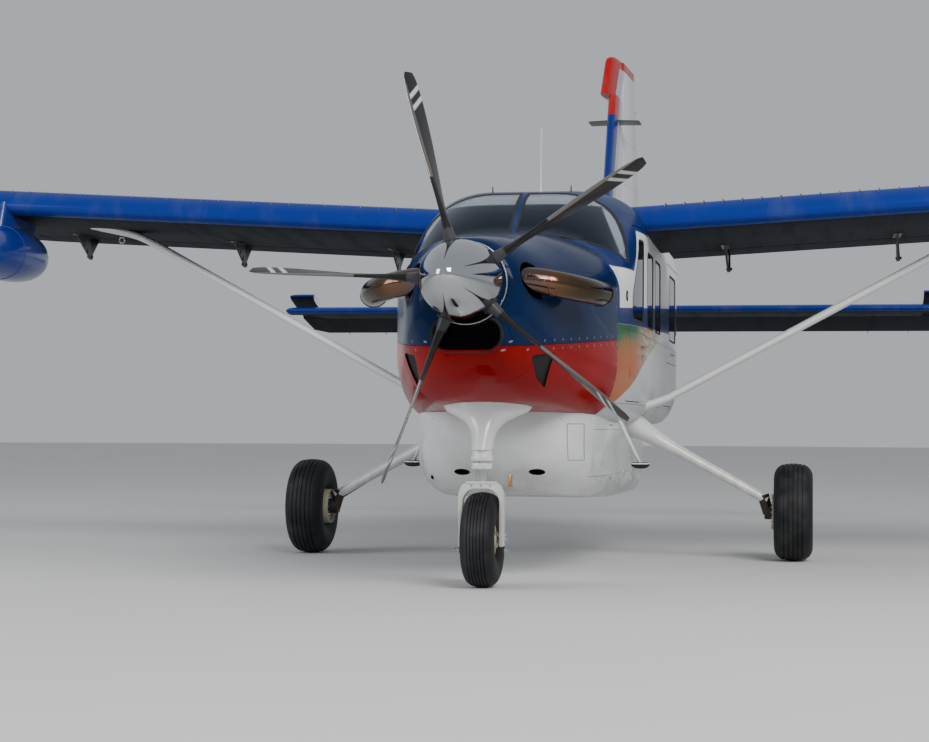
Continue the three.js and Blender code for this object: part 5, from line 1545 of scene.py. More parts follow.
    def hardware(self) -> None:
        """Builds door handles, hinge knuckles and the fuselage side port."""
        x = FORM.row(2.05)[1]
        dish = Shape.turned(self.dish, spot(x, 2.04, 1.45), Axis.X, 28)
        handle = self.handle(spot(x + 0.004, 1.93, 1.53), 0.15, 0.022).with_parts(dish)
        handle.pair("door_handle_{}", STEEL, "hub_steel", body="crew_door_{}")
        pull = self.handle(spot(FORM.row(5.0)[1] + 0.003, 4.7, 1.58), 0.14, 0.02)
        pull.piece("cargo_handle", STEEL, "hub_steel", body="cargo_door_upper")
        x = FORM.row(1.352)[1] - 0.0055
        knuckles = [Shape.tube([spot(x, 1.349, z), spot(x, 1.349, z + 0.09)], 0.0075, 12, hint=Axis.X.value)
                    for z in (1.3, 1.62)]
        knuckles = Shape().with_parts(*[knuckle.bevelled(0.002) for knuckle in knuckles])
        knuckles.pair("door_knuckles_{}", FuselagePaint(), "cabin_white")
        port = Shape.turned(self.static_port, spot(FORM.row(1.21)[1], 1.21, 1.84), Axis.X, 28)
        port.piece("static_port", BLACK_AND_SHADE, "panel_black")
        bar = Shape.tube([spot(0.789, 4.17, 2.309), spot(0.789, 5.39, 2.309)], 0.0065, 12)
        bar.piece("cargo_hinge_bar", WHITE_PAINT, "cabin_white")


@dataclass
class TailCone:
    """Tapering tail with the plate under the rudder's foot."""

    front: float = 5.7003
    rear: float = 7.99
    foot: float = 2.0597
    plate_half: float = 0.045

    def build(self) -> None:
        """Builds the cone and the plate as one hollow piece, and the cap behind."""
        cone = FORM.solid(self.front, self.rear).less(FORM.solid(self.front - 0.05, 7.76, Wall.even(-0.018)))
        plate = Shape.box(spot(-self.plate_half, 7.8, self.foot - 0.022), spot(self.plate_half, 8.105, self.foot))
        cone.with_parts(plate.bevelled(0.004)).piece("tail_cone_skin", FuselagePaint(), "cabin_white", "tail_cone")
        cap = Shape.box(spot(-0.07, 7.94, 2.13), spot(0.07, 7.998, 2.37), 0.012)
        cap.piece("tail_cap", WHITE_PAINT, "cabin_white")


def oval_body(rows: Table, sides: int, per_span: int, tail: float = 0.0) -> Shape:
    """Draws a streamlined leg or strut.

    Args:
        rows: Rows of X, station, height, half chord and half thickness along it.
        sides: Points round a section.
        per_span: Sections between two rows.
        tail: How far the rear of a section thins to an edge, from 0 to 1.

    Returns:
        The closed body.
    """
    samples = flowing(rows, per_span)
    centres = [spot(*row[:3]) for row in samples]
    rings = []
    for i, (centre, row) in enumerate(zip(centres, samples)):
        along = (centres[min(i + 1, len(centres) - 1)] - centres[max(i - 1, 0)]).normalized()
        chord = (Axis.Y.value - along * along.y).normalized()
        over = along.cross(chord)
        rings.append([centre + chord * row[3] * math.cos(a)
                      + over * row[4] * math.sin(a) * (1 - tail * 0.5 * (1 + math.cos(a))) for a in around(sides)])
    return Shape.loft(rings)


def studs(centre: Vector, axis: Axis, circle: float, count: int, size: float, height: float) -> Shape:
    """Makes a ring of hexagonal bolt heads round an axis.

    Args:
        centre: The ring's centre.
        axis: The direction in which they stand out.
        circle: The ring's radius.
        count: How many there are.
        size: A head's radius.
        height: A head's height, negative to stand out the other way.

    Returns:
        The heads.
    """
    made = Shape()
    for angle in around(count):
        hint = Matrix.Rotation(angle, 3, axis.value) @ axis.across
        foot = centre + hint * circle
        head = Shape.tube([foot, foot + axis.value * height], size, 6, hint=hint)
        made.with_parts(head.bevelled(size * 0.12, 1))
    return made


def wedge(nose: Sequence[float], edge: Sequence[float], thick: float, steps: int,
          place: Callable[[float, float], Vector]) -> list[Vector]:
    """Draws a control surface's section: a round nose, then a wedge to the trailing edge.

    Args:
        nose: The hinge line's station and height, and the nose's radius.
        edge: The trailing edge's station and height.
        thick: The trailing edge's thickness.
        steps: Points of the nose.
        place: Puts a station and a height of the section into the frame.

    Returns:
        The section's points.
    """
    station, height, radius = nose
    ring = [place(station + radius * math.cos(a), height + radius * math.sin(a))
            for a in spread(math.pi / 2, math.pi * 1.5, steps)]
    return [*ring, place(edge[0], edge[1] - thick / 2), place(edge[0], edge[1] + thick / 2)]


def wick(foot: Vector, reach: float = 0.09, rise: float = 0.0, hint: Axis = Axis.Z) -> Shape:
    """Returns a static discharge wick that points aft from a trailing edge."""
    return Shape.tube([foot - Vector((0, 0.01, 0)), foot + Vector((0, reach, rise))], [0.0035, 0.002], 8,
                      hint=hint.value)


@dataclass
class Wing:
    """Wings with flaps, ailerons, hinge brackets, vortex tabs and tip lights."""

    chord: tuple[float, float] = (2.204, 4.06)
    heights: tuple[float, float] = (2.385, 2.287)
    dihedral: float = 3.25
    upper: Table = ((0, 0), (0.012, 0.2), (0.05, 0.38), (0.1, 0.49), (0.25, 0.59), (0.4, 0.56), (0.6, 0.435),
                    (0.8, 0.245))
    lower: Table = ((0.8, -0.07), (0.55, -0.13), (0.3, -0.19), (0.12, -0.2), (0.04, -0.17), (0.01, -0.11))
    edge: float = 0.01
    # x, leading edge, trailing edge, thickness share
    rows: Table = ((0.56, 2.204, 4.06, 0.165), (4.4, 2.204, 4.06, 0.165), (6.48, 2.38, 3.64, 0.14))
    tip: tuple[float, float] = (6.6, 6.8665)
    # inner end, outer end, chord
    flap: tuple[float, float, float] = (0.85, 4.35, 0.5)
    aileron: tuple[float, float, float] = (4.45, 6.48, 0.33)
    gap: float = 0.009
    brackets: tuple[float, ...] = (1.295, 2.585, 3.915)
    pivot_drop: float = 0.18
    plate: float = 0.014
    wicks: tuple[float, ...] = (5.4, 5.9, 6.35)
    # first, last, count
    tabs: tuple[float, float, int] = (0.93, 6.39, 41)
    cap_places: tuple[float, ...] = (2.1, 3.6)
    cap_station: float = 2.95
    lamp_place: tuple[float, float] = (6.74, 2.5)
    # radius and distance along the axis of a fuel cap and of a tip lamp
    cap: Table = ((0, -0.006), (0.048, -0.006), (0.05, 0.0), (0.044, 0.004), (0.02, 0.004), (0.018, 0.007), (0, 0.007))
    lamp: Table = ((0, -0.045), (0.016, -0.04), (0.024, -0.02), (0.024, 0.02), (0.016, 0.045), (0, 0.05))
    lamp_colours: Table = ((0.5, 0.01, 0.01), (0.01, 0.35, 0.06))

    @property
    def flap_nose(self) -> float:
        """Returns the station of the flap's nose."""
        return self.chord[1] - self.flap[2]

    @property
    def pivot(self) -> tuple[float, float]:
        """Returns the station and height of the flap's pivots."""
        return self.flap_nose + 0.06, self.chord_height(self.flap_nose) - self.pivot_drop

    def chord_height(self, station: float) -> float:
        """Returns the chord plane's height on the flat wing."""
        low, high = self.chord
        return self.heights[0] + (self.heights[1] - self.heights[0]) * (station - low) / (high - low)

    def row_at(self, x: float) -> list[float]:
        """Eases between the rows of the plan.

        Args:
            x: The distance out.

        Returns:
            The leading edge, the trailing edge and the thickness share there.
        """
        after = max(next((i for i, row in enumerate(self.rows) if row[0] >= x), len(self.rows) - 1), 1)
        low, high = self.rows[after - 1], self.rows[after]
        t = (x - low[0]) / (high[0] - low[0])
        return [a + (b - a) * t for a, b in zip(low[1:], high[1:])]

    def surface(self, x: float, station: float, upper: bool) -> float:
        """Measures the flat wing's skin.

        Args:
            x: The distance out.
            station: The station.
            upper: Whether the upper skin is meant.

        Returns:
            The skin's height at that point.
        """
        leading, trailing, share = self.row_at(x)
        table = [*self.upper, (1, 0)] if upper else [(0, 0), *reversed(self.lower), (1, 0)]
        along = (station - leading) / (trailing - leading)
        after = max(next(i for i, p in enumerate(table) if p[0] >= along), 1)
        (a, low), (b, high) = table[after - 1], table[after]
        height = low + (high - low) * (along - a) / (b - a)
        return self.chord_height(station) + height * (trailing - leading) * share

    def section(self, x: float, leading: float, trailing: float, share: float) -> list[Vector]:
        """Draws one smooth wing section.

        Args:
            x: The distance out.
            leading: The leading edge's station.
            trailing: The trailing edge's station.
            share: The thickness as a share of the chord.

        Returns:
            The section's points.
        """
        chord = trailing - leading
        rim = self.edge / 2 / (chord * share)
        points = flowing([(1, rim), *reversed(self.upper), *reversed(self.lower), (1, -rim)], 4)
        return [spot(x, leading + a * chord, self.chord_height(leading + a * chord) + h * chord * share)
                for a, h in points]

    def raised(self, *shapes: Shape) -> Shape:
        """Joins flat-built shapes and turns them up by the dihedral."""
        made = Shape().with_parts(*shapes)
        return made.moved(about(Vector((0, 0, self.heights[0])), -self.dihedral, "Y"))

    def flat(self) -> Shape:
        """Returns the flat wing with a rounded tip and both bays open."""
        rings = [self.section(x, *self.row_at(x)) for x in (0.56, 2.5, 4.38, 4.42, 5.5, 6.48, self.tip[0])]
        start, end = self.tip
        leading, trailing, share = self.row_at(self.rows[-1][0])
        for angle in (math.radians(a) for a in spread(15, 90, 6)):
            drawn = 1 - math.cos(angle)
            rings.append(self.section(start + (end - start) * math.sin(angle), leading + 0.01 + 0.2 * drawn,
                                      trailing - 0.01 - 0.13 * drawn, share - 0.005 - 0.095 * drawn))
        bay = Shape.box(spot(0, self.flap_nose - self.gap, 1.5), spot(self.flap[1] + self.gap, 4.2, 3.5))
        ends = [self.aileron[0] - self.gap, self.aileron[1] + self.gap]
        cut = [(x, self.hinge(x)[0] - self.hinge(x)[2] - self.gap) for x in ends]
        aileron_bay = Shape.prism([*cut, (ends[1], 4.2), (ends[0], 4.2)], Axis.Z, 1.5, 3.5)
        return Shape.loft(rings).less(bay, aileron_bay)

    def hinge(self, x: float) -> tuple[float, float, float]:
        """Finds the aileron's hinge.

        Args:
            x: The distance out.

        Returns:
            The hinge's station and height, and the aileron's nose radius.
        """
        x = min(x, self.aileron[1])
        station = self.row_at(x)[1] - self.aileron[2]
        top, under = self.surface(x, station, True), self.surface(x, station, False)
        return station, (top + under) / 2, (top - under) / 2 - 0.001

    def flap_ring(self, x: float) -> list[Vector]:
        """Draws the flap's section.

        Args:
            x: The distance out.

        Returns:
            The section's points.
        """
        top = self.surface(x, self.flap_nose, True)
        half = (top - self.surface(x, self.flap_nose, False)) / 2
        rear = self.chord[1]
        return wedge((self.flap_nose + half, top - half, half), (rear, self.chord_height(rear)), self.edge, 17,
                     lambda s, z: spot(x, s, z))

    def aileron_ring(self, x: float) -> list[Vector]:
        """Returns the aileron's section at a distance out."""
        rear = self.hinge(x)[0] + self.aileron[2]
        return wedge(self.hinge(x), (rear, self.chord_height(rear)), self.edge, 17, lambda s, z: spot(x, s, z))

    def build(self) -> None:
        """Builds both wings with their moving surfaces."""
        wing = self.raised(self.flat()).less(FORM.solid(1.9, 4.4, SNUG))
        flap = self.raised(Shape.loft([self.flap_ring(x) for x in spread(*self.flap[:2], 5)]))
        aileron = self.raised(Shape.loft([self.aileron_ring(x) for x in spread(*self.aileron[:2], 5)]))
        for skin, name, node, body in ((wing, "wing_skin_{}", "wing_{}", "airframe"),
                                       (flap, "flap_skin_{}", "flap_{}", "flap_{}"),
                                       (aileron, "aileron_skin_{}", "aileron_{}", "aileron_{}")):
            # Downward faces behind the blue nose get the near-black underside finish: painted shade.
            skin.painted(1, lambda f: f.normal.z < -0.4 and self.behind_nose(f) > WING_PAINT.lower_depth)
            skin.pair(name, [WING_PAINT, WING_UNDERSIDE_SHADE], "wing_blue", node, body=body)
        self.flap_arms().pair("flap_arms_{}", BLACK_PAINT, "panel_black", body="flap_{}")
        self.bracket_plates().pair("flap_brackets_{}", BLACK_PAINT, "panel_black")
        wicks = [wick(spot(x, rear, self.chord_height(rear)), 0.1, -0.004)
                 for x, rear in ((x, self.hinge(x)[0] + self.aileron[2]) for x in self.wicks)]
        self.raised(*wicks).pair("static_wicks_{}", BLACK_PAINT, "panel_black", body="aileron_{}")
        metal = BareMetal("tab_metal", (0.32, 0.34, 0.38), 0.35)
        self.vortex_tabs().pair("vortex_tabs_{}", metal, "wing_blue")
        caps = [Shape.turned(self.cap, spot(x, self.cap_station, self.surface(x, self.cap_station, True)), Axis.Z, 32)
                for x in self.cap_places]
        self.raised(*caps).pair("fuel_caps_{}", STEEL, "hub_steel")
        x, station = self.lamp_place
        centre = spot(x, station, self.chord_height(station) + 0.012)
        lamp = self.raised(Shape.turned(self.lamp, centre, Axis.Y, 24))
        for side, colour in zip(Side, self.lamp_colours):
            lamp.facing(side).copy().piece(f"tip_lamp_{side.word}", Lamp(f"lamp_{side.word}", colour), "glass")

    def behind_nose(self, face: bmesh.types.BMFace) -> float:
        """Returns how far a face of the port wing lies behind the leading edge."""
        centre = face.calc_center_median()
        return centre.y - STATION_ZERO - self.row_at(min(max(centre.x, self.rows[0][0]), self.rows[-1][0]))[0]

    def flap_arms(self) -> Shape:
        """Returns the arms that carry the flap on its pivots."""
        (s, z), nose = self.pivot, self.flap_nose
        arm = softened([(s - 0.026, z), (s, z - 0.026), (s + 0.03, z), (nose + 0.26, self.chord_height(nose + 0.26)),
                        (nose + 0.07, self.chord_height(nose + 0.07) - 0.01)], 0.012)
        arms = [Shape.prism(arm, Axis.X, x + self.plate / 2 + 0.0005, x + self.plate * 1.5) for x in self.brackets]
        return self.raised(*[arm.bevelled(0.0015) for arm in arms])

    def bracket_plates(self) -> Shape:
        """Returns the flap hinge brackets with their flanges, pivot bolts and lightening holes."""
        made = []
        (s, z), front, rear = self.pivot, self.flap_nose - 0.33, self.flap_nose - self.gap - 0.02
        for x in self.brackets:
            outline = [(front, self.surface(x, front, False) + 0.012), (s - 0.03, z - 0.018), (s + 0.006, z - 0.028),
                       (s + 0.028, z + 0.006), (s, z + 0.026), (rear, self.surface(x, rear, False) + 0.012)]
            plate = Shape.prism(softened(outline, 0.012), Axis.X, x - self.plate / 2, x + self.plate / 2)
            holes = [Shape.drum(size, -0.05, 0.05, spot(x, s - back, z + up), Axis.X, 24)
                     for back, up, size in ((0.11, 0.045, 0.018), (0.19, 0.085, 0.014))]
            flange = Shape.prism([(x - 0.03, front - 0.005), (x + 0.03, front - 0.005), (x + 0.03, rear),
                                  (x - 0.03, rear)], Axis.Z, 0, 0.008)
            for vert in flange.mesh.verts:
                vert.co.z += self.surface(x, vert.co.y - STATION_ZERO, False) - 0.005
            bolt = Shape.tube([spot(x - 0.013, s, z), spot(x + 0.034, s, z)], 0.012, 6).bevelled(0.001, 1)
            made += [plate.less(*holes).bevelled(0.0015, 1), flange, bolt]
        return self.raised(*made)

    def vortex_tabs(self) -> Shape:
        """Returns the row of small upright tabs behind the upper leading edge."""
        made = []
        turn = Matrix.Rotation(math.radians(-18), 4, "Z")
        for x in spread(*self.tabs):
            station = self.row_at(x)[0] + 0.12
            tab = Shape.box(Vector((-0.0012, -0.02, -0.004)), Vector((0.0012, 0.02, 0.022)))
            made.append(tab.moved(Matrix.Translation(spot(x, station, self.surface(x, station, True))) @ turn))
        return self.raised(*made)


@dataclass
class Struts:
    """Wing struts with their end fairings, and the pod under the starboard wing."""

    # x, station, height, half chord, half thickness
    rows: Table = ((0.6, 2.742, 1.085, 0.1, 0.048), (0.72, 2.752, 1.122, 0.085, 0.04),
                   (0.9, 2.765, 1.185, 0.066, 0.034), (3.06, 2.88, 2.358, 0.062, 0.034),
                   (3.24, 2.885, 2.446, 0.095, 0.036), (3.42, 2.88, 2.496, 0.15, 0.042),
                   (3.6, 2.87, 2.53, 0.17, 0.04))
    ring_place: tuple[float, float, float] = (3.33, 2.74, 2.455)
    pod_x: float = -4.075
    pod_height: float = 2.262
    pod_front: float = 1.72
    pod_length: float = 1.15
    pod_radius: float = 0.205
    # shares of the pod's radius and length
    pod_profile: Table = ((0, 0), (0.35, 0.03), (0.62, 0.1), (0.85, 0.22), (1, 0.4), (1, 0.6), (0.86, 0.8),
                          (0.55, 0.93), (0, 1))
    # shares of the pod's radius, and distances along the seam's band
    seam: Table = ((0.2, 0.0), (0.992, 0.0), (1.003, 0.003), (0.992, 0.006), (0.2, 0.006), (0.2, 0.0))

    def build(self, wing: Wing) -> None:
        """Builds the struts and the pod, cut off at the fuselage and the wing's underside.

        Args:
            wing: The wing that they meet.
        """
        first, last = self.rows[2], self.rows[3]
        middle = [[a + (b - a) * t for a, b in zip(first, last)] for t in (0.06, 0.5, 0.94)]
        above = wing.raised(Shape.loft([wing.section(x, *wing.row_at(x)) for x in (0.5, 4.4, 6.4)]))
        strut = oval_body([*self.rows[:3], *middle, *self.rows[3:]], 32, 5, 0.35)
        strut.less(FORM.solid(1.9, 4.4, SNUG), above).pair("strut_tube_{}", WHITE_PAINT, "strut_white", "strut_{}")
        self.tie_ring().pair("tie_ring_{}", STEEL, "hub_steel")
        profile = [(max(r * self.pod_radius, 0.0), min(max(a * self.pod_length, 0.0), self.pod_length))
                   for r, a in flowing(self.pod_profile, 4)]
        pod = Shape.turned(profile, spot(self.pod_x, self.pod_front, self.pod_height), Axis.Y, 48)
        rings = []
        for height in spread(self.pod_height + 0.02, self.pod_height + 0.39, 5):
            t = (height - self.pod_height) / 0.42
            front, rear = self.pod_front + 0.33 + 0.15 * t, self.pod_front + 1.0 + 0.15 * t
            rings.append([spot(self.pod_x + 0.068 * math.sin(a) * (0.75 - 0.25 * math.cos(a)),
                               (front + rear) / 2 + (rear - front) / 2 * math.cos(a), height) for a in around(40)])
        seam = Shape.turned([(self.pod_radius * r, a) for r, a in self.seam],
                            spot(self.pod_x, self.pod_front + 0.42, self.pod_height), Axis.Y, 48)
        pod.with_parts(Shape.loft(rings).less(above.mirrored()), seam)
        pod.piece("radar_pod_shell", Enamel("radome_blue", BLUE, 0.2, 0.5), "wing_blue", "radar_pod")

    def tie_ring(self) -> Shape:
        """Returns the mooring ring that hangs from the port wing beside the strut's fairing."""
        x, station, height = self.ring_place
        stem = Shape.tube([spot(x, station, height + 0.03), spot(x, station, height - 0.03)], [0.011, 0.007], 12)
        ring = [(0.022 + 0.005 * math.cos(a), 0.005 * math.sin(a)) for a in spread(0, FULL_TURN, 11)]
        return stem.with_parts(Shape.turned(ring, spot(x, station, height - 0.052), Axis.Y, 32))


@dataclass
class Tail:
    """Tailplane, elevators, fin and rudder, with antennas, lamp and wicks."""

    stab_height: float = 2.119
    stab_leading: float = 7.13
    stab_half: float = 0.046
    hinge: float = 7.85
    nose: float = 0.042
    elevator_chord: float = 0.58
    horn: tuple[float, float] = (2.995, 3.24)
    horn_nose: float = 7.25
    droop: float = 15.5
    gap: float = 0.009
    section: Table = ((0, 0), (0.03, 0.42), (0.12, 0.78), (0.4, 1), (1, 0.96))
    # x, distance behind the nose line, thickness share
    stab_rows: Table = ((0.06, 0.0, 1.0), (1.5, 0.0, 1.0), (3.2, 0.0, 1.0), (3.228, 0.006, 0.85), (3.24, 0.02, 0.55))
    horn_rows: Table = ((2.995, 0.0, 1.0), (3.18, 0.0, 1.0), (3.225, 0.01, 0.86), (3.24, 0.03, 0.6))
    # height, leading edge, half thickness
    fin_rows: Table = ((2.44, 5.5, 0.012), (2.62, 5.76, 0.016), (2.76, 6.42, 0.04), (3.1, 6.74, 0.052),
                       (4.262, 7.4, 0.05))
    rudder_horn: Table = ((4.271, 7.39, 0.05), (4.63, 7.59, 0.048), (4.665, 7.63, 0.046), (4.69, 7.7, 0.04))
    # height, change of chord
    rudder_rows: Table = ((2.06, 0.0), (2.3, 0.0), (4.282, -0.33), (4.69, -0.4))
    rudder_hinge: float = 8.06
    rudder_nose: float = 0.054
    rudder_rest: float = 8.0
    tail_end: float = 9.098
    edge: float = 0.01
    # distance out, half chord, half thickness
    nav_blade: Table = ((0.0, 0.17, 0.009), (0.2, 0.16, 0.006), (0.215, 0.145, 0.003))

    def fixed(self, leading: float, rear: float, half: float, place: Callable[[float, float], Vector]) -> list[Vector]:
        """Returns a symmetric section, smooth round its nose, put into the frame by place."""
        points = flowing([*reversed(self.section), *[(a, -h) for a, h in self.section[1:]]], 5)
        return [place(leading + (rear - leading) * a, half * h) for a, h in points]

    def level(self, rows: Table, leading: float, rear: float, half: float) -> Shape:
        """Returns a body of the tailplane through rows of X, distance behind the leading edge and thickness share."""
        return Shape.loft([self.fixed(leading + back, rear, half * thin,
                                      lambda s, z, x=x: spot(x, s, self.stab_height + z)) for x, back, thin in rows])

    def upright(self, rows: Table, rear: float) -> Shape:
        """Returns a body of the fin through rows of height, leading edge and half thickness."""
        return Shape.loft([self.fixed(leading, rear, half, lambda s, x, z=z: spot(x, s, z))
                           for z, leading, half in rows])

    def build(self) -> None:
        """Builds the whole tail."""
        inside = FORM.solid(5.3, 7.99, SNUG)
        stab = self.level(self.stab_rows, self.stab_leading, self.hinge - self.nose - self.gap, self.stab_half)
        notch = Shape.box(spot(self.horn[0] - self.gap, self.horn_nose - self.gap, 2.0), spot(3.4, 8.0, 2.3))
        under = self.stab_leading + STAB_PAINT.lower_depth
        for skin, name, node, body in ((stab.less(inside, notch), "stab_skin_{}", "tailplane_{}", "airframe"),
                                       (self.elevator(), "elevator_skin_{}", "elevator_{}", "elevator")):
            # Downward faces behind the blue nose get the near-black underside finish: painted shade.
            skin.painted(1, lambda f: f.normal.z < -0.4 and f.calc_center_median().y - STATION_ZERO > under)
            skin.pair(name, [STAB_PAINT, WING_UNDERSIDE_SHADE], "wing_blue", node, body=body)
        fin = self.upright(flowing(self.fin_rows, 5), self.rudder_hinge - self.rudder_nose - self.gap)
        fin.less(inside).piece("fin_skin", FinPaint(), "tail_white", "fin")
        root = spot(0.04, 7.68, 4.02)
        blade = Shape.loft([[root + Vector((out, half * math.cos(a) + out * 0.2, thick * math.sin(a)))
                             for a in around(24)] for out, half, thick in self.nav_blade])
        blade.pair("nav_blade_{}", BLACK_PAINT, "panel_black")
        self.rudder()

    def elevator(self) -> Shape:
        """Returns the port elevator with its horn, drooped."""
        hinge, rear, height = self.hinge, self.hinge + self.elevator_chord, self.stab_height
        body = Shape.loft([wedge((hinge, height, self.nose), (rear, height), self.edge, 15,
                                 lambda s, z, x=x: spot(x, s, z)) for x in (0.185, 1.2, 2.2, self.horn[1])])
        past = rear + 0.001
        inner = Shape.prism([(0.184, hinge), (0.385, past), (0.184, past)], Axis.Z, 1.5, 2.8)
        outer = Shape.prism([(3.11, past), (3.245, rear - 0.13), (3.245, past)], Axis.Z, 1.5, 2.8)
        horn = self.level(self.horn_rows, self.horn_nose, hinge, self.nose - 0.002)
        made = body.less(inner, outer).carved("UNION", horn)
        tube = Shape.tube([spot(0.104, hinge, height), spot(0.2, hinge, height)], 0.024, 20)
        made.with_parts(tube, *[wick(spot(x, rear, height)) for x in (2.5, 2.9)])
        return made.moved(about(spot(0, hinge, height), -self.droop, "X"))

    def rudder(self) -> None:
        """Builds the rudder with its horn, wicks and tail lamp, turned a little to port."""
        hinge, rest = self.rudder_hinge, math.radians(self.rudder_rest)
        rear = hinge + (self.tail_end - hinge - self.edge / 2 * math.sin(rest)) / math.cos(rest)
        body = Shape.loft([wedge((hinge, 0, self.rudder_nose), (rear + cut, 0), self.edge, 15,
                                 lambda s, x, z=z: spot(x, s, z)) for z, cut in self.rudder_rows])
        turn = about(spot(0, hinge, 0), -self.rudder_rest, "Z")
        made = body.bevelled(0.006, 2, 70).carved("UNION", self.upright(self.rudder_horn, hinge))
        made.moved(turn).piece("rudder_skin", FinPaint(), "tail_white", "rudder", body="rudder")
        wicks = Shape().with_parts(*[wick(spot(0, rear - 0.33 * (z - 2.3) / 1.98, z), hint=Axis.X)
                                     for z in (3.2, 3.8, 4.3)])
        wicks.moved(turn).piece("rudder_wicks", BLACK_PAINT, "panel_black", body="rudder")
        lamp = Shape.turned([(0, 0.0), (0.02, 0.0), (0.022, 0.012), (0.014, 0.028), (0, 0.034)],
                            spot(0, rear - 0.004, 2.2), Axis.Y, 20)
        lamp.moved(turn).piece("tail_lamp", Lamp("lamp_tail", (0.8, 0.8, 0.78)), "glass", body="rudder")


@dataclass
class CargoPod:
    """Belly pod with its cooling ovals, drain, latches and door hinges."""

    form: FuselageForm = field(default_factory=lambda: FuselageForm(rows=(
        (0.44, 0.33, 0.8, 1.14, 0.12, 0.09, 0.2, 0.17), (0.52, 0.44, 0.69, 1.14, 0.12, 0.09, 0.23, 0.23),
        (0.68, 0.52, 0.6, 1.14, 0.12, 0.09, 0.25, 0.24), (0.95, 0.585, 0.53, 1.14, 0.12, 0.09, 0.23, 0.22),
        (1.45, 0.612, 0.496, 1.14, 0.12, 0.09, 0.19, 0.17), (3.9, 0.612, 0.446, 1.14, 0.12, 0.09, 0.18, 0.16),
        (4.45, 0.56, 0.52, 1.14, 0.12, 0.09, 0.2, 0.2), (4.9, 0.4, 0.8, 1.14, 0.12, 0.09, 0.2, 0.18)),
        nose_depth=0.06, nose_round=0.05))
    # x, height, half width, half height, depth, facets
    inlets: Table = ((-0.227, 0.682, 0.052, 0.02, 0.72, 28), (0.253, 0.686, 0.052, 0.02, 0.72, 28),
                     (-0.46, 0.64, 0.014, 0.014, 0.9, 20))
    latch_stations: tuple[float, ...] = (1.55, 2.45, 3.05, 3.8)

    def build(self) -> None:
        """Builds the pod's shell, then its fittings."""
        # The inlet holes' walls are near-black: painted shade inside the openings.
        holes = [Shape.prism([(x + wide * math.cos(a), z + high * math.sin(a)) for a in around(sides)],
                             Axis.Y, 0.3, deep).painted(1) for x, z, wide, high, deep, sides in self.inlets]
        pod = self.form.solid(0.44, 4.9, pitch=0.07).less(FORM.solid(0.2, 5.4, SNUG, 0.15), *holes)
        pod.piece("pod_shell", [PodPaint(), BLACK_AND_SHADE], "pod_grey", "cargo_pod")
        path = [spot(0.08, 0.62, 0.705), spot(0.08, 0.575, 0.695), spot(0.08, 0.56, 0.665), spot(0.08, 0.56, 0.59)]
        drain = Shape.tube(path, [0.012, 0.012, 0.012, 0.014], 16, hint=Axis.X.value).bevelled(0.002)
        drain.piece("pod_drain", COPPER, "hub_steel")
        latches = Shape()
        for s in self.latch_stations:
            x = self.form.row(s)[1]
            latch = Shape.box(spot(x - 0.004, s - 0.028, 0.615), spot(x + 0.004, s + 0.028, 0.655), 0.003)
            hinge = Shape.tube([spot(x + 0.001, s - 0.06, 0.985), spot(x + 0.001, s + 0.06, 0.985)], 0.006, 10)
            latches.with_parts(latch, hinge.bevelled(0.001, 1))
        latches.with_parts(latches.mirrored()).piece("pod_latches", STEEL, "hub_steel")


@dataclass
class Step:
    """Crew steps with a grip pad."""

    station: float = 1.75
    pad: tuple[float, float] = (0.8, 0.71)
    root: tuple[float, float] = (0.64, 1.04)
    rim: Outline = ((-0.062, -0.085), (0.01, -0.08), (0.055, -0.045), (0.062, 0), (0.055, 0.045), (0.01, 0.08),
                    (-0.062, 0.085))
    # height above the pad's middle, share of the rim
    cap: Table = ((-0.022, 0.3), (-0.019, 0.56), (-0.012, 0.8), (-0.002, 0.95), (0.008, 1.0))

    def build(self) -> None:
        """Builds both steps."""
        x, z = self.pad
        outline = softened([(x + out, self.station + along) for out, along in self.rim], 0.02)
        tubes = Shape().with_parts(*[
            Shape.tube([spot(self.root[0], self.station + sign * 0.07, self.root[1]),
                        spot(x, self.station + sign * 0.01, z)], 0.015, 16, 0.6) for sign in (-1, 1)])
        plate = Shape.prism(outline, Axis.Z, z + 0.008, z + 0.018).bevelled(0.003)
        frame_parts = tubes.less(FORM.solid(1.4, 2.1, SNUG, 0.15)).with_parts(plate)
        frame_parts.pair("step_frame_{}", WHITE_PAINT, "strut_white", "crew_step_{}")
        grip = Shape.prism(widened(outline, -0.006), Axis.Z, z + 0.0175, z + 0.0215)
        cap = Shape.loft([[spot(x + (a - x) * share, self.station + (b - self.station) * share, z + rise)
                           for a, b in outline] for rise, share in self.cap])
        grip.with_parts(cap).pair("step_grip_{}", RUBBER_SEAL, "panel_black")


def tyre(radius: float, half: float, bead: float, grooves: Sequence[float], groove: Sequence[float],
         centre: Vector, steps: int) -> Shape:
    """Makes a ribbed tyre.

    Args:
        radius: The tread's radius.
        half: Half the tyre's width.
        bead: The rim's radius.
        grooves: Where the grooves lie, across.
        groove: Half a groove's width, and its depth.
        centre: The wheel's centre.
        steps: Facets round the axle.

    Returns:
        The tyre.
    """
    depth, crown = radius - bead, 0.011
    side = flowing([(bead, 0.66 * half), (bead + depth * 0.25, 0.93 * half), (bead + depth * 0.6, half),
                    (radius - depth * 0.17, 0.85 * half), (radius - crown, 0.6 * half)], 5)
    tread = []
    for middle in sorted(grooves, reverse=True):
        top = radius - crown * (abs(middle) / (0.6 * half)) ** 2
        tread += [(top, middle + groove[0]), (top - groove[1], middle + groove[0] * 0.7),
                  (top - groove[1], middle - groove[0] * 0.7), (top, middle - groove[0])]
    return Shape.turned([*side, *tread, *[(r, -a) for r, a in reversed(side)], side[0]], centre, Axis.X, steps)


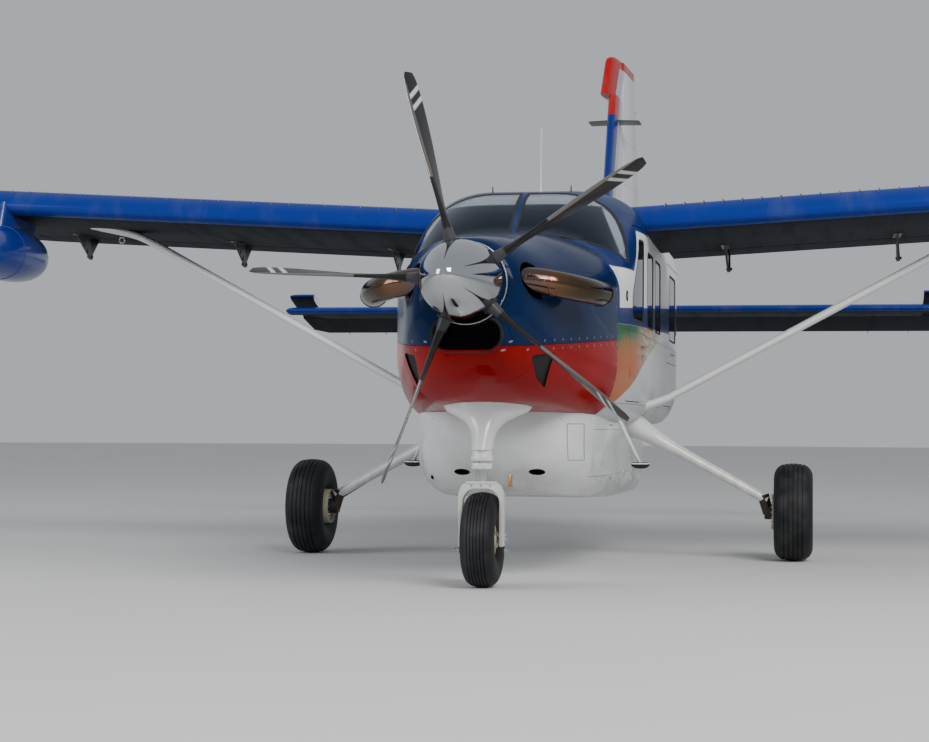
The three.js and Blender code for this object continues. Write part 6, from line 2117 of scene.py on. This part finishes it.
@dataclass
class NoseGear:
    """Flared leg fairing, collars, chrome piston, steering fork and nose wheel."""

    # height, half width, half length, middle station
    fairing: Table = ((1.19, 0.292, 0.205, 0.19), (1.125, 0.285, 0.2, 0.18), (1.068, 0.258, 0.185, 0.16),
                      (1.03, 0.185, 0.155, 0.125), (0.99, 0.118, 0.125, 0.08), (0.93, 0.076, 0.095, 0.025),
                      (0.83, 0.062, 0.08, -0.04))
    leg_station: float = -0.04
    axle_height: float = 0.287
    half_width: float = 0.103
    bead: float = 0.105
    outer: float = 0.138
    inner: float = 0.112
    top: float = 0.6395
    crown: float = 0.596
    foot: float = 0.249
    # radius and distance along the axis, from here on
    hub_profile: Table = ((0.0205, -0.092), (0.046, -0.092), (0.052, -0.04), (0.084, -0.04), (0.088, -0.066),
                          (0.1046, -0.069), (0.1046, 0.069), (0.088, 0.066), (0.084, 0.04), (0.052, 0.04),
                          (0.046, 0.092), (0.0205, 0.092), (0.0205, -0.092))
    collar: Table = ((0, 0.8303), (0.06, 0.8303), (0.06, 0.795), (0.068, 0.795), (0.068, 0.765), (0, 0.765))
    piston: Table = ((0, 0.766), (0.052, 0.766), (0.052, 0.748), (0.036, 0.748), (0.036, 0.64), (0, 0.64))
    axle_profile: Table = ((0, -0.152), (0.011, -0.152), (0.011, -0.145), (0.02, -0.144), (0.02, 0.144),
                           (0.011, 0.145), (0.011, 0.152), (0, 0.152))
    tow_lug: Table = ((0, 0.0), (0.017, 0.0), (0.017, 0.008), (0.009, 0.01), (0.009, 0.022), (0.014, 0.024),
                      (0.014, 0.028), (0, 0.028))

    @property
    def hub(self) -> Vector:
        """Returns the wheel's centre."""
        return spot(0, 0, self.axle_height)

    def build(self, pod: CargoPod) -> None:
        """Builds the leg, the fork and the wheel.

        Args:
            pod: The pod that the fairing meets.
        """
        fairing = Shape.loft([[spot(wide * math.cos(a), middle + long * math.sin(a), z) for a in around(48)]
                              for z, wide, long, middle in flowing(self.fairing, 5)])
        fairing = fairing.less(FORM.solid(-0.5, 1.2, SNUG), pod.form.solid(0.44, 1.4, SNUG))
        fairing.piece("nose_leg_fairing", WHITE_PAINT, "gear_white", "nose_leg")
        axis = spot(0, self.leg_station, 0)
        collar = Shape.turned(self.collar, axis, Axis.Z, 56).bevelled(0.004)
        ring = Shape.drum(0.064, 0.75, 0.715, axis, Axis.Z, 56).bevelled(0.005)
        collar.with_parts(ring, studs(spot(0, self.leg_station, 0.715), Axis.Z, 0.054, 8, 0.005, -0.006))
        collar.piece("nose_leg_collars", WHITE_PAINT, "gear_white")
        Shape.turned(self.piston, axis, Axis.Z, 48).piece("nose_piston", CHROME, "spinner_chrome")
        self.fork()
        self.axle()
        disc = Shape.turned(self.hub_profile, self.hub, Axis.X, 56).bevelled(0.0022, 2, 30)
        disc.with_parts(*[studs(self.hub + Vector((sign * 0.0395, 0, 0)), Axis.X, 0.068, 6, 0.007, sign * 0.009)
                          for sign in (1, -1)])
        disc.piece("nose_wheel_hub", CREAM_PAINT, "wheel_cream", "nose_hub", body="nose_wheel")
        rubber = tyre(self.axle_height, self.half_width, self.bead, (-0.05, -0.03, -0.01, 0.01, 0.03, 0.05),
                      (0.003, 0.006), self.hub, 112)
        rubber.piece("nose_wheel_tyre", TyreRubber("nose_rubber", 0.0, self.axle_height, self.axle_height),
                     "tyre_rubber", "nose_tyre", body="nose_wheel")

    def fork(self) -> None:
        """Builds the fork with its feet and its crown plate."""
        at, foot, out, inn, crown, top = self.leg_station, self.foot, self.outer, self.inner, self.crown, self.top
        port = [(inn - 0.06, crown), (inn - 0.028, crown - 0.016), (inn, crown - 0.06), (inn, foot), (out, foot),
                (out, top - 0.07), (out - 0.024, top - 0.016), (out - 0.066, top)]
        starboard = [(-x, z) for x, z in reversed(port)]
        outline = softened([*starboard[3:], *port, *starboard[:3]], 0.02, 5)
        arch = Shape.prism(outline, Axis.Y, at - 0.034, at + 0.034).bevelled(0.0035)
        for low, high in ((-out, -inn), (inn, out)):
            arch.with_parts(Shape.box(spot(low - 0.0005, at - 0.03, foot), spot(high + 0.0005, 0.042, foot + 0.078),
                                      0.01, 3))
        arch.with_parts(Shape.box(spot(-0.092, at - 0.04, 0.6275), spot(0.092, at + 0.04, 0.6392), 0.003))
        arch.piece("fork_frame", WHITE_PAINT, "gear_white", "nose_fork", body="nose_fork")

    def axle(self) -> None:
        """Builds the fork's axle with its nuts, the tow lugs and the crown's bolts."""
        at, out, z = self.leg_station, self.outer, self.axle_height
        axle = Shape.turned(self.axle_profile, self.hub, Axis.X, 24)
        lug = Shape.turned(self.tow_lug, spot(out, -0.028, 0.225), Axis.X, 20)
        for sign in (-1, 1):
            nut = Shape.tube([spot(sign * (out + 0.0005), 0, z), spot(sign * (out + 0.009), 0, z)], 0.029, 6)
            axle.with_parts(nut.bevelled(0.002, 1), lug if sign > 0 else lug.mirrored())
        for x, y in ((-0.074, -0.026), (-0.074, 0.026), (0.074, -0.026), (0.074, 0.026)):
            axle.with_parts(studs(spot(x, at + y, 0.6388), Axis.Z, 0.0, 1, 0.007, 0.007))
        for x in (-0.058, 0.0, 0.058):
            axle.with_parts(studs(spot(x, at - 0.0335, 0.617), Axis.Y, 0.0, 1, 0.007, -0.007))
        axle.piece("fork_axle", STEEL, "hub_steel", body="nose_fork")


@dataclass
class MainGear:
    """Main legs with root fairings, axles, brakes, hubs and tyres."""

    station: float = 2.87
    wheel_x: float = 1.82
    axle_height: float = 0.357
    # x, station, height, half chord, half thickness
    leg: Table = ((0.54, 2.87, 1.06, 0.2, 0.12), (0.66, 2.87, 0.985, 0.165, 0.1), (0.82, 2.87, 0.89, 0.105, 0.066),
                  (1.05, 2.87, 0.76, 0.072, 0.046), (1.4, 2.87, 0.57, 0.058, 0.04), (1.63, 2.87, 0.44, 0.05, 0.038))
    boss: Table = ((1.6, 2.87, 0.48, 0.052, 0.044), (1.622, 2.87, 0.4, 0.05, 0.04), (1.64, 2.87, 0.347, 0.048, 0.042))
    brake_line: Table = ((0.95, 2.97, 0.78), (1.2, 2.955, 0.655), (1.42, 2.945, 0.53), (1.6, 2.95, 0.42),
                         (1.665, 2.975, 0.375), (1.68, 3.0, 0.35))
    # radius and distance along the axis, for the next five
    hub_profile: Table = ((0.0325, -0.095), (0.078, -0.095), (0.084, -0.04), (0.112, -0.066), (0.116, -0.088),
                          (0.117, -0.152), (0.129, -0.152), (0.129, -0.098), (0.1346, -0.092), (0.1346, 0.092),
                          (0.116, 0.088), (0.112, 0.066), (0.098, 0.05), (0.066, 0.058), (0.058, 0.092),
                          (0.0325, 0.092), (0.0325, -0.095))
    axle: Table = ((0, -0.21), (0.032, -0.21), (0.032, 0.062), (0.024, 0.07), (0, 0.07))
    axle_sleeve: Table = ((0.03, -0.21), (0.052, -0.21), (0.056, -0.2), (0.056, -0.13), (0.046, -0.125),
                          (0.03, -0.125), (0.03, -0.21))
    brake_disc: Table = ((0.05, -0.132), (0.106, -0.132), (0.106, -0.124), (0.05, -0.124), (0.05, -0.132))
    cylinder: Table = ((0, 0.0), (0.02, 0.0), (0.022, 0.003), (0.022, 0.03), (0, 0.03))
    # distance along the axis, circle, count, radius, height
    bolts: Table = ((0.0495, 0.105, 8, 0.0075, 0.012), (-0.0585, 0.1, 16, 0.0075, -0.014),
                    (-0.152, 0.123, 20, 0.0055, -0.009))

    @property
    def hub(self) -> Vector:
        """Returns the port wheel's centre."""
        return spot(self.wheel_x, self.station, self.axle_height)

    def build(self, pod: CargoPod) -> None:
        """Builds both sides.

        Args:
            pod: The pod that the legs meet.
        """
        leg = oval_body(self.leg, 32, 5, 0.2).less(FORM.solid(2.3, 3.5, SNUG), pod.form.solid(2.2, 3.6, SNUG))
        leg.pair("leg_skin_{}", WHITE_PAINT, "gear_white", "gear_leg_{}")
        axle = Shape.turned(self.axle, self.hub, Axis.X, 32)
        axle.with_parts(Shape.turned(self.axle_sleeve, self.hub, Axis.X, 40))
        axle.pair("axle_{}", BRAKE_METAL, "hub_steel")
        self.brake().pair("brake_{}", BRAKE_METAL, "engine_metal")
        line = Shape.tube([spot(*p) for p in flowing(self.brake_line, 6)], 0.0055, 10)
        line.pair("brake_line_{}", RUBBER_SEAL, "panel_black")
        holes = [Shape.drum(0.0115, -0.07, 0.08, at, Axis.X, 16) for at in self.ring(0.0, 0.084, 0.5)]
        hub = Shape.turned(self.hub_profile, self.hub, Axis.X, 72).bevelled(0.0025, 2, 30).less(*holes)
        hub.pair("wheel_hub_{}", CREAM_PAINT, "wheel_cream", "main_hub_{}", body="main_wheel_{}")
        bolts = Shape().with_parts(*[studs(self.hub + Vector((along, 0, 0)), Axis.X, *row)
                                     for along, *row in self.bolts])
        bolts.with_parts(Shape.turned(self.brake_disc, self.hub, Axis.X, 64))
        bolts.with_parts(*[Shape.drum(0.009, -0.006, 0.06, at, Axis.X, 12) for at in self.ring(-0.128, 0.1)])
        bolts.pair("wheel_bolts_{}", STEEL, "hub_steel", body="main_wheel_{}")
        rubber = tyre(self.axle_height, 0.14, 0.135, (-0.066, -0.033, 0.0, 0.033, 0.066), (0.0035, 0.007),
                      self.hub, 128)
        rubber.pair("wheel_tyre_{}", TyreRubber("main_rubber", self.station, self.axle_height, self.axle_height),
                    "tyre_rubber", "main_tyre_{}", body="main_wheel_{}")

    def ring(self, along: float, radius: float, shift: float = 0.0) -> list[Vector]:
        """Returns eight points round the axle, turned by a share of their pitch."""
        return [self.hub + Vector((along, math.sin(a) * radius, math.cos(a) * radius))
                for a in (FULL_TURN * (i + shift) / 8 for i in range(8))]

    def brake(self) -> Shape:
        """Returns the caliper with its cylinders, behind the axle on the wheel's inner side, and the leg's boss."""
        hub = self.hub
        made = Shape.box(hub + Vector((-0.168, 0.062, -0.05)), hub + Vector((-0.108, 0.112, 0.05)), 0.008, 3)
        for z in (-0.03, 0.03):
            made.with_parts(Shape.turned(self.cylinder, hub + Vector((-0.19, 0.088, z)), Axis.X, 24))
        pin = studs(hub + Vector((-0.168, 0.078, 0.0)), Axis.X, 0.0, 1, 0.007, -0.008)
        return made.with_parts(pin, oval_body(self.boss, 28, 4))


@dataclass
class Propeller:
    """Polished spinner, backplate, and five feathered blades with root cuffs."""

    tip: float = -1.302
    shaft_height: float = 1.796
    plane: float = -0.781
    phase: float = 32.6
    count: int = 5
    profile: Table = ((0, 0), (0.038, 0.012), (0.082, 0.055), (0.128, 0.13), (0.176, 0.245), (0.214, 0.38),
                      (0.235, 0.52), (0.24, 0.68))
    wall: float = 0.004
    # radius, chord, thickness, pitch in degrees
    blade: Table = ((0.12, 0.088, 0.088, 97), (0.2, 0.092, 0.088, 96), (0.3, 0.104, 0.064, 94), (0.45, 0.15, 0.04, 88),
                    (0.65, 0.184, 0.028, 82), (0.85, 0.192, 0.021, 77), (1.05, 0.176, 0.0155, 73),
                    (1.18, 0.14, 0.011, 71), (1.235, 0.084, 0.006, 70))
    # radius and distance along the blade
    boot: Table = ((0.04, 0.15), (0.056, 0.15), (0.058, 0.21), (0.054, 0.235), (0.044, 0.236), (0.04, 0.15))
    blade_hole: Table = ((0, 0.14), (0.062, 0.14), (0.066, 0.28), (0, 0.28))
    # radius and distance along the shaft
    hub_core: Table = ((0, -0.12), (0.12, -0.12), (0.135, -0.09), (0.135, 0.09), (0.12, 0.12), (0, 0.12))
    screws: int = 20

    @property
    def centre(self) -> Vector:
        """Returns the point of the shaft that the blades turn round."""
        return spot(0, self.plane, self.shaft_height)

    def placed(self, index: int, body: Shape) -> Shape:
        """Turns an upright body to a blade's place."""
        return body.moved(about(self.centre, -(self.phase - 90 + 360 / self.count * index), "Y"))

    def build(self) -> None:
        """Builds the spinner, the backplate, the hub and the blades."""
        nose = spot(0, self.tip, self.shaft_height)
        outer = [(max(r, 0.0), a) for r, a in flowing(self.profile, 6)]
        inner = [(max(r - self.wall, 0.0), a + 0.006) for r, a in outer if r > self.wall]
        shell = Shape.turned([*outer, *reversed(inner), (0, inner[0][1])], nose, Axis.Y, 96)
        shell = shell.less(*[self.placed(i, Shape.turned(self.blade_hole, self.centre, Axis.Z, 32))
                             for i in range(self.count)])
        shell.piece("spinner_shell", SpinnerPolish(), "spinner_chrome", "spinner", body="propeller")
        screws = Shape()
        for i in range(self.screws):
            out = Matrix.Rotation(FULL_TURN * (i + 0.5) / self.screws, 3, "Y") @ Axis.Z.value
            at = nose + Vector((0, 0.662, 0)) + out * 0.2385
            screws.with_parts(Shape.tube([at, at + out * 0.0022], 0.0045, 12, hint=Axis.Y.value))
        screws.piece("spinner_screws", STEEL, "hub_steel", body="propeller")
        back = self.tip + 0.6803
        plate = Shape.turned([(0, back), (0.243, back), (0.243, back + 0.018), (0.07, back + 0.018),
                              (0.07, -0.5453), (0, -0.5453)], spot(0, 0, self.shaft_height), Axis.Y, 96)
        plate.bevelled(0.003).piece("prop_backplate", BareMetal("backplate_metal", (0.45, 0.46, 0.48), 0.3),
                                    "engine_metal", "propeller_hub", body="propeller")
        hub = Shape.turned(self.hub_core, self.centre, Axis.Y, 48)
        hub.piece("prop_hub_core", CASTING, "engine_metal", body="propeller")
        for i in range(self.count):
            self.placed(i, self.upright_blade()).piece(f"prop_blade_{i + 1}", BladeFinish(), "blade_carbon",
                                                       f"blade_{i + 1}", body="propeller")
            boot = self.placed(i, Shape.turned(self.boot, self.centre, Axis.Z, 32))
            boot.piece(f"blade_boot_{i + 1}", RUBBER_SEAL, "panel_black", body="propeller")

    def upright_blade(self) -> Shape:
        """Returns a blade that points up, with a round root that flattens outward."""
        rings = []
        for radius, chord, thick, pitch in flowing(self.blade, 6):
            a = math.radians(pitch)
            lead, face = Vector((-math.cos(a), -math.sin(a), 0)), Vector((math.sin(a), -math.cos(a), 0))
            blend = min(max((radius - 0.2) / 0.2, 0.0), 1.0)
            rings.append([
                self.centre + Vector((0, 0, radius)) + lead * chord / 2 * math.cos(turn)
                + face * thick / 2 * math.sin(turn) * (1 - blend * (0.42 - 0.42 * math.cos(turn)) * 0.66)
                for turn in around(36)])
        return Shape.loft(rings)


@dataclass
class Seats:
    """Crew and passenger seats: stitched leather cushions on tubular frames."""

    crew_station: float = 1.88
    x: float = 0.35
    floor: float = 1.0703
    rows: tuple[float, ...] = (2.78, 3.56)
    recline: float = 15.0
    fill: float = 0.75
    # low corner, high corner, sewn channels
    pan: tuple = ((-0.215, 0.005, 0.275), (0.215, 0.43, 0.405), 3)
    back: tuple = ((-0.215, 0.0, 0.0), (0.215, 0.5, 0.1), 4)
    head: tuple = ((-0.13, 0.51, 0.005), (0.13, 0.66, 0.095), 0)

    def cushion(self, low: Sequence[float], high: Sequence[float], channels: int) -> Shape:
        """Models a crowned cushion, pinched to a seam, with piping round its middle.

        Args:
            low: The lowest corner of its box.
            high: The highest corner.
            channels: How many sewn channels run across it.

        Returns:
            The cushion and its piping.
        """
        shape = Shape()
        bmesh.ops.create_cube(shape.mesh, size=2.0)
        bmesh.ops.subdivide_edges(shape.mesh, edges=shape.mesh.edges, cuts=15, use_grid_fill=True)
        size = [(b - a) / 2 for a, b in zip(low, high)]
        middle = [(a + b) / 2 for a, b in zip(low, high)]
        for vert in shape.mesh.verts:
            u, v, w = vert.co
            edge_u, edge_v = (math.copysign(1 - (1 - min(abs(t), 1)) ** 1.25, t) for t in (u, v))
            crown = max((1 - abs(u) ** 5) * (1 - abs(v) ** 5), 0.0) ** 0.42
            pull = 1 - 0.05 * (1 - abs(v) ** 2) * abs(u) ** 6 - 0.05 * (1 - abs(u) ** 2) * abs(v) ** 6
            phase = (v * 0.5 + 0.5) * (channels + 1)
            dent = 0.16 * math.exp(-((phase - round(phase)) / 0.1) ** 2) * (1 - abs(u) ** 4)
            dent *= 1.0 if 0 < round(phase) < channels + 1 else 0.0
            thick = w * (0.3 + 0.7 * crown) * (1 - dent)
            vert.co = Vector((middle[0] + edge_u * size[0] * pull, middle[1] + edge_v * size[1] * pull,
                              middle[2] + thick * size[2]))
        return shape.outward().with_parts(self.seam(low, high))

    def seam(self, low: Sequence[float], high: Sequence[float]) -> Shape:
        """Lays the piping round a cushion's middle.

        Args:
            low: The lowest corner of the cushion's box.
            high: The highest corner.

        Returns:
            The piping.
        """
        outline = rounded((low[0] + 0.006, low[1] + 0.006), (high[0] - 0.006, high[1] - 0.006), 0.035, 6)
        path = [Vector((x, y, (low[2] + high[2]) / 2)) for x, y in outline]
        rings = []
        for i, here in enumerate(path):
            along = (path[(i + 1) % len(path)] - path[i - 1]).normalized()
            across = along.cross(Axis.Z.value)
            rings.append([here + across * 0.0045 * math.cos(a) + Axis.Z.value * 0.0045 * math.sin(a)
                          for a in around(8)])
        return Shape.loft([*rings, rings[0]])

    def one_seat(self, place: Vector) -> tuple[Shape, Shape]:
        """Builds one seat.

        Args:
            place: The point on the floor below the seat's front middle.

        Returns:
            The cushions, and the frame.
        """
        lean = Matrix.Translation(Vector((0, 0.49, 0.405))) @ Matrix.Rotation(math.radians(90 - self.recline), 4, "X")
        soft = self.cushion(*self.pan).with_parts(*[self.cushion(*box).moved(lean) for box in (self.back, self.head)])
        hard = Shape.box(Vector((-0.17, 0.07, 0.225)), Vector((0.17, 0.42, 0.262)), 0.006)
        for x in (-0.15, 0.15):
            hard.with_parts(*[Shape.tube([Vector((x, y, 0.0)), Vector((x, y, 0.24))], 0.013, 12, hint=Axis.Y.value)
                              for y in (0.13, 0.36)],
                            Shape.box(Vector((x - 0.02, 0.08, 0.0)), Vector((x + 0.02, 0.42, 0.012)), 0.002))
        hard.with_parts(*[Shape.tube([Vector((x, 0.49, 0.05)), Vector((x, 0.53, 0.05))], 0.006, 10).moved(lean)
                          for x in (-0.07, 0.07)])
        shift = Matrix.Translation(place)
        return soft.moved(shift), hard.moved(shift)

    def build(self) -> None:
        """Builds the crew seats and both rows."""
        for side in Side:
            soft, hard = self.one_seat(spot(side.sign * self.x, self.crew_station, self.floor + 0.001))
            self.finish(soft, hard, f"crew_{side.word}", f"crew_seat_{side.word}")
        for number, station in enumerate(self.rows, 1):
            soft, hard = (Shape().with_parts(*parts) for parts in zip(*[
                self.one_seat(spot(side.sign * self.x, station, self.floor + 0.012)) for side in Side]))
            hard.with_parts(*[Shape.box(spot(x - 0.018, station - 0.02, self.floor),
                                        spot(x + 0.018, station + 0.52, self.floor + 0.0125), 0.002)
                              for x in (-0.5, -0.2, 0.2, 0.5)])
            self.finish(soft, hard, f"row_{number}", f"cabin_seats_{number}")

    def finish(self, soft: Shape, hard: Shape, name: str, node: str) -> None:
        """Dresses one seat or row.

        Args:
            soft: Its cushions.
            hard: Its frame.
            name: What its pieces are called.
            node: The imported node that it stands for.
        """
        leather = soft.piece(f"cushions_{name}", Leather(), "seat_leather", node, smooth=60.0)
        hard.piece(f"frame_{name}", STEEL, "panel_black")


@dataclass
class FlightDeck:
    """Instrument displays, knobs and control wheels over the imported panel."""

    # x, half width
    displays: Table = ((-0.42, 0.15), (0.0, 0.14), (0.42, 0.15))
    knobs: tuple[float, ...] = (-0.61, -0.2, 0.2, 0.61)

    def build(self) -> None:
        """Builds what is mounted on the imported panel."""
        dress("instrument_panel", PANEL_PLASTIC)
        lo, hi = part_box("instrument_panel")
        rear, middle, low = hi.y - STATION_ZERO, (lo.z + hi.z) / 2, lo.z
        screens, frames, wheels = Shape(), Shape(), Shape()
        for x, wide in self.displays:
            frames.with_parts(Shape.box(spot(x - wide, rear + 0.0003, middle - 0.115),
                                        spot(x + wide, rear + 0.018, middle + 0.115), 0.006, 3))
            screens.with_parts(Shape.box(spot(x - wide + 0.018, rear + 0.0183, middle - 0.095),
                                         spot(x + wide - 0.018, rear + 0.021, middle + 0.095), 0.001))
        for x in self.knobs:
            frames.with_parts(*[Shape.turned([(0, 0.0), (0.012, 0.0), (0.01, 0.014), (0, 0.014)],
                                             spot(x, rear + 0.0003, middle + z), Axis.Y, 20)
                                for z in (-0.07, 0.0, 0.07)])
        frames.piece("display_frames", PANEL_PLASTIC, "panel_black")
        screens.piece("display_glass", Display(), "panel_black")
        for x in (-0.35, 0.35):
            column = Shape.tube([spot(x, rear + 0.0005, low + 0.06), spot(x, rear + 0.2, low + 0.05)], 0.014, 16)
            grip = [spot(x + 0.13 * math.sin(a), rear + 0.2, low + 0.05 - 0.085 * math.cos(a) + 0.02)
                    for a in spread(-2.2, 2.2, 21)]
            wheels.with_parts(column, Shape.tube(grip, 0.014, 12, hint=Axis.Y.value))
        wheels.piece("control_wheels", PANEL_PLASTIC, "panel_black")


@dataclass
class RoofGear:
    """Antennas and probes on the roof."""

    # station, height, chord, sweep
    masts: Table = ((4.6, 0.2, 0.13, 0.08), (5.9, 0.14, 0.11, 0.06))
    # radius and height of spun fittings
    whip: Table = ((0, -0.01), (0.022, -0.01), (0.022, 0.006), (0.009, 0.022), (0.0045, 0.05), (0.003, 0.3),
                   (0.0022, 0.5), (0, 0.502))
    puck: Table = ((0, -0.012), (0.055, -0.012), (0.055, 0.004), (0.046, 0.016), (0.03, 0.021), (0, 0.022))
    probe: Table = ((0, -0.01), (0.02, -0.01), (0.02, 0.004), (0.006, 0.012), (0.004, 0.05), (0, 0.052))

    @staticmethod
    def mast(station: float, height: float, chord: float, sweep: float) -> Shape:
        """Makes a thin swept antenna blade on a base plate.

        Args:
            station: The middle of its foot.
            height: Its height over the roof.
            chord: Its length at the foot.
            sweep: How far its tip lies behind its foot.

        Returns:
            The blade and the plate.
        """
        foot = FORM.row(station)[3]
        rings = []
        for t, scale in ((0.0, 1.0), (0.5, 0.775), (0.9, 0.595), (1.0, 0.44)):
            rings.append([spot(0.011 * scale * math.sin(a) * (0.7 - 0.3 * math.cos(a)),
                               station + sweep * t + chord / 2 * scale * math.cos(a), foot + height * t)
                          for a in around(24)])
        plate = [(0.03 * math.sin(a), station + chord * 0.62 * math.cos(a)) for a in around(24)]
        return Shape.loft(rings).with_parts(Shape.prism(plate, Axis.Z, foot - 0.012, foot + 0.005).bevelled(0.002))

    def build(self) -> None:
        """Builds all of them."""
        whip = Shape.turned(self.whip, spot(0.0, 2.44, FORM.row(2.44)[3]), Axis.Z, 16)
        whip.piece("whip_antenna", WHITE_PAINT, "cabin_white")
        masts = Shape().with_parts(*[self.mast(*row) for row in self.masts])
        masts.piece("comm_antennas", WHITE_PAINT, "cabin_white")
        pucks = [Shape.turned(self.puck, spot(x, 3.2, FORM.row(3.2)[3]), Axis.Z, 36) for x in (-0.24, 0.24)]
        Shape().with_parts(*pucks).piece("gps_antennas", WHITE_PAINT, "cabin_white")
        probes = [Shape.turned(self.probe, spot(x, 1.98, FORM.row(2.0)[3] - 0.012), Axis.Z, 14) for x in (-0.28, 0.28)]
        Shape().with_parts(*probes).piece("roof_probes", BLACK_PAINT, "panel_black")


@dataclass(frozen=True)
class StudioFloor(Finish):
    """Pale, nearly plain floor with a faint mottle."""

    name: str = "studio_floor"

    def lay(self, graph: Graph) -> None:
        """Builds a matt pale surface."""
        mottle = graph.noise(0.35, 3.0)
        base = graph.mix(mottle, (0.6, 0.6, 0.595), (0.66, 0.66, 0.655))
        graph.close(base, 0.85, Specular_IOR_Level=0.2)


@dataclass
class Studio:
    """Pale floor, soft lights and the camera at the photograph's place."""

    floor_radius: float = 90.0
    camera_place: tuple[float, float, float] = (1.9763, -15.397, 0.9683)
    turn: float = 10.317
    pitch: float = 1.6565
    roll: float = 0.3346
    lens: float = 74.68
    sky: tuple[float, float, float] = (0.86, 0.9, 0.95)
    sky_strength: float = 0.55
    target: tuple[float, float, float] = (0.0, -1.0, 1.6)
    lamp_size: float = 9.0
    # name, place, watts, colour
    lamps: Sequence[tuple] = (("key", (9.0, -15.0, 12.0), 3000.0, (1.0, 0.975, 0.94)),
                              ("fill", (-13.0, -11.0, 7.0), 1100.0, (0.93, 0.96, 1.0)))

    def build(self) -> None:
        """Builds the floor, the world, the lamps and the camera."""
        floor = Shape()
        bmesh.ops.create_circle(floor.mesh, cap_ends=True, segments=96, radius=self.floor_radius)
        data = bpy.data.meshes.new("studio_floor")
        floor.mesh.to_mesh(data)
        floor.mesh.free()
        data.materials.append(StudioFloor().material())
        ground = bpy.data.objects.new("studio_floor", data)
        bpy.context.collection.objects.link(ground)
        world = bpy.data.worlds.new("soft_sky")
        world.use_nodes = True
        back = next(n for n in world.node_tree.nodes if n.type == "BACKGROUND")
        back.inputs["Color"].default_value = (*self.sky, 1.0)
        back.inputs["Strength"].default_value = self.sky_strength
        bpy.context.scene.world = world
        for name, place, watts, colour in self.lamps:
            lamp = bpy.data.lights.new(name, "AREA")
            lamp.size, lamp.energy, lamp.color = self.lamp_size, watts, colour
            made = bpy.data.objects.new(name, lamp)
            made.location = place
            made.rotation_euler = (Vector(self.target) - Vector(place)).to_track_quat("-Z", "Y").to_euler()
            bpy.context.collection.objects.link(made)
        self.camera()

    def camera(self) -> None:
        """Places the camera."""
        turn, pitch, roll = (math.radians(a) for a in (self.turn, self.pitch, self.roll))
        right = Vector((math.cos(turn), math.sin(turn), 0))
        ahead = Vector((-math.sin(turn), math.cos(turn), 0)) * math.cos(pitch) + Vector((0, 0, math.sin(pitch)))
        up = right.cross(ahead)
        across = right * math.cos(roll) + up * math.sin(roll)
        over = up * math.cos(roll) - right * math.sin(roll)
        lens = bpy.data.cameras.new("photo_camera")
        lens.lens, lens.sensor_width, lens.sensor_fit = self.lens, 36.0, "HORIZONTAL"
        lens.clip_end = 400.0
        made = bpy.data.objects.new("photo_camera", lens)
        facing = Matrix((across, over, -ahead)).transposed().to_4x4()
        made.matrix_world = Matrix.Translation(self.camera_place) @ facing
        bpy.context.collection.objects.link(made)
        bpy.context.scene.camera = made


def main() -> None:
    """Builds the plane's sub-assemblies in order, then the studio."""
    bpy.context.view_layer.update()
    exhausts, pod, wing = Exhausts(), CargoPod(), Wing()
    for assembly in (exhausts, Cabin(), TailCone(), wing, Tail(), pod, Step(), Propeller(), Seats(), FlightDeck(),
                     RoofGear()):
        assembly.build()
    Cowling().build(exhausts.hole())
    Struts().build(wing)
    NoseGear().build(pod)
    MainGear().build(pod)
    dress("engine", CASTING)
    Studio().build()


if __name__ == "__main__":
    logging.basicConfig(level=logging.INFO, format="%(name)s: %(message)s")
    main()
